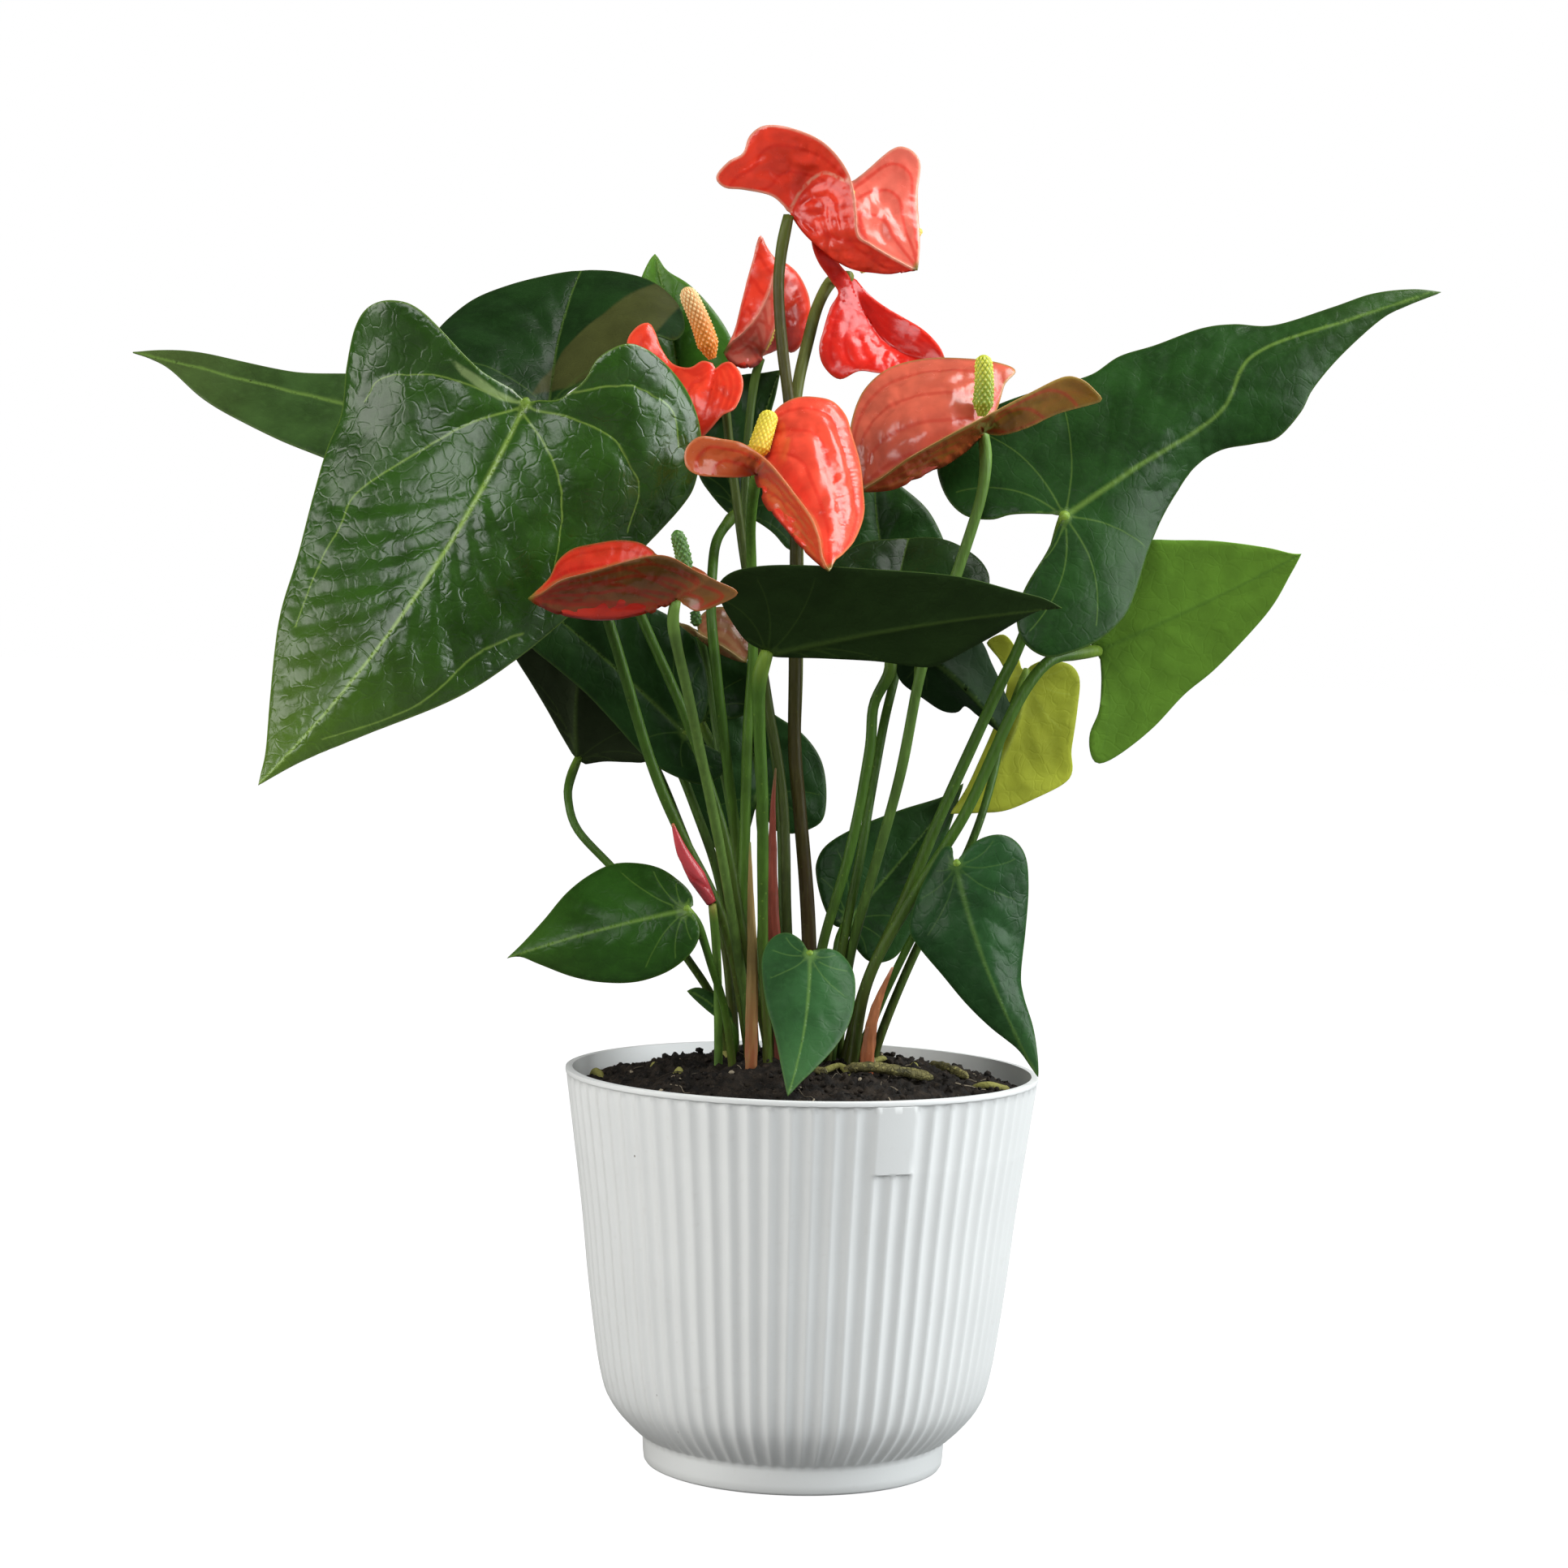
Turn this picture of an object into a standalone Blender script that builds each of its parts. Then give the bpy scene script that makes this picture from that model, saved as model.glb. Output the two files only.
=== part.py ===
"""A flowering pot plant with heart-shaped leaves: a ribbed planter filled with soil, aerial roots on
the soil, long-stalked leaves, and blooms that each have a stalk, a folded spathe and a spadix.

Lengths are in millimetres and are turned into metres when an object is made. +Z is up, the pot stands
on z = 0 with its axis on x = y = 0, and the front of the plant faces -Y.

A point of a leaf or bloom is given as it is seen from the front: how far across and how high it
appears in the upright plane through the pot's axis, and how far it lies behind that plane.
"""
import math

import bmesh
import bpy
from mathutils import Vector, geometry, noise
from mathutils.bvhtree import BVHTree

MM = 0.001
VIEW_POINT = Vector((-7.4, -1064.0, 254.5))  # eye of the front view, mm

# Pot
RIM_RADIUS = 70.0
POT_HEIGHT = 117.0
RIB_COUNT = 72
RIB_DEPTH = 0.9
LIP_HEIGHT = 1.4
# Height and radius of the outer wall over the rib crests, from the lip to the foot
WALL_PROFILE = [(115.6, 69.8), (75.0, 64.3), (38.0, 59.8), (22.0, 56.4), (14.3, 51.6), (9.4, 46.6)]
FOOT_RADIUS = 44.8
FOOT_HEIGHT = 8.4
# Height and radius of the inner wall, from the rim to the floor
INNER_PROFILE = [(117.0, 67.9), (84.0, 62.6), (34.0, 56.4), (9.0, 42.4), (3.0, 41.8)]
PLAQUE_AZIMUTH = (17.0, 27.5)  # degrees to the right of the front
PLAQUE_LOW = 96.0

# Soil
SOIL_EDGE_HEIGHT = 109.5
SOIL_TOP_HEIGHT = 120.0
SOIL_GAP = 0.35
ROOT_HOLE_BOTTOM = 111.0
STALK_FOOT = 112.0
HOLE_CLEARANCE = 0.4
HOLE_SIDES = 7

# Leaves and blooms
BLADE_THICKNESS = 0.8
SPATHE_THICKNESS = 0.65
NODE_GAP = 0.33  # between pieces that touch
STALK_SIDES = 5
STALK_STEPS = 9


LEAVES = [
    dict(
        name="leaf_front_left",
        joint=(-86, 311.5, -45),
        tilt=(0.0, 0.3),
        tip=(-162.5, 197.5, 0),
        rib=(-119, 251.5, -3),
        left=[
            (-90, 315.5, -2), (-97.5, 319.5, -6), (-103.5, 324.5, -10), (-117, 337.5, -14),
            (-125.5, 340.5, -14), (-132.5, 338.5, -10), (-136.5, 332, -2), (-138.5, 320, 6),
            (-140, 307, 10), (-144.5, 295, 10), (-151.5, 266.5, 9), (-157, 247, 8),
            (-159.5, 221, 5), (-160.5, 206.5, 2)],
        right=[
            (-82, 312.5, -2), (-76, 313, -4), (-69, 318.5, -8), (-64.5, 325.5, -10),
            (-56, 329.5, -9), (-47.5, 326, -2), (-39, 316.5, 8), (-34.5, 304, 14),
            (-35.5, 290.5, 18), (-39.5, 282.5, 20), (-49, 271.5, 20), (-58, 262.5, 19),
            (-72, 249.5, 16), (-86.5, 237, 13), (-105, 224.5, 9), (-131.5, 213, 4),
            (-150.5, 204.5, 1)],
        stalk=[
            (-75.5, 289.5, -34), (-60, 247.5, -27), (-47.5, 209, -20), (-38.5, 188, -16),
            (-27, 166.5, -10), (-21, 149.5, -6)],
        root=(-15, -1),
        thick=(3.0, 3.4),
        puff=0.05,
        face=1,
        fine=True,
        colour=(0.025, 0.075, 0.015),
    ),
    dict(
        name="leaf_far_left",
        joint=(-105.5, 303, 12),
        tilt=(0.1, 1.1),
        tip=(-201.5, 324, 0),
        rib=(-153.5, 313, 0),
        left=[
            (-102.5, 301, 0), (-97, 296.5, 0), (-98, 289.5, 0), (-106.5, 285.5, 0),
            (-120.5, 286, 0), (-132.5, 289.5, 0), (-146, 294.5, 0), (-158, 299, 0),
            (-168.5, 304, 0), (-181, 311, 0), (-190.5, 319, 0), (-196.5, 322.5, 0)],
        right=[
            (-101.5, 305, 0), (-95.5, 308.5, 0), (-94, 314, 0), (-100, 317.5, 0),
            (-112, 319, 0), (-126, 319, 0), (-138, 318.5, 0), (-152.5, 318.5, 0),
            (-169, 321.5, 0), (-184.5, 324, 0), (-194, 324.5, 0)],
        stalk=[
            (-97, 289, 14), (-82, 265.5, 18), (-67, 242, 23), (-53.5, 218.5, 28),
            (-45, 204.5, 28), (-34.5, 180.5, 18), (-24.5, 157, 13)],
        root=(-20, 11),
        thick=(2.6, 3.0),
        puff=0.05,
        face=1,
        fine=False,
        colour=(0.025, 0.075, 0.015),
    ),
    dict(
        name="leaf_back_left",
        joint=(-79, 309.5, 8),
        tilt=(0.0, 1.2),
        tip=(-70.5, 350.5, 0),
        rib=(-76.5, 331, 0),
        left=[
            (-82, 308, 0), (-87.5, 307, -4), (-97.5, 309.5, -10), (-105.5, 314.5, -16),
            (-110.5, 322, -14), (-113, 329, -8), (-111, 334, -2), (-102.5, 341, 0),
            (-91, 346, 0), (-79, 349, 0)],
        right=[
            (-78, 311, -4), (-77, 315, -13), (-74.5, 325.5, -25), (-69, 333, -33),
            (-64, 338.5, -39), (-56.5, 344.5, -46), (-51, 344, -45), (-49.5, 339, -35),
            (-47.5, 332.5, -23), (-43, 330, -9), (-40, 334.5, -3), (-42, 341.5, 0),
            (-50, 348, 0), (-60, 350.5, 0)],
        stalk=[
            (-73, 297, 4), (-62, 273.5, 0), (-50, 248.5, -4), (-37.5, 222, -6), (-31, 205, -6),
            (-24, 183.5, -6), (-18.5, 157, -5)],
        root=(-9, -4),
        thick=(3.0, 3.2),
        puff=0.04,
        face=1,
        fine=True,
        colour=(0.025, 0.075, 0.015),
    ),
    dict(
        name="leaf_back_pointed",
        joint=(-40, 311, 50),
        tilt=(0.0, 0.35),
        tip=(-49, 356, 0),
        rib=(-43.5, 333, 3),
        left=[
            (-42, 309, 0), (-46.5, 305, -3), (-52, 307, -5), (-55.5, 314, -5),
            (-56.5, 323.5, -3), (-56, 334, 0), (-54.5, 342.5, 0), (-52.5, 349.5, 0),
            (-50.5, 354, 0)],
        right=[
            (-38.5, 308.5, 0), (-34, 307.5, -3), (-28, 311, -5), (-25.5, 318.5, -5),
            (-25, 326.5, -3), (-26.5, 332.5, -1), (-31.5, 340, 0), (-38.5, 347, 0),
            (-45, 351, 0), (-47.5, 354, 0)],
        stalk=[
            (-43.5, 297.5, 47), (-49, 278.5, 42), (-54.5, 254.5, 36), (-47.5, 226, 30),
            (-35, 197.5, 25), (-25, 169, 21)],
        root=(-20, 19),
        thick=(2.6, 3.0),
        puff=0.05,
        face=1,
        fine=False,
        colour=(0.05, 0.16, 0.02),
    ),
    dict(
        name="leaf_big_right",
        joint=(73, 282, -8),
        tilt=(0.1, 0.45),
        tip=(181.5, 350.5, 0),
        rib=(126.5, 326.5, -3),
        left=[
            (69.5, 283, 0), (63, 283, 0), (57, 282.5, 1), (51.5, 281, 2), (44, 282, 4),
            (38.5, 287, 6), (35.5, 295, 8), (36.5, 302.5, 9), (42, 309, 9), (55, 315.5, 9),
            (69.5, 320.5, 9), (80, 324, 8), (88, 329.5, 9), (98.5, 333, 9), (111.5, 338, 9),
            (121, 339.5, 8), (133, 339.5, 6), (149.5, 345, 3), (161.5, 349.5, 1),
            (173, 351, 0)],
        right=[
            (71, 278.5, 0), (68.5, 272, 0), (62.5, 261.5, 1), (60, 253.5, 2), (62, 245.5, 3),
            (69, 241, 4), (77.5, 243, 5), (85, 247, 6), (91.5, 253.5, 7), (94.5, 260.5, 8),
            (97.5, 271.5, 9), (101.5, 282, 10), (106, 290.5, 10), (111, 298, 10),
            (118.5, 303, 9), (128, 305, 8), (135, 307, 7), (141.5, 314.5, 5), (145, 321.5, 4),
            (152.5, 331, 3), (164, 342, 1), (172, 346.5, 0)],
        stalk=[
            (71.5, 275.5, -1), (66.5, 260, 3), (60.5, 243, 4), (55, 231, 3), (39.5, 194.5, 0),
            (28, 165.5, -2), (19, 144.5, -2)],
        root=(12, -2),
        thick=(3.2, 3.6),
        puff=0.045,
        face=1,
        fine=True,
        colour=(0.025, 0.075, 0.015),
    ),
    dict(
        name="leaf_bright_right",
        joint=(83.5, 243, 14),
        tilt=(0.05, -0.35),
        tip=(143, 273, 0),
        rib=(114, 257.5, 2),
        left=[
            (82.5, 244.5, 0), (80.5, 248.5, 0), (79, 255.5, 1), (81, 263.5, 2), (86, 271, 3),
            (95.5, 275.5, 4), (106.5, 276, 4), (118.5, 276, 3), (132.5, 274.5, 1),
            (140, 273, 0)],
        right=[
            (85, 240.5, 0), (85.5, 234, -1), (85, 225.5, -3), (82.5, 218.5, -4),
            (83, 212.5, -4), (85.5, 210, -4), (91.5, 213, -3), (101, 221, -1), (110, 231, 0),
            (119.5, 239.5, 0), (133.5, 255.5, 0), (140, 267, 0)],
        stalk=[
            (77.5, 242, 8), (69, 239, 0), (60, 225.5, -5), (46.5, 194.5, -7),
            (30.5, 167.5, -8), (19, 144.5, -10)],
        root=(14, -11),
        thick=(3.4, 3.4),
        puff=0.03,
        face=-1,
        fine=True,
        colour=(0.11, 0.29, 0.03),
    ),
    dict(
        name="leaf_yellow_right",
        joint=(63, 236, 27),
        tilt=(0.15, -0.2),
        tip=(42, 194, 0),
        rib=(57, 211.5, -2),
        left=[
            (61.5, 237.5, 2), (60.5, 241, 5), (59, 244.5, 8), (56, 247, 12), (51.5, 245, 14),
            (53, 242.5, 11), (55.5, 239.5, 7), (57.5, 235, 2), (57.5, 230.5, 0),
            (55.5, 223.5, 0), (53.5, 218, 0), (50, 209.5, 0), (46.5, 201.5, 0)],
        right=[
            (64.5, 238, 0), (67.5, 239.5, 0), (73, 239.5, 2), (77, 238, 4), (79, 234, 5),
            (78.5, 226.5, 5), (77.5, 218, 4), (77, 213, 4), (77.5, 207.5, 4), (75.5, 204, 4),
            (68.5, 200, 2), (58.5, 195.5, 0), (50, 194.5, 0)],
        stalk=[
            (60.5, 229, 24), (57, 219.5, 20), (54, 204.5, 14), (50, 190, 9), (44.5, 176.5, 8),
            (33, 153.5, 6)],
        root=(20, 2),
        thick=(2.4, 2.8),
        puff=0.04,
        face=-1,
        fine=True,
        colour=(0.26, 0.3, 0.03),
    ),
    dict(
        name="leaf_centre",
        joint=(-13.5, 239.5, -38),
        tilt=(-0.15, -1.0),
        tip=(73, 255.5, 0),
        rib=(28.5, 249, 0),
        left=[
            (-15, 241, 0), (-19.5, 243.5, 0), (-23.5, 248.5, 0), (-27, 254.5, 0),
            (-28, 259.5, 0), (-24, 263.5, 0), (-15, 265.5, 0), (-1, 266, 0), (16, 265.5, 0),
            (35, 264.5, 0), (47, 263, 0), (59, 260, 0), (67.5, 258, 0)],
        right=[
            (-11.5, 239, 0), (-4, 239, 0), (4.5, 239, 0), (19, 238.5, 0), (33.5, 237, 0),
            (39.5, 239, 0), (46.5, 243, 0), (53.5, 247, 0), (61.5, 252, 0), (67.5, 255, 0)],
        stalk=[
            (-15.5, 231.5, -36), (-15, 217, -33), (-13.5, 193, -28), (-12.5, 155, -20)],
        root=(-10, -16),
        thick=(3.8, 2.8),
        puff=0.02,
        face=-1,
        fine=True,
        colour=(0.03, 0.07, 0.02),
    ),
    dict(
        name="leaf_centre_back",
        joint=(22.5, 242, -10),
        tilt=(0.0, 1.05),
        tip=(27.5, 275, 2),
        rib=(24.5, 260, 2),
        left=[
            (21, 240.5, 0), (16.5, 240.5, 0), (10.5, 243, 0), (6.5, 249, 0), (3.5, 257, 0),
            (4.5, 265.5, 0), (8.5, 270, 0), (15.5, 273.5, 0), (23, 274.5, 0)],
        right=[
            (24.5, 240.5, 0), (28.5, 240, 0), (35.5, 242.5, 0), (44, 247.5, 0), (49, 254.5, 0),
            (51.5, 262.5, 0), (49, 268.5, 0), (42, 273, 0), (35, 275, 0)],
        stalk=[
            (23, 235.5, -11), (18.5, 225.5, -10), (17.5, 211, -10), (12.5, 182, -9),
            (5, 153, -8)],
        root=(1, -8),
        thick=(3.2, 3.0),
        puff=0.05,
        face=1,
        fine=False,
        colour=(0.025, 0.075, 0.015),
    ),
    dict(
        name="leaf_upright_back",
        joint=(24.5, 248, 26),
        tilt=(0.1, 0.45),
        tip=(16.5, 296, 0),
        rib=(19, 274, 2),
        left=[
            (22.5, 246.5, 0), (17.5, 245.5, 0), (12.5, 249, 0), (9.5, 256, 0), (8.5, 264.5, 0),
            (9, 275, 0), (10.5, 283.5, 0), (13, 290, 0)],
        right=[
            (26.5, 246, 0), (32, 246, 0), (38, 251, 0), (40.5, 258, 0), (40, 266.5, 0),
            (37.5, 275, 0), (32.5, 283.5, 0), (24.5, 290, 0), (20, 293, 0)],
        stalk=[
            (25, 237.5, 26), (21.5, 219.5, 15), (18, 196.5, 6), (15.5, 179.5, 2),
            (11, 153, -2)],
        root=(7, -4),
        thick=(2.8, 2.8),
        puff=0.05,
        face=1,
        fine=False,
        colour=(0.025, 0.075, 0.015),
    ),
    dict(
        name="leaf_left_under",
        joint=(-68.5, 207, 18),
        tilt=(0.3, -0.3),
        tip=(-64, 253, 4),
        rib=(-69, 230, 0),
        left=[
            (-70, 209, 0), (-74, 215.5, 0), (-77.5, 221.5, 0), (-82.5, 229.5, 0),
            (-88, 238, 0), (-90.5, 245, 0), (-86.5, 252.5, 2), (-76, 255, 4)],
        right=[
            (-66, 206, 0), (-60.5, 207, 0), (-53.5, 207, 0), (-48, 207.5, 0), (-44.5, 213, 0),
            (-43.5, 221.5, 0), (-46, 232, 2), (-50.5, 242.5, 3), (-56.5, 251, 4)],
        stalk=[
            (-70.5, 201.5, 13), (-71, 195.5, 9), (-68, 186.5, 5), (-57.5, 175.5, 2),
            (-45, 162.5, 1), (-35, 149.5, 1), (-26.5, 136.5, 3)],
        root=(-21, 4),
        thick=(2.4, 2.6),
        puff=0.04,
        face=-1,
        fine=False,
        colour=(0.05, 0.09, 0.03),
    ),
    dict(
        name="leaf_left_middle",
        joint=(-37, 215.5, 8),
        tilt=(0.35, 0.15),
        tip=(-86.5, 257.5, 0),
        rib=(-61, 237, 0),
        left=[
            (-35.5, 214, 0), (-30, 212, 0), (-25, 209, 0), (-25.5, 204.5, 0), (-30.5, 201, 0),
            (-36.5, 202, 0), (-43.5, 205, 0), (-49.5, 209.5, 0), (-58.5, 219, 0),
            (-67, 227.5, 0), (-75.5, 234.5, 0), (-83.5, 241, 0), (-87.5, 249, 0)],
        right=[
            (-35, 217, 0), (-31.5, 220.5, 0), (-30.5, 229, 0), (-33, 239.5, 0), (-39, 248, 0),
            (-51, 254, 0), (-64, 258.5, 0), (-77, 260, 0)],
        stalk=[
            (-32.5, 206, 12), (-26.5, 190.5, 12), (-21.5, 171.5, 12), (-18.5, 150, 12)],
        root=(-15, 12),
        thick=(2.4, 2.8),
        puff=0.04,
        face=1,
        fine=False,
        colour=(0.025, 0.075, 0.015),
    ),
    dict(
        name="leaf_left_inner",
        joint=(-33, 220.5, 24),
        tilt=(0.0, 0.35),
        tip=(-45.5, 249.5, 0),
        rib=(-40, 234.5, 0),
        left=[
            (-35, 220, 0), (-39, 221.5, 0), (-44, 226, 0), (-47.5, 233, 0), (-48, 241.5, 0)],
        right=[
            (-31.5, 219.5, 0), (-26, 220, 0), (-20, 221.5, 0), (-17.5, 225, 0),
            (-17.5, 232, 0), (-19.5, 238, 0), (-25.5, 242, 0), (-33.5, 246, 0),
            (-40, 248.5, 0)],
        stalk=[
            (-30.5, 215.5, 25), (-27, 208, 24), (-22, 193, 22), (-18, 171.5, 21),
            (-16, 147.5, 21)],
        root=(-9, 23),
        thick=(2.4, 2.6),
        puff=0.04,
        face=1,
        fine=False,
        colour=(0.025, 0.075, 0.015),
    ),
    dict(
        name="leaf_inner_back",
        joint=(-14.5, 197, 40),
        tilt=(0.2, 0.2),
        tip=(-20.5, 230, 0),
        rib=(-17.5, 214.5, 2),
        left=[
            (-16, 193.5, 0), (-18, 186, 0), (-21.5, 181, 0), (-26.5, 181.5, 0), (-31, 189, 0),
            (-35, 200, 0), (-35.5, 209.5, 0), (-31.5, 219, 0), (-25.5, 226, 0)],
        right=[
            (-13, 194, 0), (-10.5, 188.5, 0), (-5.5, 187, 0), (0.5, 188.5, 0), (4.5, 192, 0),
            (5, 201, 0), (3, 209.5, 0), (-2.5, 216.5, 0), (-11, 222, 0), (-16, 226, 0)],
        stalk=[
            (-13.5, 183.5, 36), (-13, 167, 32), (-12.5, 145, 27)],
        root=(-4, 22),
        thick=(2.4, 2.6),
        puff=0.05,
        face=1,
        fine=False,
        colour=(0.025, 0.075, 0.015),
    ),
    dict(
        name="leaf_low_right_back",
        joint=(12, 161, 24),
        tilt=(0.1, 0.3),
        tip=(45.5, 203, 0),
        rib=(27.5, 179.5, 2),
        left=[
            (10.5, 159.5, 0), (8, 160.5, 0), (5, 166.5, 0), (3, 174, 0), (3, 179, 0),
            (6, 184, 0), (14, 189, 0), (27, 194.5, 0), (40, 199, 0)],
        right=[
            (12.5, 158.5, 0), (14, 155, 0), (18.5, 150, 0), (23, 149.5, 0), (27.5, 152, 0),
            (32, 159.5, 0), (35.5, 169, 0), (38.5, 179, 0), (42, 191, 0)],
        stalk=[
            (10, 155.5, 20), (9, 148, 17), (7.5, 139.5, 15)],
        root=(9, 12),
        thick=(2.4, 2.6),
        puff=0.05,
        face=1,
        fine=False,
        colour=(0.025, 0.075, 0.015),
    ),
    dict(
        name="leaf_low_right",
        joint=(44, 179, -16),
        tilt=(-0.05, 0.05),
        tip=(70, 116.5, 0),
        rib=(54, 148, -2),
        left=[
            (43, 181.5, 0), (42.5, 184, 1), (40.5, 184, 2), (38, 180.5, 3), (34, 172.5, 5),
            (31.5, 164.5, 6), (31, 159, 6), (34, 154, 5), (40.5, 146.5, 4), (48, 138, 3),
            (55.5, 131, 2), (63.5, 125, 1), (67.5, 120, 0)],
        right=[
            (45, 181, 0), (50, 186, 2), (56, 188, 3), (61, 186.5, 5), (64.5, 181.5, 6),
            (65.5, 172.5, 7), (65, 160.5, 6), (64, 147, 5), (65, 140.5, 3), (68, 131.5, 1),
            (69.5, 123, 0)],
        stalk=[
            (41, 173, -9), (32.5, 158.5, -6), (25, 142.5, -6), (20.5, 131.5, -7)],
        root=(12.8, -6.5),
        thick=(2.2, 2.6),
        puff=0.05,
        face=1,
        fine=False,
        colour=(0.025, 0.075, 0.015),
    ),
    dict(
        name="leaf_low_left",
        joint=(-35, 163.5, -28),
        tilt=(0.05, 0.35),
        tip=(-88, 148, 0),
        rib=(-60.5, 157, -2),
        left=[
            (-33.5, 165, 0), (-34, 168, 0), (-37, 171.5, 1), (-43, 175.5, 3), (-50, 177, 4),
            (-57.5, 176.5, 5), (-64.5, 173, 4), (-71, 167.5, 3), (-77, 160, 1),
            (-83.5, 152.5, 0)],
        right=[
            (-33, 162, 0), (-31.5, 158, 0), (-32, 154, 1), (-35, 149.5, 2), (-41, 145, 3),
            (-49.5, 142, 4), (-59, 141.5, 4), (-68.5, 143, 3), (-78.5, 146.5, 1),
            (-84, 148.5, 0)],
        stalk=[
            (-31.5, 158.5, -24), (-27.5, 147, -19), (-23.5, 135, -14)],
        root=(-20, -10),
        thick=(2.2, 2.6),
        puff=0.05,
        face=1,
        fine=False,
        colour=(0.025, 0.075, 0.015),
    ),
    dict(
        name="leaf_small_front",
        joint=(1.5, 151, -30),
        tilt=(0.0, 0.72),
        tip=(-4, 109, 0),
        rib=(0.5, 129.5, -1),
        left=[
            (0.5, 152.5, 0), (-1.5, 155.5, 0), (-5.5, 157.5, 1), (-9.5, 156, 2), (-12, 152, 3),
            (-12.5, 146.5, 3), (-11, 136.5, 2), (-8, 126.5, 1), (-6, 117.5, 0)],
        right=[
            (2.5, 152, 0), (6.5, 153, 0), (10.5, 151.5, 2), (14, 147, 3), (15, 141, 3),
            (14, 132.5, 2), (10, 124.5, 1), (4, 117.5, 0), (-0.5, 113, 0)],
        stalk=[
            (2, 145.5, -24), (1.5, 137, -20)],
        root=(0, -17),
        thick=(2.0, 2.4),
        puff=0.05,
        face=1,
        fine=False,
        colour=(0.025, 0.075, 0.015),
    ),
    dict(
        name="leaf_small_base",
        joint=(-21.5, 130, -3),
        tilt=(0.2, 0.3),
        tip=(-34.5, 139.5, 0),
        rib=(-28.5, 136.5, 0),
        left=[
            (-22, 129, 0), (-24.5, 131, 0), (-28.5, 134, 0), (-32, 137, 0)],
        right=[
            (-21, 131, 0), (-22, 134.5, 0), (-25.5, 138, 0), (-29, 140, 0), (-32, 140.5, 0)],
        stalk=[
            (-20, 127, -3)],
        root=(-21.5, -1),
        thick=(1.8, 2.2),
        puff=0.03,
        face=1,
        fine=False,
        colour=(0.025, 0.075, 0.015),
    ),
    dict(
        name="leaf_right_folded",
        joint=(31.5, 241.5, 12),
        tilt=(0.1, 0.0),
        tip=(56.5, 218, 0),
        rib=(45.5, 231, -4),
        left=[
            (29.5, 241, 0), (26, 239, 2), (25, 236, 4), (27, 232, 6), (33, 228, 8),
            (38.5, 224.5, 8), (43, 224, 7), (45.5, 226, 3), (49, 223.5, 0), (53, 220.5, 0)],
        right=[
            (32, 243.5, 0), (35.5, 247, 2), (41.5, 249, 3), (47, 248, 4), (50.5, 243.5, 5),
            (52.5, 239, 4), (55, 234, 3), (57.5, 228.5, 2), (59.5, 224.5, 1), (58.5, 220.5, 0)],
        stalk=[
            (31, 230.5, 6), (27.5, 208.5, 6), (21, 181, 7), (14, 153, 8)],
        root=(10.5, 8),
        thick=(2.2, 2.6),
        puff=0.04,
        face=-1,
        fine=False,
        colour=(0.025, 0.075, 0.015),
    ),
    dict(
        name="leaf_behind_blooms",
        joint=(-23, 281, 42),
        tilt=(0.0, 0.3),
        tip=(-11.5, 323, 0),
        rib=(-18, 302, 2),
        left=[
            (-24.5, 280, 0), (-27, 282, -1), (-31, 286.5, -2), (-34.5, 292, -2),
            (-35.5, 300, -1), (-34, 309.5, 0), (-29.5, 317, 0), (-23.5, 321, 0),
            (-16.5, 322, 0)],
        right=[
            (-21.5, 279.5, 0), (-18, 279, -1), (-12.5, 275.5, -2), (-7.5, 270.5, -3),
            (-5, 273, -3), (-5, 280.5, -2), (-7.5, 289, -1), (-10.5, 298.5, 0), (-14, 308, 0),
            (-12.5, 316, 0)],
        stalk=[
            (-25.5, 278.5, 34), (-29, 272.5, 20), (-30, 263.5, 6), (-30, 250.5, -4),
            (-28, 233.5, -4), (-25, 212, 0), (-22, 190.5, 4), (-19, 169, 5), (-16.5, 147.5, 4)],
        root=(-14, 5),
        thick=(3.0, 3.2),
        puff=0.05,
        face=1,
        fine=False,
        colour=(0.025, 0.075, 0.015),
    ),
]
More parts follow.
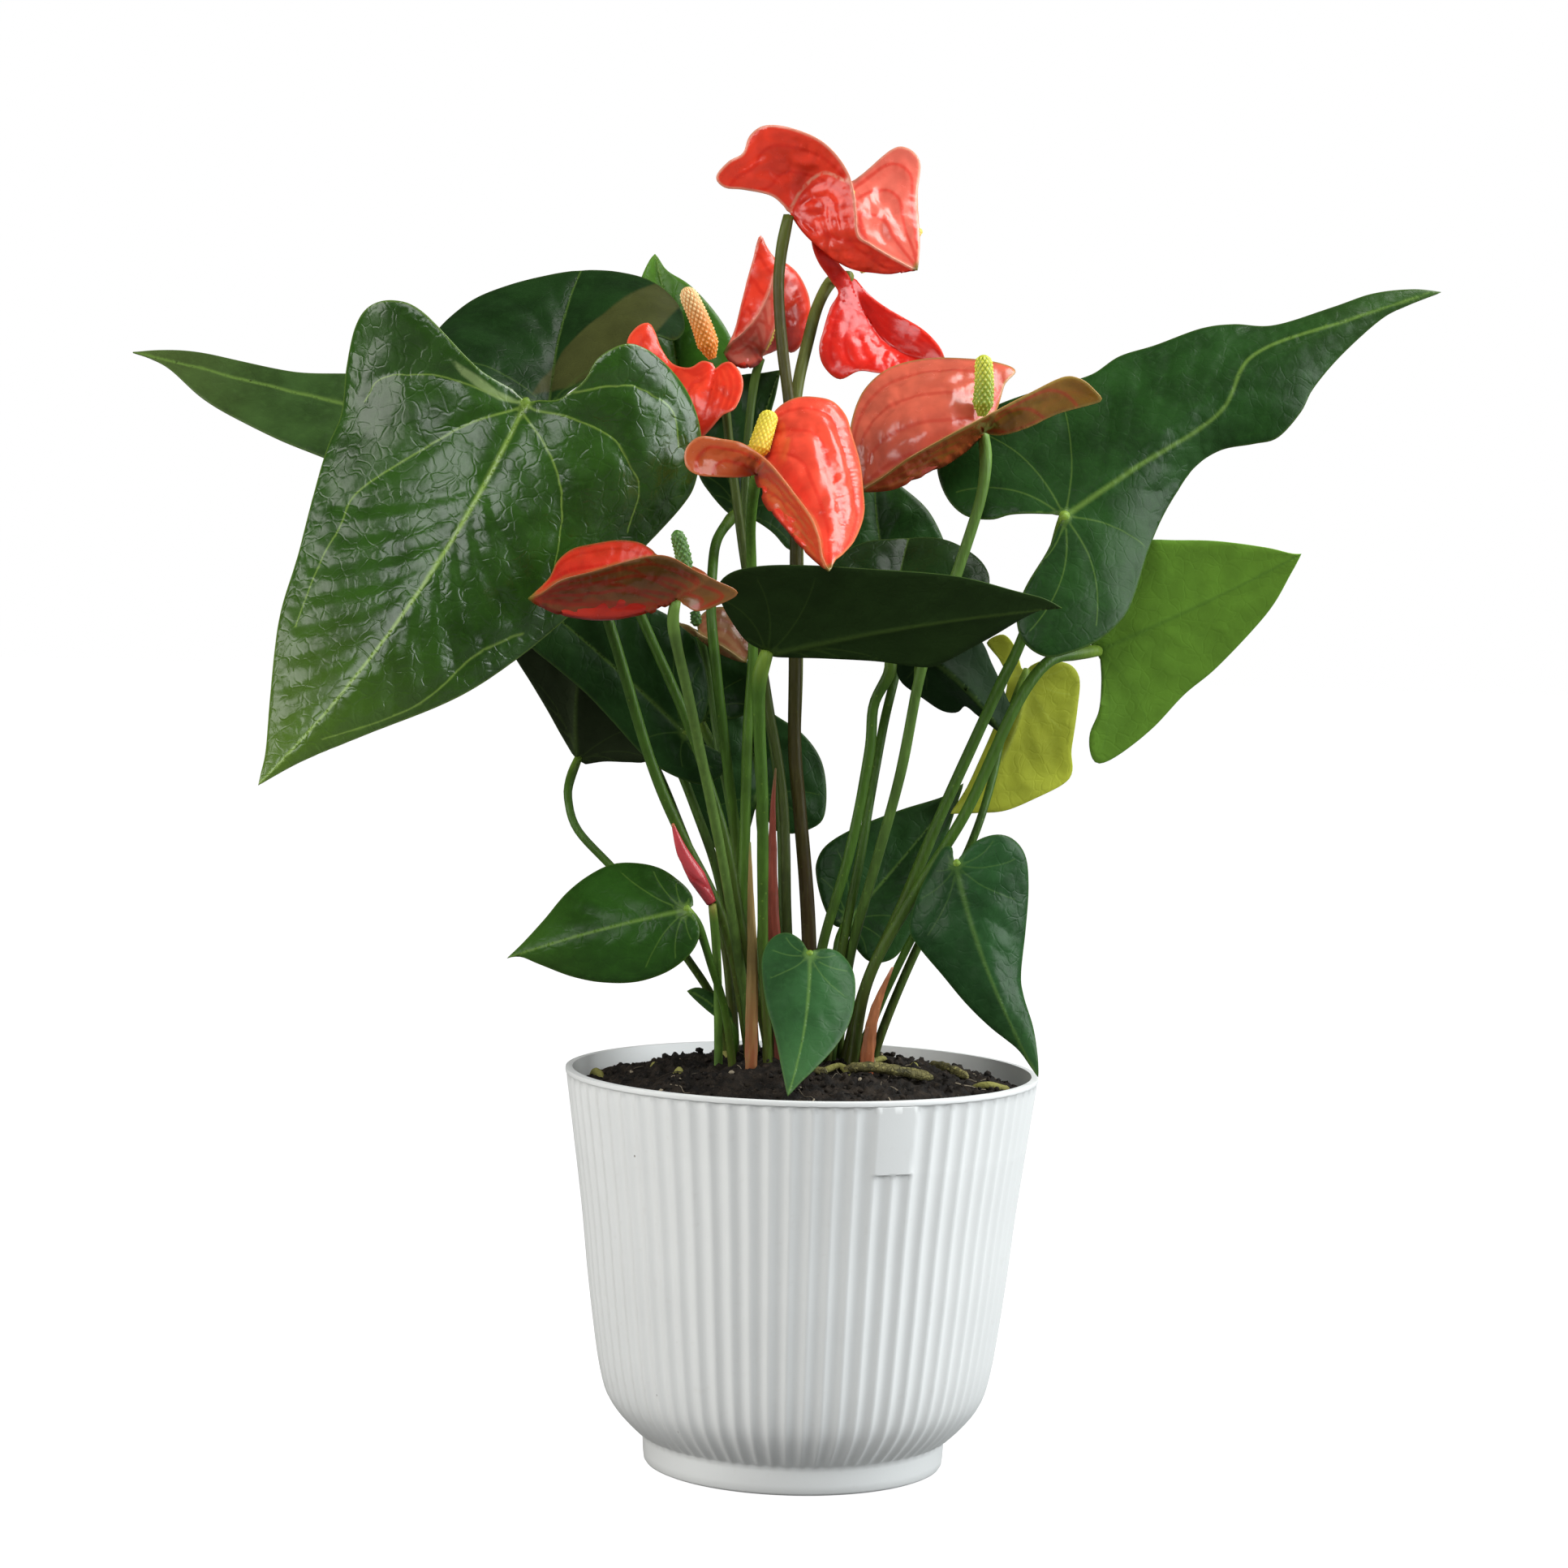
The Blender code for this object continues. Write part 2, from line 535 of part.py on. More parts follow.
BLOOMS = [
    dict(
        name="bloom_top",
        joint=(-10, 369, 30),
        tilt=(0.0, 0.0),
        tip=(28, 353, 0),
        rib=(7, 354, 0),
        left=[
            (-11.5, 371, -2), (-15.5, 374, -5), (-23.5, 375.5, -8), (-29, 376, -9),
            (-31.5, 379, -10), (-28, 383.5, -12), (-24, 386, -13), (-22, 391, -13),
            (-18, 394, -14), (-11.5, 394, -15), (-3.5, 391.5, -16), (2, 387.5, -17),
            (6.5, 381.5, -17), (8.5, 375.5, -17), (9.5, 369.5, -16), (10.5, 363, -14),
            (14, 360.5, -12), (20, 357, -7)],
        right=[
            (-9, 371.5, 2), (-6, 376.5, 8), (0, 381, 14), (7, 378.5, 18), (11, 380.5, 20),
            (16.5, 385.5, 21), (19.5, 388, 21), (22.5, 389, 20), (26, 387.5, 18),
            (28, 384, 16), (27.5, 376.5, 12), (28, 369.5, 8), (28.5, 361, 3)],
        stalk=[
            (-12, 357.5, 30), (-12.5, 346, 29), (-11, 329.5, 27), (-8.5, 312.5, 24),
            (-6, 289, 19), (-5.5, 267.5, 15), (-5, 236.5, 9), (-4.5, 212.5, 6),
            (-2.5, 193.5, 5), (0.5, 164.5, 3)],
        root=(3, 2),
        thick=(3.4, 4.6),
        puff=0.0,
        face=1,
        colour=(0.75, 0.1, 0.08),
        spadix_colour=(0.8, 0.6, 0.1),
        stalk_colour=(0.09, 0.14, 0.02),
        spadix=[(-7.5, 372, 30), (1, 374, 28.5), (9, 375.5, 27)],
        spadix_width=5.2,
    ),
    dict(
        name="bloom_hanging",
        joint=(8.5, 351, 42),
        tilt=(0.0, 0.0),
        tip=(37, 326.5, -4),
        rib=(19, 332.5, 5),
        left=[
            (6.5, 352.5, -4), (2, 358, -6), (-2.5, 362.5, -6), (-3, 360, -7), (-1, 355, -6),
            (3, 349.5, -3), (5.5, 346, -2), (3, 341.5, -3), (1, 334.5, -5), (0, 329.5, -6),
            (1.5, 324.5, -6), (6, 321, -6), (11.5, 323.5, -6), (17.5, 323, -6),
            (25, 322.5, -6)],
        right=[
            (10.5, 350, 3), (12.5, 347.5, 4), (15.5, 344.5, 4), (20, 341.5, 5), (24.5, 339, 5),
            (30.5, 335.5, 3), (35, 331, -1)],
        stalk=[
            (3, 349.5, 51), (-1, 342, 45), (-3.5, 332, 41), (-6, 320, 37), (-7, 308, 33),
            (-6, 289, 29), (-5, 267.5, 25), (-4.5, 236.5, 19), (-4.5, 212.5, 15),
            (-2.5, 193.5, 13), (0.5, 164.5, 12)],
        root=(3, 9),
        thick=(3.6, 3.8),
        puff=0.02,
        face=1,
        colour=(0.72, 0.03, 0.02),
        spadix_colour=(0.8, 0.6, 0.1),
        stalk_colour=(0.12, 0.14, 0.03),
        spadix=[(11.5, 352.5, 46), (20.5, 359, 52), (29, 365, 56)],
        spadix_width=4.4,
    ),
    dict(
        name="bloom_orange",
        joint=(-30.5, 323, 4),
        tilt=(0.0, 0.2),
        tip=(-37, 300.5, 0),
        rib=(-33, 311, -5),
        left=[
            (-31.5, 324.5, 0), (-34.5, 325, 0), (-38, 323, 0), (-43, 324, 2),
            (-46.5, 328.5, 3), (-48.5, 333.5, 4), (-50.5, 336, 4), (-54, 334.5, 3),
            (-56.5, 330, 2), (-54.5, 322.5, 0), (-49.5, 311.5, -1), (-43, 303.5, 0)],
        right=[
            (-28.5, 324.5, 0), (-26, 325, -1), (-23, 321.5, -4), (-22.5, 317, -6),
            (-24.5, 311.5, -8), (-28, 309.5, -7), (-31.5, 305.5, -4), (-34, 303, -2)],
        stalk=[
            (-27.5, 312.5, 9), (-25.5, 298, 11), (-22.5, 279, 11), (-20.5, 267, 10),
            (-17, 248, 8), (-12.5, 224.5, 6), (-7.5, 197, 2), (-5.5, 160.5, -2)],
        root=(-3, -3),
        thick=(2.8, 3.0),
        puff=0.04,
        face=1,
        colour=(0.8, 0.06, 0.03),
        spadix_colour=(0.85, 0.4, 0.08),
        stalk_colour=(0.07, 0.1, 0.02),
        spadix=[(-31.5, 326, 2), (-35, 336, 0), (-40, 346.5, -2)],
        spadix_width=6.0,
    ),
    dict(
        name="bloom_upright",
        joint=(-17, 327, 44),
        tilt=(0.0, 0.0),
        tip=(-28, 328, -6),
        rib=(-22.5, 324, -4),
        left=[
            (-15, 328, 6.5), (-11.5, 329.5, 10.5), (-8, 328.5, 12), (-5, 332, 11),
            (-3.5, 338.5, 12), (-4, 344.5, 12), (-6.5, 350, 12), (-10, 353.5, 12),
            (-14, 355.5, 10), (-16.5, 359, 9), (-18.5, 362, 8), (-20.5, 354, 6.5),
            (-23, 343, 4), (-25, 334.5, 0)],
        right=[
            (-16, 329, -6.5), (-14.5, 332.5, -10.5), (-13, 337.5, -12), (-13, 344, -11),
            (-14, 351, -11), (-15.5, 345.5, -12), (-18.5, 339, -12), (-23, 333.5, -11),
            (-26.5, 330.5, -9)],
        stalk=[
            (-19, 319.5, 46), (-20.5, 303, 44), (-21, 279, 38), (-20.5, 267, 33),
            (-17.5, 248, 27), (-13, 224.5, 22), (-8.5, 197, 18), (-6.5, 160.5, 16)],
        root=(-3, 15),
        thick=(2.6, 2.8),
        puff=0.03,
        face=1,
        colour=(0.8, 0.08, 0.05),
        spadix_colour=(0.8, 0.6, 0.1),
        stalk_colour=(0.07, 0.12, 0.02),
        spadix=[(-16, 329, 42), (-14.5, 337.5, 40), (-14.5, 345.5, 40)],
        spadix_width=3.6,
    ),
    dict(
        name="bloom_yellow",
        joint=(-17.5, 293, -36),
        tilt=(0.0, 0.0),
        tip=(4.5, 265, -40),
        rib=(-10, 278.5, -18),
        left=[
            (-19.5, 292, -3), (-23.5, 291.5, -7), (-29, 291.5, -9), (-35, 292, -9),
            (-38.5, 294.5, -8), (-38.5, 299.5, -8), (-34.5, 303, -9), (-28.5, 302.5, -10),
            (-22.5, 301.5, -12), (-18, 299, -16), (-13.5, 295.5, -20), (-6.5, 287.5, -26),
            (-1, 280.5, -33), (1.5, 274.5, -37), (2.5, 269, -40)],
        right=[
            (-16, 295, 4), (-15, 302, 9), (-14, 308.5, 10), (-11, 312.5, 13), (-6.5, 315, 14),
            (-1.5, 315.5, 14), (4, 314.5, 13), (8, 310.5, 12), (10, 304.5, 7),
            (12.5, 296.5, 1), (13.5, 289.5, -5), (14, 281.5, -12), (11.5, 274, -21),
            (8.5, 270, -30), (6, 268, -36)],
        stalk=[
            (-18.5, 286.5, -25), (-19, 277, -16), (-18.5, 265, -9), (-17.5, 240, -4),
            (-18.5, 217, -2), (-18.5, 188.5, 0), (-18, 157, 1)],
        root=(-8, 2),
        thick=(3.0, 3.2),
        puff=0.03,
        face=1,
        colour=(0.78, 0.08, 0.05),
        spadix_colour=(0.8, 0.62, 0.04),
        stalk_colour=(0.08, 0.17, 0.02),
        spadix=[(-18, 297, -35), (-16.5, 302.5, -34), (-14, 311, -31)],
        spadix_width=6.0,
    ),
    dict(
        name="bloom_wide",
        joint=(48.5, 307, -12),
        tilt=(0.0, 0.0),
        tip=(13, 289, -4),
        rib=(30.5, 293, -4),
        left=[
            (50.5, 306, -5), (54.5, 306, -9), (62, 308.5, -11), (70, 312.5, -11),
            (80, 315.5, -12), (83, 317, -13), (81, 319.5, -14), (77, 322.5, -15),
            (71.5, 323, -16), (61.5, 318, -19), (50, 311.5, -21), (38.5, 305, -20),
            (27, 298, -15), (19, 292.5, -9)],
        right=[
            (50.5, 309.5, 5), (52.5, 314, 10), (54.5, 320.5, 14), (57.5, 324.5, 18),
            (53, 326.5, 20), (44, 327.5, 22), (32, 327.5, 21), (21, 324.5, 18),
            (14, 318.5, 14), (10.5, 311, 9), (9.5, 302.5, 3), (12, 295, -1)],
        stalk=[
            (49.5, 297.5, -14), (48, 285.5, -14), (42, 265, -13), (37.5, 250.5, -13),
            (32, 235, -14), (27, 206, -8), (20.5, 179.5, -4), (13.5, 152, 0)],
        root=(8, 3),
        thick=(3.4, 3.0),
        puff=0.03,
        face=1,
        colour=(0.62, 0.14, 0.08),
        spadix_colour=(0.45, 0.55, 0.05),
        stalk_colour=(0.09, 0.17, 0.03),
        spadix=[(48, 311, -12.5), (48.5, 320, -13), (48, 329, -13)],
        spadix_width=6.8,
    ),
    dict(
        name="bloom_low",
        joint=(-40.5, 255.5, -70),
        tilt=(0.0, 0.0),
        tip=(-83.5, 255, -2),
        rib=(-63, 248.5, -2),
        left=[
            (-38.5, 254, -4), (-34.5, 252, -7), (-29, 253.5, -8), (-22.5, 257.5, -8),
            (-29, 261, -10), (-35.5, 264, -12), (-42, 267.5, -14), (-47.5, 268, -15),
            (-55, 266, -16), (-64.5, 263, -15), (-74, 260.5, -11), (-80, 256.5, -6)],
        right=[
            (-38.5, 257.5, 5), (-33.5, 259.5, 8), (-31.5, 262.5, 9), (-36.5, 265.5, 12),
            (-45.5, 268, 14), (-48, 270, 15), (-52, 272, 16), (-58, 272.5, 16),
            (-64.5, 271.5, 14), (-71, 269.5, 11), (-75.5, 265.5, 7), (-78, 260.5, 3)],
        stalk=[
            (-41, 246.5, -66), (-36, 226, -54), (-30.5, 202.5, -40), (-25, 178.5, -28),
            (-20, 152, -17)],
        root=(-14, -9),
        thick=(3.0, 2.8),
        puff=0.03,
        face=1,
        colour=(0.36, 0.06, 0.02),
        spadix_colour=(0.06, 0.16, 0.02),
        stalk_colour=(0.09, 0.16, 0.03),
        spadix=[(-38.5, 257, -70), (-38.5, 266.5, -70), (-41, 275.5, -70)],
        spadix_width=5.4,
    ),
    dict(
        name="bloom_hidden",
        joint=(-33.5, 245, 8),
        tilt=(0.0, 0.0),
        tip=(-19.5, 237, -2),
        rib=(-26.5, 240, -2),
        left=[
            (-35, 244.5, -2), (-37, 246, -4), (-39.5, 248, -5), (-36.5, 247.5, -6),
            (-32.5, 245, -7), (-26, 241.5, -6)],
        right=[
            (-34, 247.5, 2), (-32.5, 251, 5), (-28.5, 253, 7), (-23.5, 252.5, 7),
            (-20, 247.5, 6), (-18.5, 242, 3)],
        stalk=[
            (-32.5, 242, 19), (-30.5, 233.5, 23), (-27.5, 214.5, 18), (-23, 193, 16),
            (-19.5, 169, 16), (-17.5, 147.5, 16)],
        root=(-14, 18),
        thick=(2.2, 2.4),
        puff=0.03,
        face=1,
        colour=(0.4, 0.17, 0.08),
        spadix_colour=(0.05, 0.14, 0.02),
        stalk_colour=(0.08, 0.16, 0.03),
        spadix=[(-34.5, 247.5, 7.5), (-34.5, 249.5, 7), (-35, 252, 6.5)],
        spadix_width=3.8,
    ),
]

# Each root: its path as x, y and height over the soil's surface, and its width
ROOTS = [
    dict(name="root_tan", path=[(7, 34, 1.3), (12, 18, 1.8), (18, -3, 2), (21, -13, 0.8)], width=3.4),
    dict(name="root_olive_front", path=[(12, -24, -0.3), (20, -25, 1.0), (29, -24, 1.0), (38, -19, -0.1)], width=3.4),
    dict(name="root_olive_right", path=[(38, 7, -0.1), (43, 3, 1.1), (49, -4, 0.2)], width=2.8),
    dict(name="root_small", path=[(-3, -29, -0.3), (2, -27, 0.5), (7, -31, -0.1)], width=2.4),
]

# Each sheath or bud: its middle line as seen from the front, its half widths along it
SHEATHS = [
    dict(name="sheath_red", path=[(-10, 206, -8), (-10.5, 193, -8), (-10, 169, -8.5), (-8, 140, -9)],
         root=(-5.5, -9), widths=(0.3, 1.4, 2.0, 2.1, 2.0)),
    dict(name="sheath_tan", path=[(-17, 184, -17), (-16.5, 169, -17.5), (-15.5, 145, -18)],
         root=(-15, -19), widths=(0.3, 1.4, 2.0, 1.9)),
    dict(name="sheath_orange", path=[(26, 148, -12), (22, 138, -13), (20, 129, -14)],
         root=(18, -14.5), widths=(0.4, 1.6, 2.2, 2.2)),
]
BUD = dict(name="bud", path=[(-40, 189, -22), (-37, 181, -20.5), (-32.5, 173.5, -18), (-28, 166, -16)],
           widths=(0.4, 1.8, 2.6, 1.6))
BUD_STALK = dict(name="bud_stalk", path=[(-27.75, 165.3, -15.8), (-26.5, 155, -13.5), (-25.5, 140, -10)],
                 root=(-24.5, -6), width=2.6)


def seen(point):
    """The place in space of a point given as seen from the front, in mm."""
    across, height, depth = point
    flat = Vector((across, 0.0, height))
    return VIEW_POINT + (flat - VIEW_POINT) * ((depth - VIEW_POINT.y) / -VIEW_POINT.y)


def blade_place(blade, point):
    """The place of a blade's point, whose depth follows the blade's tilt from its joint."""
    across, height, extra = point
    joint = blade["joint"]
    tilt = blade["tilt"]
    depth = joint[2] + tilt[0] * (across - joint[0]) + tilt[1] * (height - joint[1]) + extra
    return seen((across, height, depth))


def smooth_line(points, count, growth=1.0):
    """A smooth curve through the points, cut into count steps that may grow longer along it."""
    fine = []
    last = len(points) - 1
    for i in range(last):
        before = points[max(i - 1, 0)]
        start = points[i]
        end = points[i + 1]
        after = points[min(i + 2, last)]
        for step in range(8):
            t = step / 8.0
            fine.append(0.5 * (2 * start + (end - before) * t
                               + (2 * before - 5 * start + 4 * end - after) * t ** 2
                               + (3 * start - before - 3 * end + after) * t ** 3))
    fine.append(points[-1].copy())
    lengths = [0.0]
    for a, b in zip(fine, fine[1:]):
        lengths.append(lengths[-1] + (b - a).length)
    line = []
    j = 0
    for i in range(count + 1):
        want = lengths[-1] * (i / count) ** growth
        while j < len(fine) - 2 and lengths[j + 1] < want:
            j += 1
        span = lengths[j + 1] - lengths[j]
        share = (want - lengths[j]) / span if span > 0 else 0.0
        line.append(fine[j].lerp(fine[j + 1], share))
    return line


def new_object(name, verts, faces):
    """A mesh object in metres from points in mm."""
    mesh = bpy.data.meshes.new(name)
    mesh.from_pydata([tuple(v * MM) for v in verts], [], faces)
    work = bmesh.new()
    work.from_mesh(mesh)
    bmesh.ops.recalc_face_normals(work, faces=work.faces)
    bmesh.ops.triangulate(work, faces=work.faces)
    work.to_mesh(mesh)
    work.free()
    obj = bpy.data.objects.new(name, mesh)
    bpy.context.scene.collection.objects.link(obj)
    return obj


def apply_modifiers(obj):
    """Replace the object's mesh by its mesh with the modifiers applied."""
    depsgraph = bpy.context.evaluated_depsgraph_get()
    mesh = bpy.data.meshes.new_from_object(obj.evaluated_get(depsgraph))
    obj.modifiers.clear()
    obj.data = mesh


def boolean_with(obj, others, operation):
    """Join the other objects to this one, or cut them from it, and remove them."""
    group = bpy.data.collections.new("operands")
    bpy.context.scene.collection.children.link(group)
    for other in others:
        group.objects.link(other)
    modifier = obj.modifiers.new("boolean", "BOOLEAN")
    modifier.operation = operation
    modifier.operand_type = "COLLECTION"
    modifier.collection = group
    modifier.solver = "EXACT"
    apply_modifiers(obj)
    for other in others:
        bpy.data.objects.remove(other)
    bpy.data.collections.remove(group)
    work = bmesh.new()
    work.from_mesh(obj.data)
    bmesh.ops.triangulate(work, faces=work.faces)
    bmesh.ops.remove_doubles(work, verts=work.verts, dist=0.00002)
    bmesh.ops.dissolve_degenerate(work, edges=work.edges, dist=0.00001)
    bmesh.ops.triangulate(work, faces=work.faces)
    work.to_mesh(obj.data)
    work.free()


def ring_frames(line):
    """Two cross directions at each point of a line, without twist."""
    frames = []
    side = None
    for i, here in enumerate(line):
        along = (line[min(i + 1, len(line) - 1)] - line[max(i - 1, 0)]).normalized()
        if side is None:
            side = along.orthogonal().normalized()
        side = (side - along * side.dot(along)).normalized()
        frames.append((side, along.cross(side)))
    return frames


def tube(name, line, radii, sides, flat=1.0, bump=0.0):
    """A closed round bar along a line. flat squeezes it front to back, bump raises every other corner."""
    verts = []
    faces = []
    frames = ring_frames(line)
    if flat != 1.0:
        frames = [(Vector((1, 0, 0)), Vector((0, 1, 0)))] * len(line)
    for i, (here, radius) in enumerate(zip(line, radii)):
        u, v = frames[i]
        for k in range(sides):
            angle = 2 * math.pi * k / sides
            raised = radius * (1 + bump * (1 if (i + k) % 2 else -1))
            verts.append(here + u * raised * math.cos(angle) + v * raised * flat * math.sin(angle))
    for i in range(len(line) - 1):
        for k in range(sides):
            a = i * sides + k
            b = i * sides + (k + 1) % sides
            faces.append((a, b, b + sides, a + sides))
    faces.append(tuple(reversed(range(sides))))
    faces.append(tuple(range(len(verts) - sides, len(verts))))
    return new_object(name, verts, faces)


def inside(polygon, x, y):
    """Whether a place lies inside a closed outline."""
    within = False
    for a, b in zip(polygon, polygon[1:] + polygon[:1]):
        if (a[1] > y) != (b[1] > y) and x < a[0] + (y - a[1]) * (b[0] - a[0]) / (b[1] - a[1]):
            within = not within
    return within


def blade_half(midrib, edge, shares, spacing, puff):
    """Points and triangles of one half of a blade, as seen from the front.

    The outline runs out along the edge to the tip and back along the midrib. Inner points lie on lines
    from the midrib to the edge, bowed by the puff.
    """
    outline = edge + midrib[-2:0:-1]
    points = [p.copy() for p in outline]
    last = len(edge) - 1
    for share in shares:
        for j in range(2, last):
            foot = midrib[round((len(midrib) - 1) * max(0.0, j / last - 0.3) / 0.7)]
            spot = foot.lerp(edge[j], share)
            if not inside(outline, spot.x, spot.y):
                continue
            if min((p.xy - spot.xy).length for p in points) < spacing:
                continue
            bow = puff * 4 * share * (1 - share) * (edge[j].xy - foot.xy).length
            points.append(spot + Vector((0, 0, bow)))
    loop = list(range(len(outline)))
    flat = [p.xy for p in points]
    result = geometry.delaunay_2d_cdt(flat, [], [loop], 1, 0.0001)
    source = [ids[0] if ids else 0 for ids in result[3]]
    triangles = [tuple(source[i] for i in face) for face in result[2]]
    area = sum(a.x * b.y - b.x * a.y for a, b in zip(outline, outline[1:] + outline[:1]))
    if area < 0:
        triangles = [(a, c, b) for a, b, c in triangles]
    return points, triangles


def blade_middle(blade, count, rib_count, shares, spacing):
    """Points, triangles and border of a blade's middle surface."""
    joint = Vector(blade["joint"][:2] + (0.0,))
    tip = Vector(blade["tip"])
    bow = Vector(blade["rib"]) - (joint + tip) / 2
    midrib = []
    for j in range(rib_count + 1):
        along = j / rib_count
        midrib.append(joint.lerp(tip, along) + bow * 4 * along * (1 - along))
    puff = -blade["puff"] * blade["face"]
    points = list(midrib)
    triangles = []
    borders = []
    for name in ("left", "right"):
        edge = [joint] + smooth_line([Vector(p) for p in blade[name]] + [tip], count)
        half, cells = blade_half(midrib, edge, shares, spacing, puff)
        size = len(edge)
        index = [0] + list(range(len(points), len(points) + size - 2)) + [rib_count]
        index += list(range(rib_count - 1, 0, -1))
        points += half[1:size - 1]
        inner = half[size + rib_count - 1:]
        index += list(range(len(points), len(points) + len(inner)))
        points += inner
        if name == "right":
            cells = [(a, c, b) for a, b, c in cells]
        triangles += [tuple(index[i] for i in cell) for cell in cells]
        borders.append(index[:size])
    border = borders[0] + borders[1][-2:0:-1]
    return [blade_place(blade, p) for p in points], triangles, border


def blade_solid(name, blade, count, rib_count, shares, spacing, thickness):
    """A thin closed blade round its middle surface."""
    points, triangles, border = blade_middle(blade, count, rib_count, shares, spacing)
    normals = [Vector() for _ in points]
    for a, b, c in triangles:
        turn = (points[b] - points[a]).cross(points[c] - points[a])
        for i in (a, b, c):
            normals[i] += turn
    offsets = [n.normalized() * thickness / 2 for n in normals]
    size = len(points)
    verts = [v + n for v, n in zip(points, offsets)] + [v - n for v, n in zip(points, offsets)]
    faces = list(triangles)
    faces += [(a + size, c + size, b + size) for a, b, c in triangles]
    for a, b in zip(border, border[1:] + border[:1]):
        faces.append((a, b, b + size))
        faces.append((a, b + size, a + size))
    return new_object(name, verts, faces)


def stalk_line(blade, end):
    """A stalk's middle line from its top end down to its foot in the soil."""
    points = [end] + [seen(p) for p in blade["stalk"]]
    root = Vector((blade["root"][0], blade["root"][1], STALK_FOOT))
    above = root.lerp(points[-1], 0.35)
    above.x = root.x + (above.x - root.x) * 0.6
    above.y = root.y + (above.y - root.y) * 0.6
    return smooth_line(points + [above, root], STALK_STEPS, 1.3)


def stalk_radii(thick, count):
    """Radii down a stalk, with the slight swelling under its joint."""
    radii = []
    for i in range(count):
        t = i / (count - 1)
        radius = (thick[0] + (thick[1] - thick[0]) * t) / 2
        if i == 1:
            radius *= 1.12
        radii.append(radius)
    return radii


def make_leaf(leaf):
    """One leaf: its blade and stalk as one body."""
    if leaf["fine"]:
        blade = blade_solid(leaf["name"], leaf, 13, 6, (0.35, 0.68), 5.0, BLADE_THICKNESS)
    else:
        blade = blade_solid(leaf["name"], leaf, 10, 4, (0.5,), 5.0, BLADE_THICKNESS)
    joint = blade_place(leaf, leaf["joint"][:2] + (0.0,))
    below = seen(leaf["stalk"][0])
    beyond = joint + (joint - below).normalized() * 1.2
    line = stalk_line(leaf, beyond)
    stalk = tube("stalk", line, stalk_radii(leaf["thick"], len(line)), STALK_SIDES)
    boolean_with(blade, [stalk], "UNION")
    return blade, line


def distance_between(first, second):
    """Least distance in mm between two objects, from the corners and edge middles of each."""
    least = math.inf
    for a, b in ((first, second), (second, first)):
        tree = BVHTree.FromPolygons([v.co for v in b.data.vertices], [f.vertices for f in b.data.polygons])
        corners = [v.co for v in a.data.vertices]
        middles = [(corners[e.vertices[0]] + corners[e.vertices[1]]) / 2 for e in a.data.edges]
        for place in corners + middles:
            least = min(least, tree.find_nearest(place)[3] / MM)
    return least


def slide_to(obj, other, direction):
    """Slide an object towards another until they are as close as separate pieces may be."""
    step = direction.normalized() * 0.05 * MM
    for _ in range(80):
        if distance_between(obj, other) < NODE_GAP:
            break
        for vertex in obj.data.vertices:
            vertex.co += step
    for vertex in obj.data.vertices:
        vertex.co -= step


def make_bloom(bloom):
    """One bloom: spathe, spadix and stalk, each its own body."""
    spathe = blade_solid(bloom["name"] + "_spathe", bloom, 13, 3, (), 3.0, SPATHE_THICKNESS)
    joint = blade_place(bloom, bloom["joint"][:2] + (0.0,))
    below = seen(bloom["stalk"][0])
    outwards = (below - joint).normalized()
    stalk = None
    for gap in range(30, 4, -1):
        trial_line = stalk_line(bloom, joint + outwards * gap * 0.1)
        radii = stalk_radii(bloom["thick"], len(trial_line))
        trial = tube(bloom["name"] + "_stalk", trial_line, radii, STALK_SIDES)
        if stalk and distance_between(trial, spathe) < NODE_GAP:
            bpy.data.objects.remove(trial)
            break
        if stalk:
            bpy.data.objects.remove(stalk)
        stalk = trial
        line = trial_line
    stalk.name = bloom["name"] + "_stalk"
    axis = smooth_line([seen(p) for p in bloom["spadix"]], 9)
    radii = []
    for i in range(len(axis)):
        t = i / (len(axis) - 1)
        swell = min(1.0, 0.35 + 3.2 * t) * (1 - 0.22 * t)
        if t > 0.85:
            swell *= math.sqrt(max(0.1, 1 - ((t - 0.85) / 0.16) ** 2))
        radii.append(bloom["spadix_width"] / 2 * swell)
    spadix = tube(bloom["name"] + "_spadix", axis, radii, 8, bump=0.07)
    slide_to(spadix, spathe, axis[0] - axis[2])
    return spathe, spadix, stalk, line


def wall_point(angle, radius, height):
    """A point of the pot's wall. The angle is in degrees to the right of the front."""
    turn = math.radians(angle)
    return Vector((radius * math.sin(turn), -radius * math.cos(turn), height))


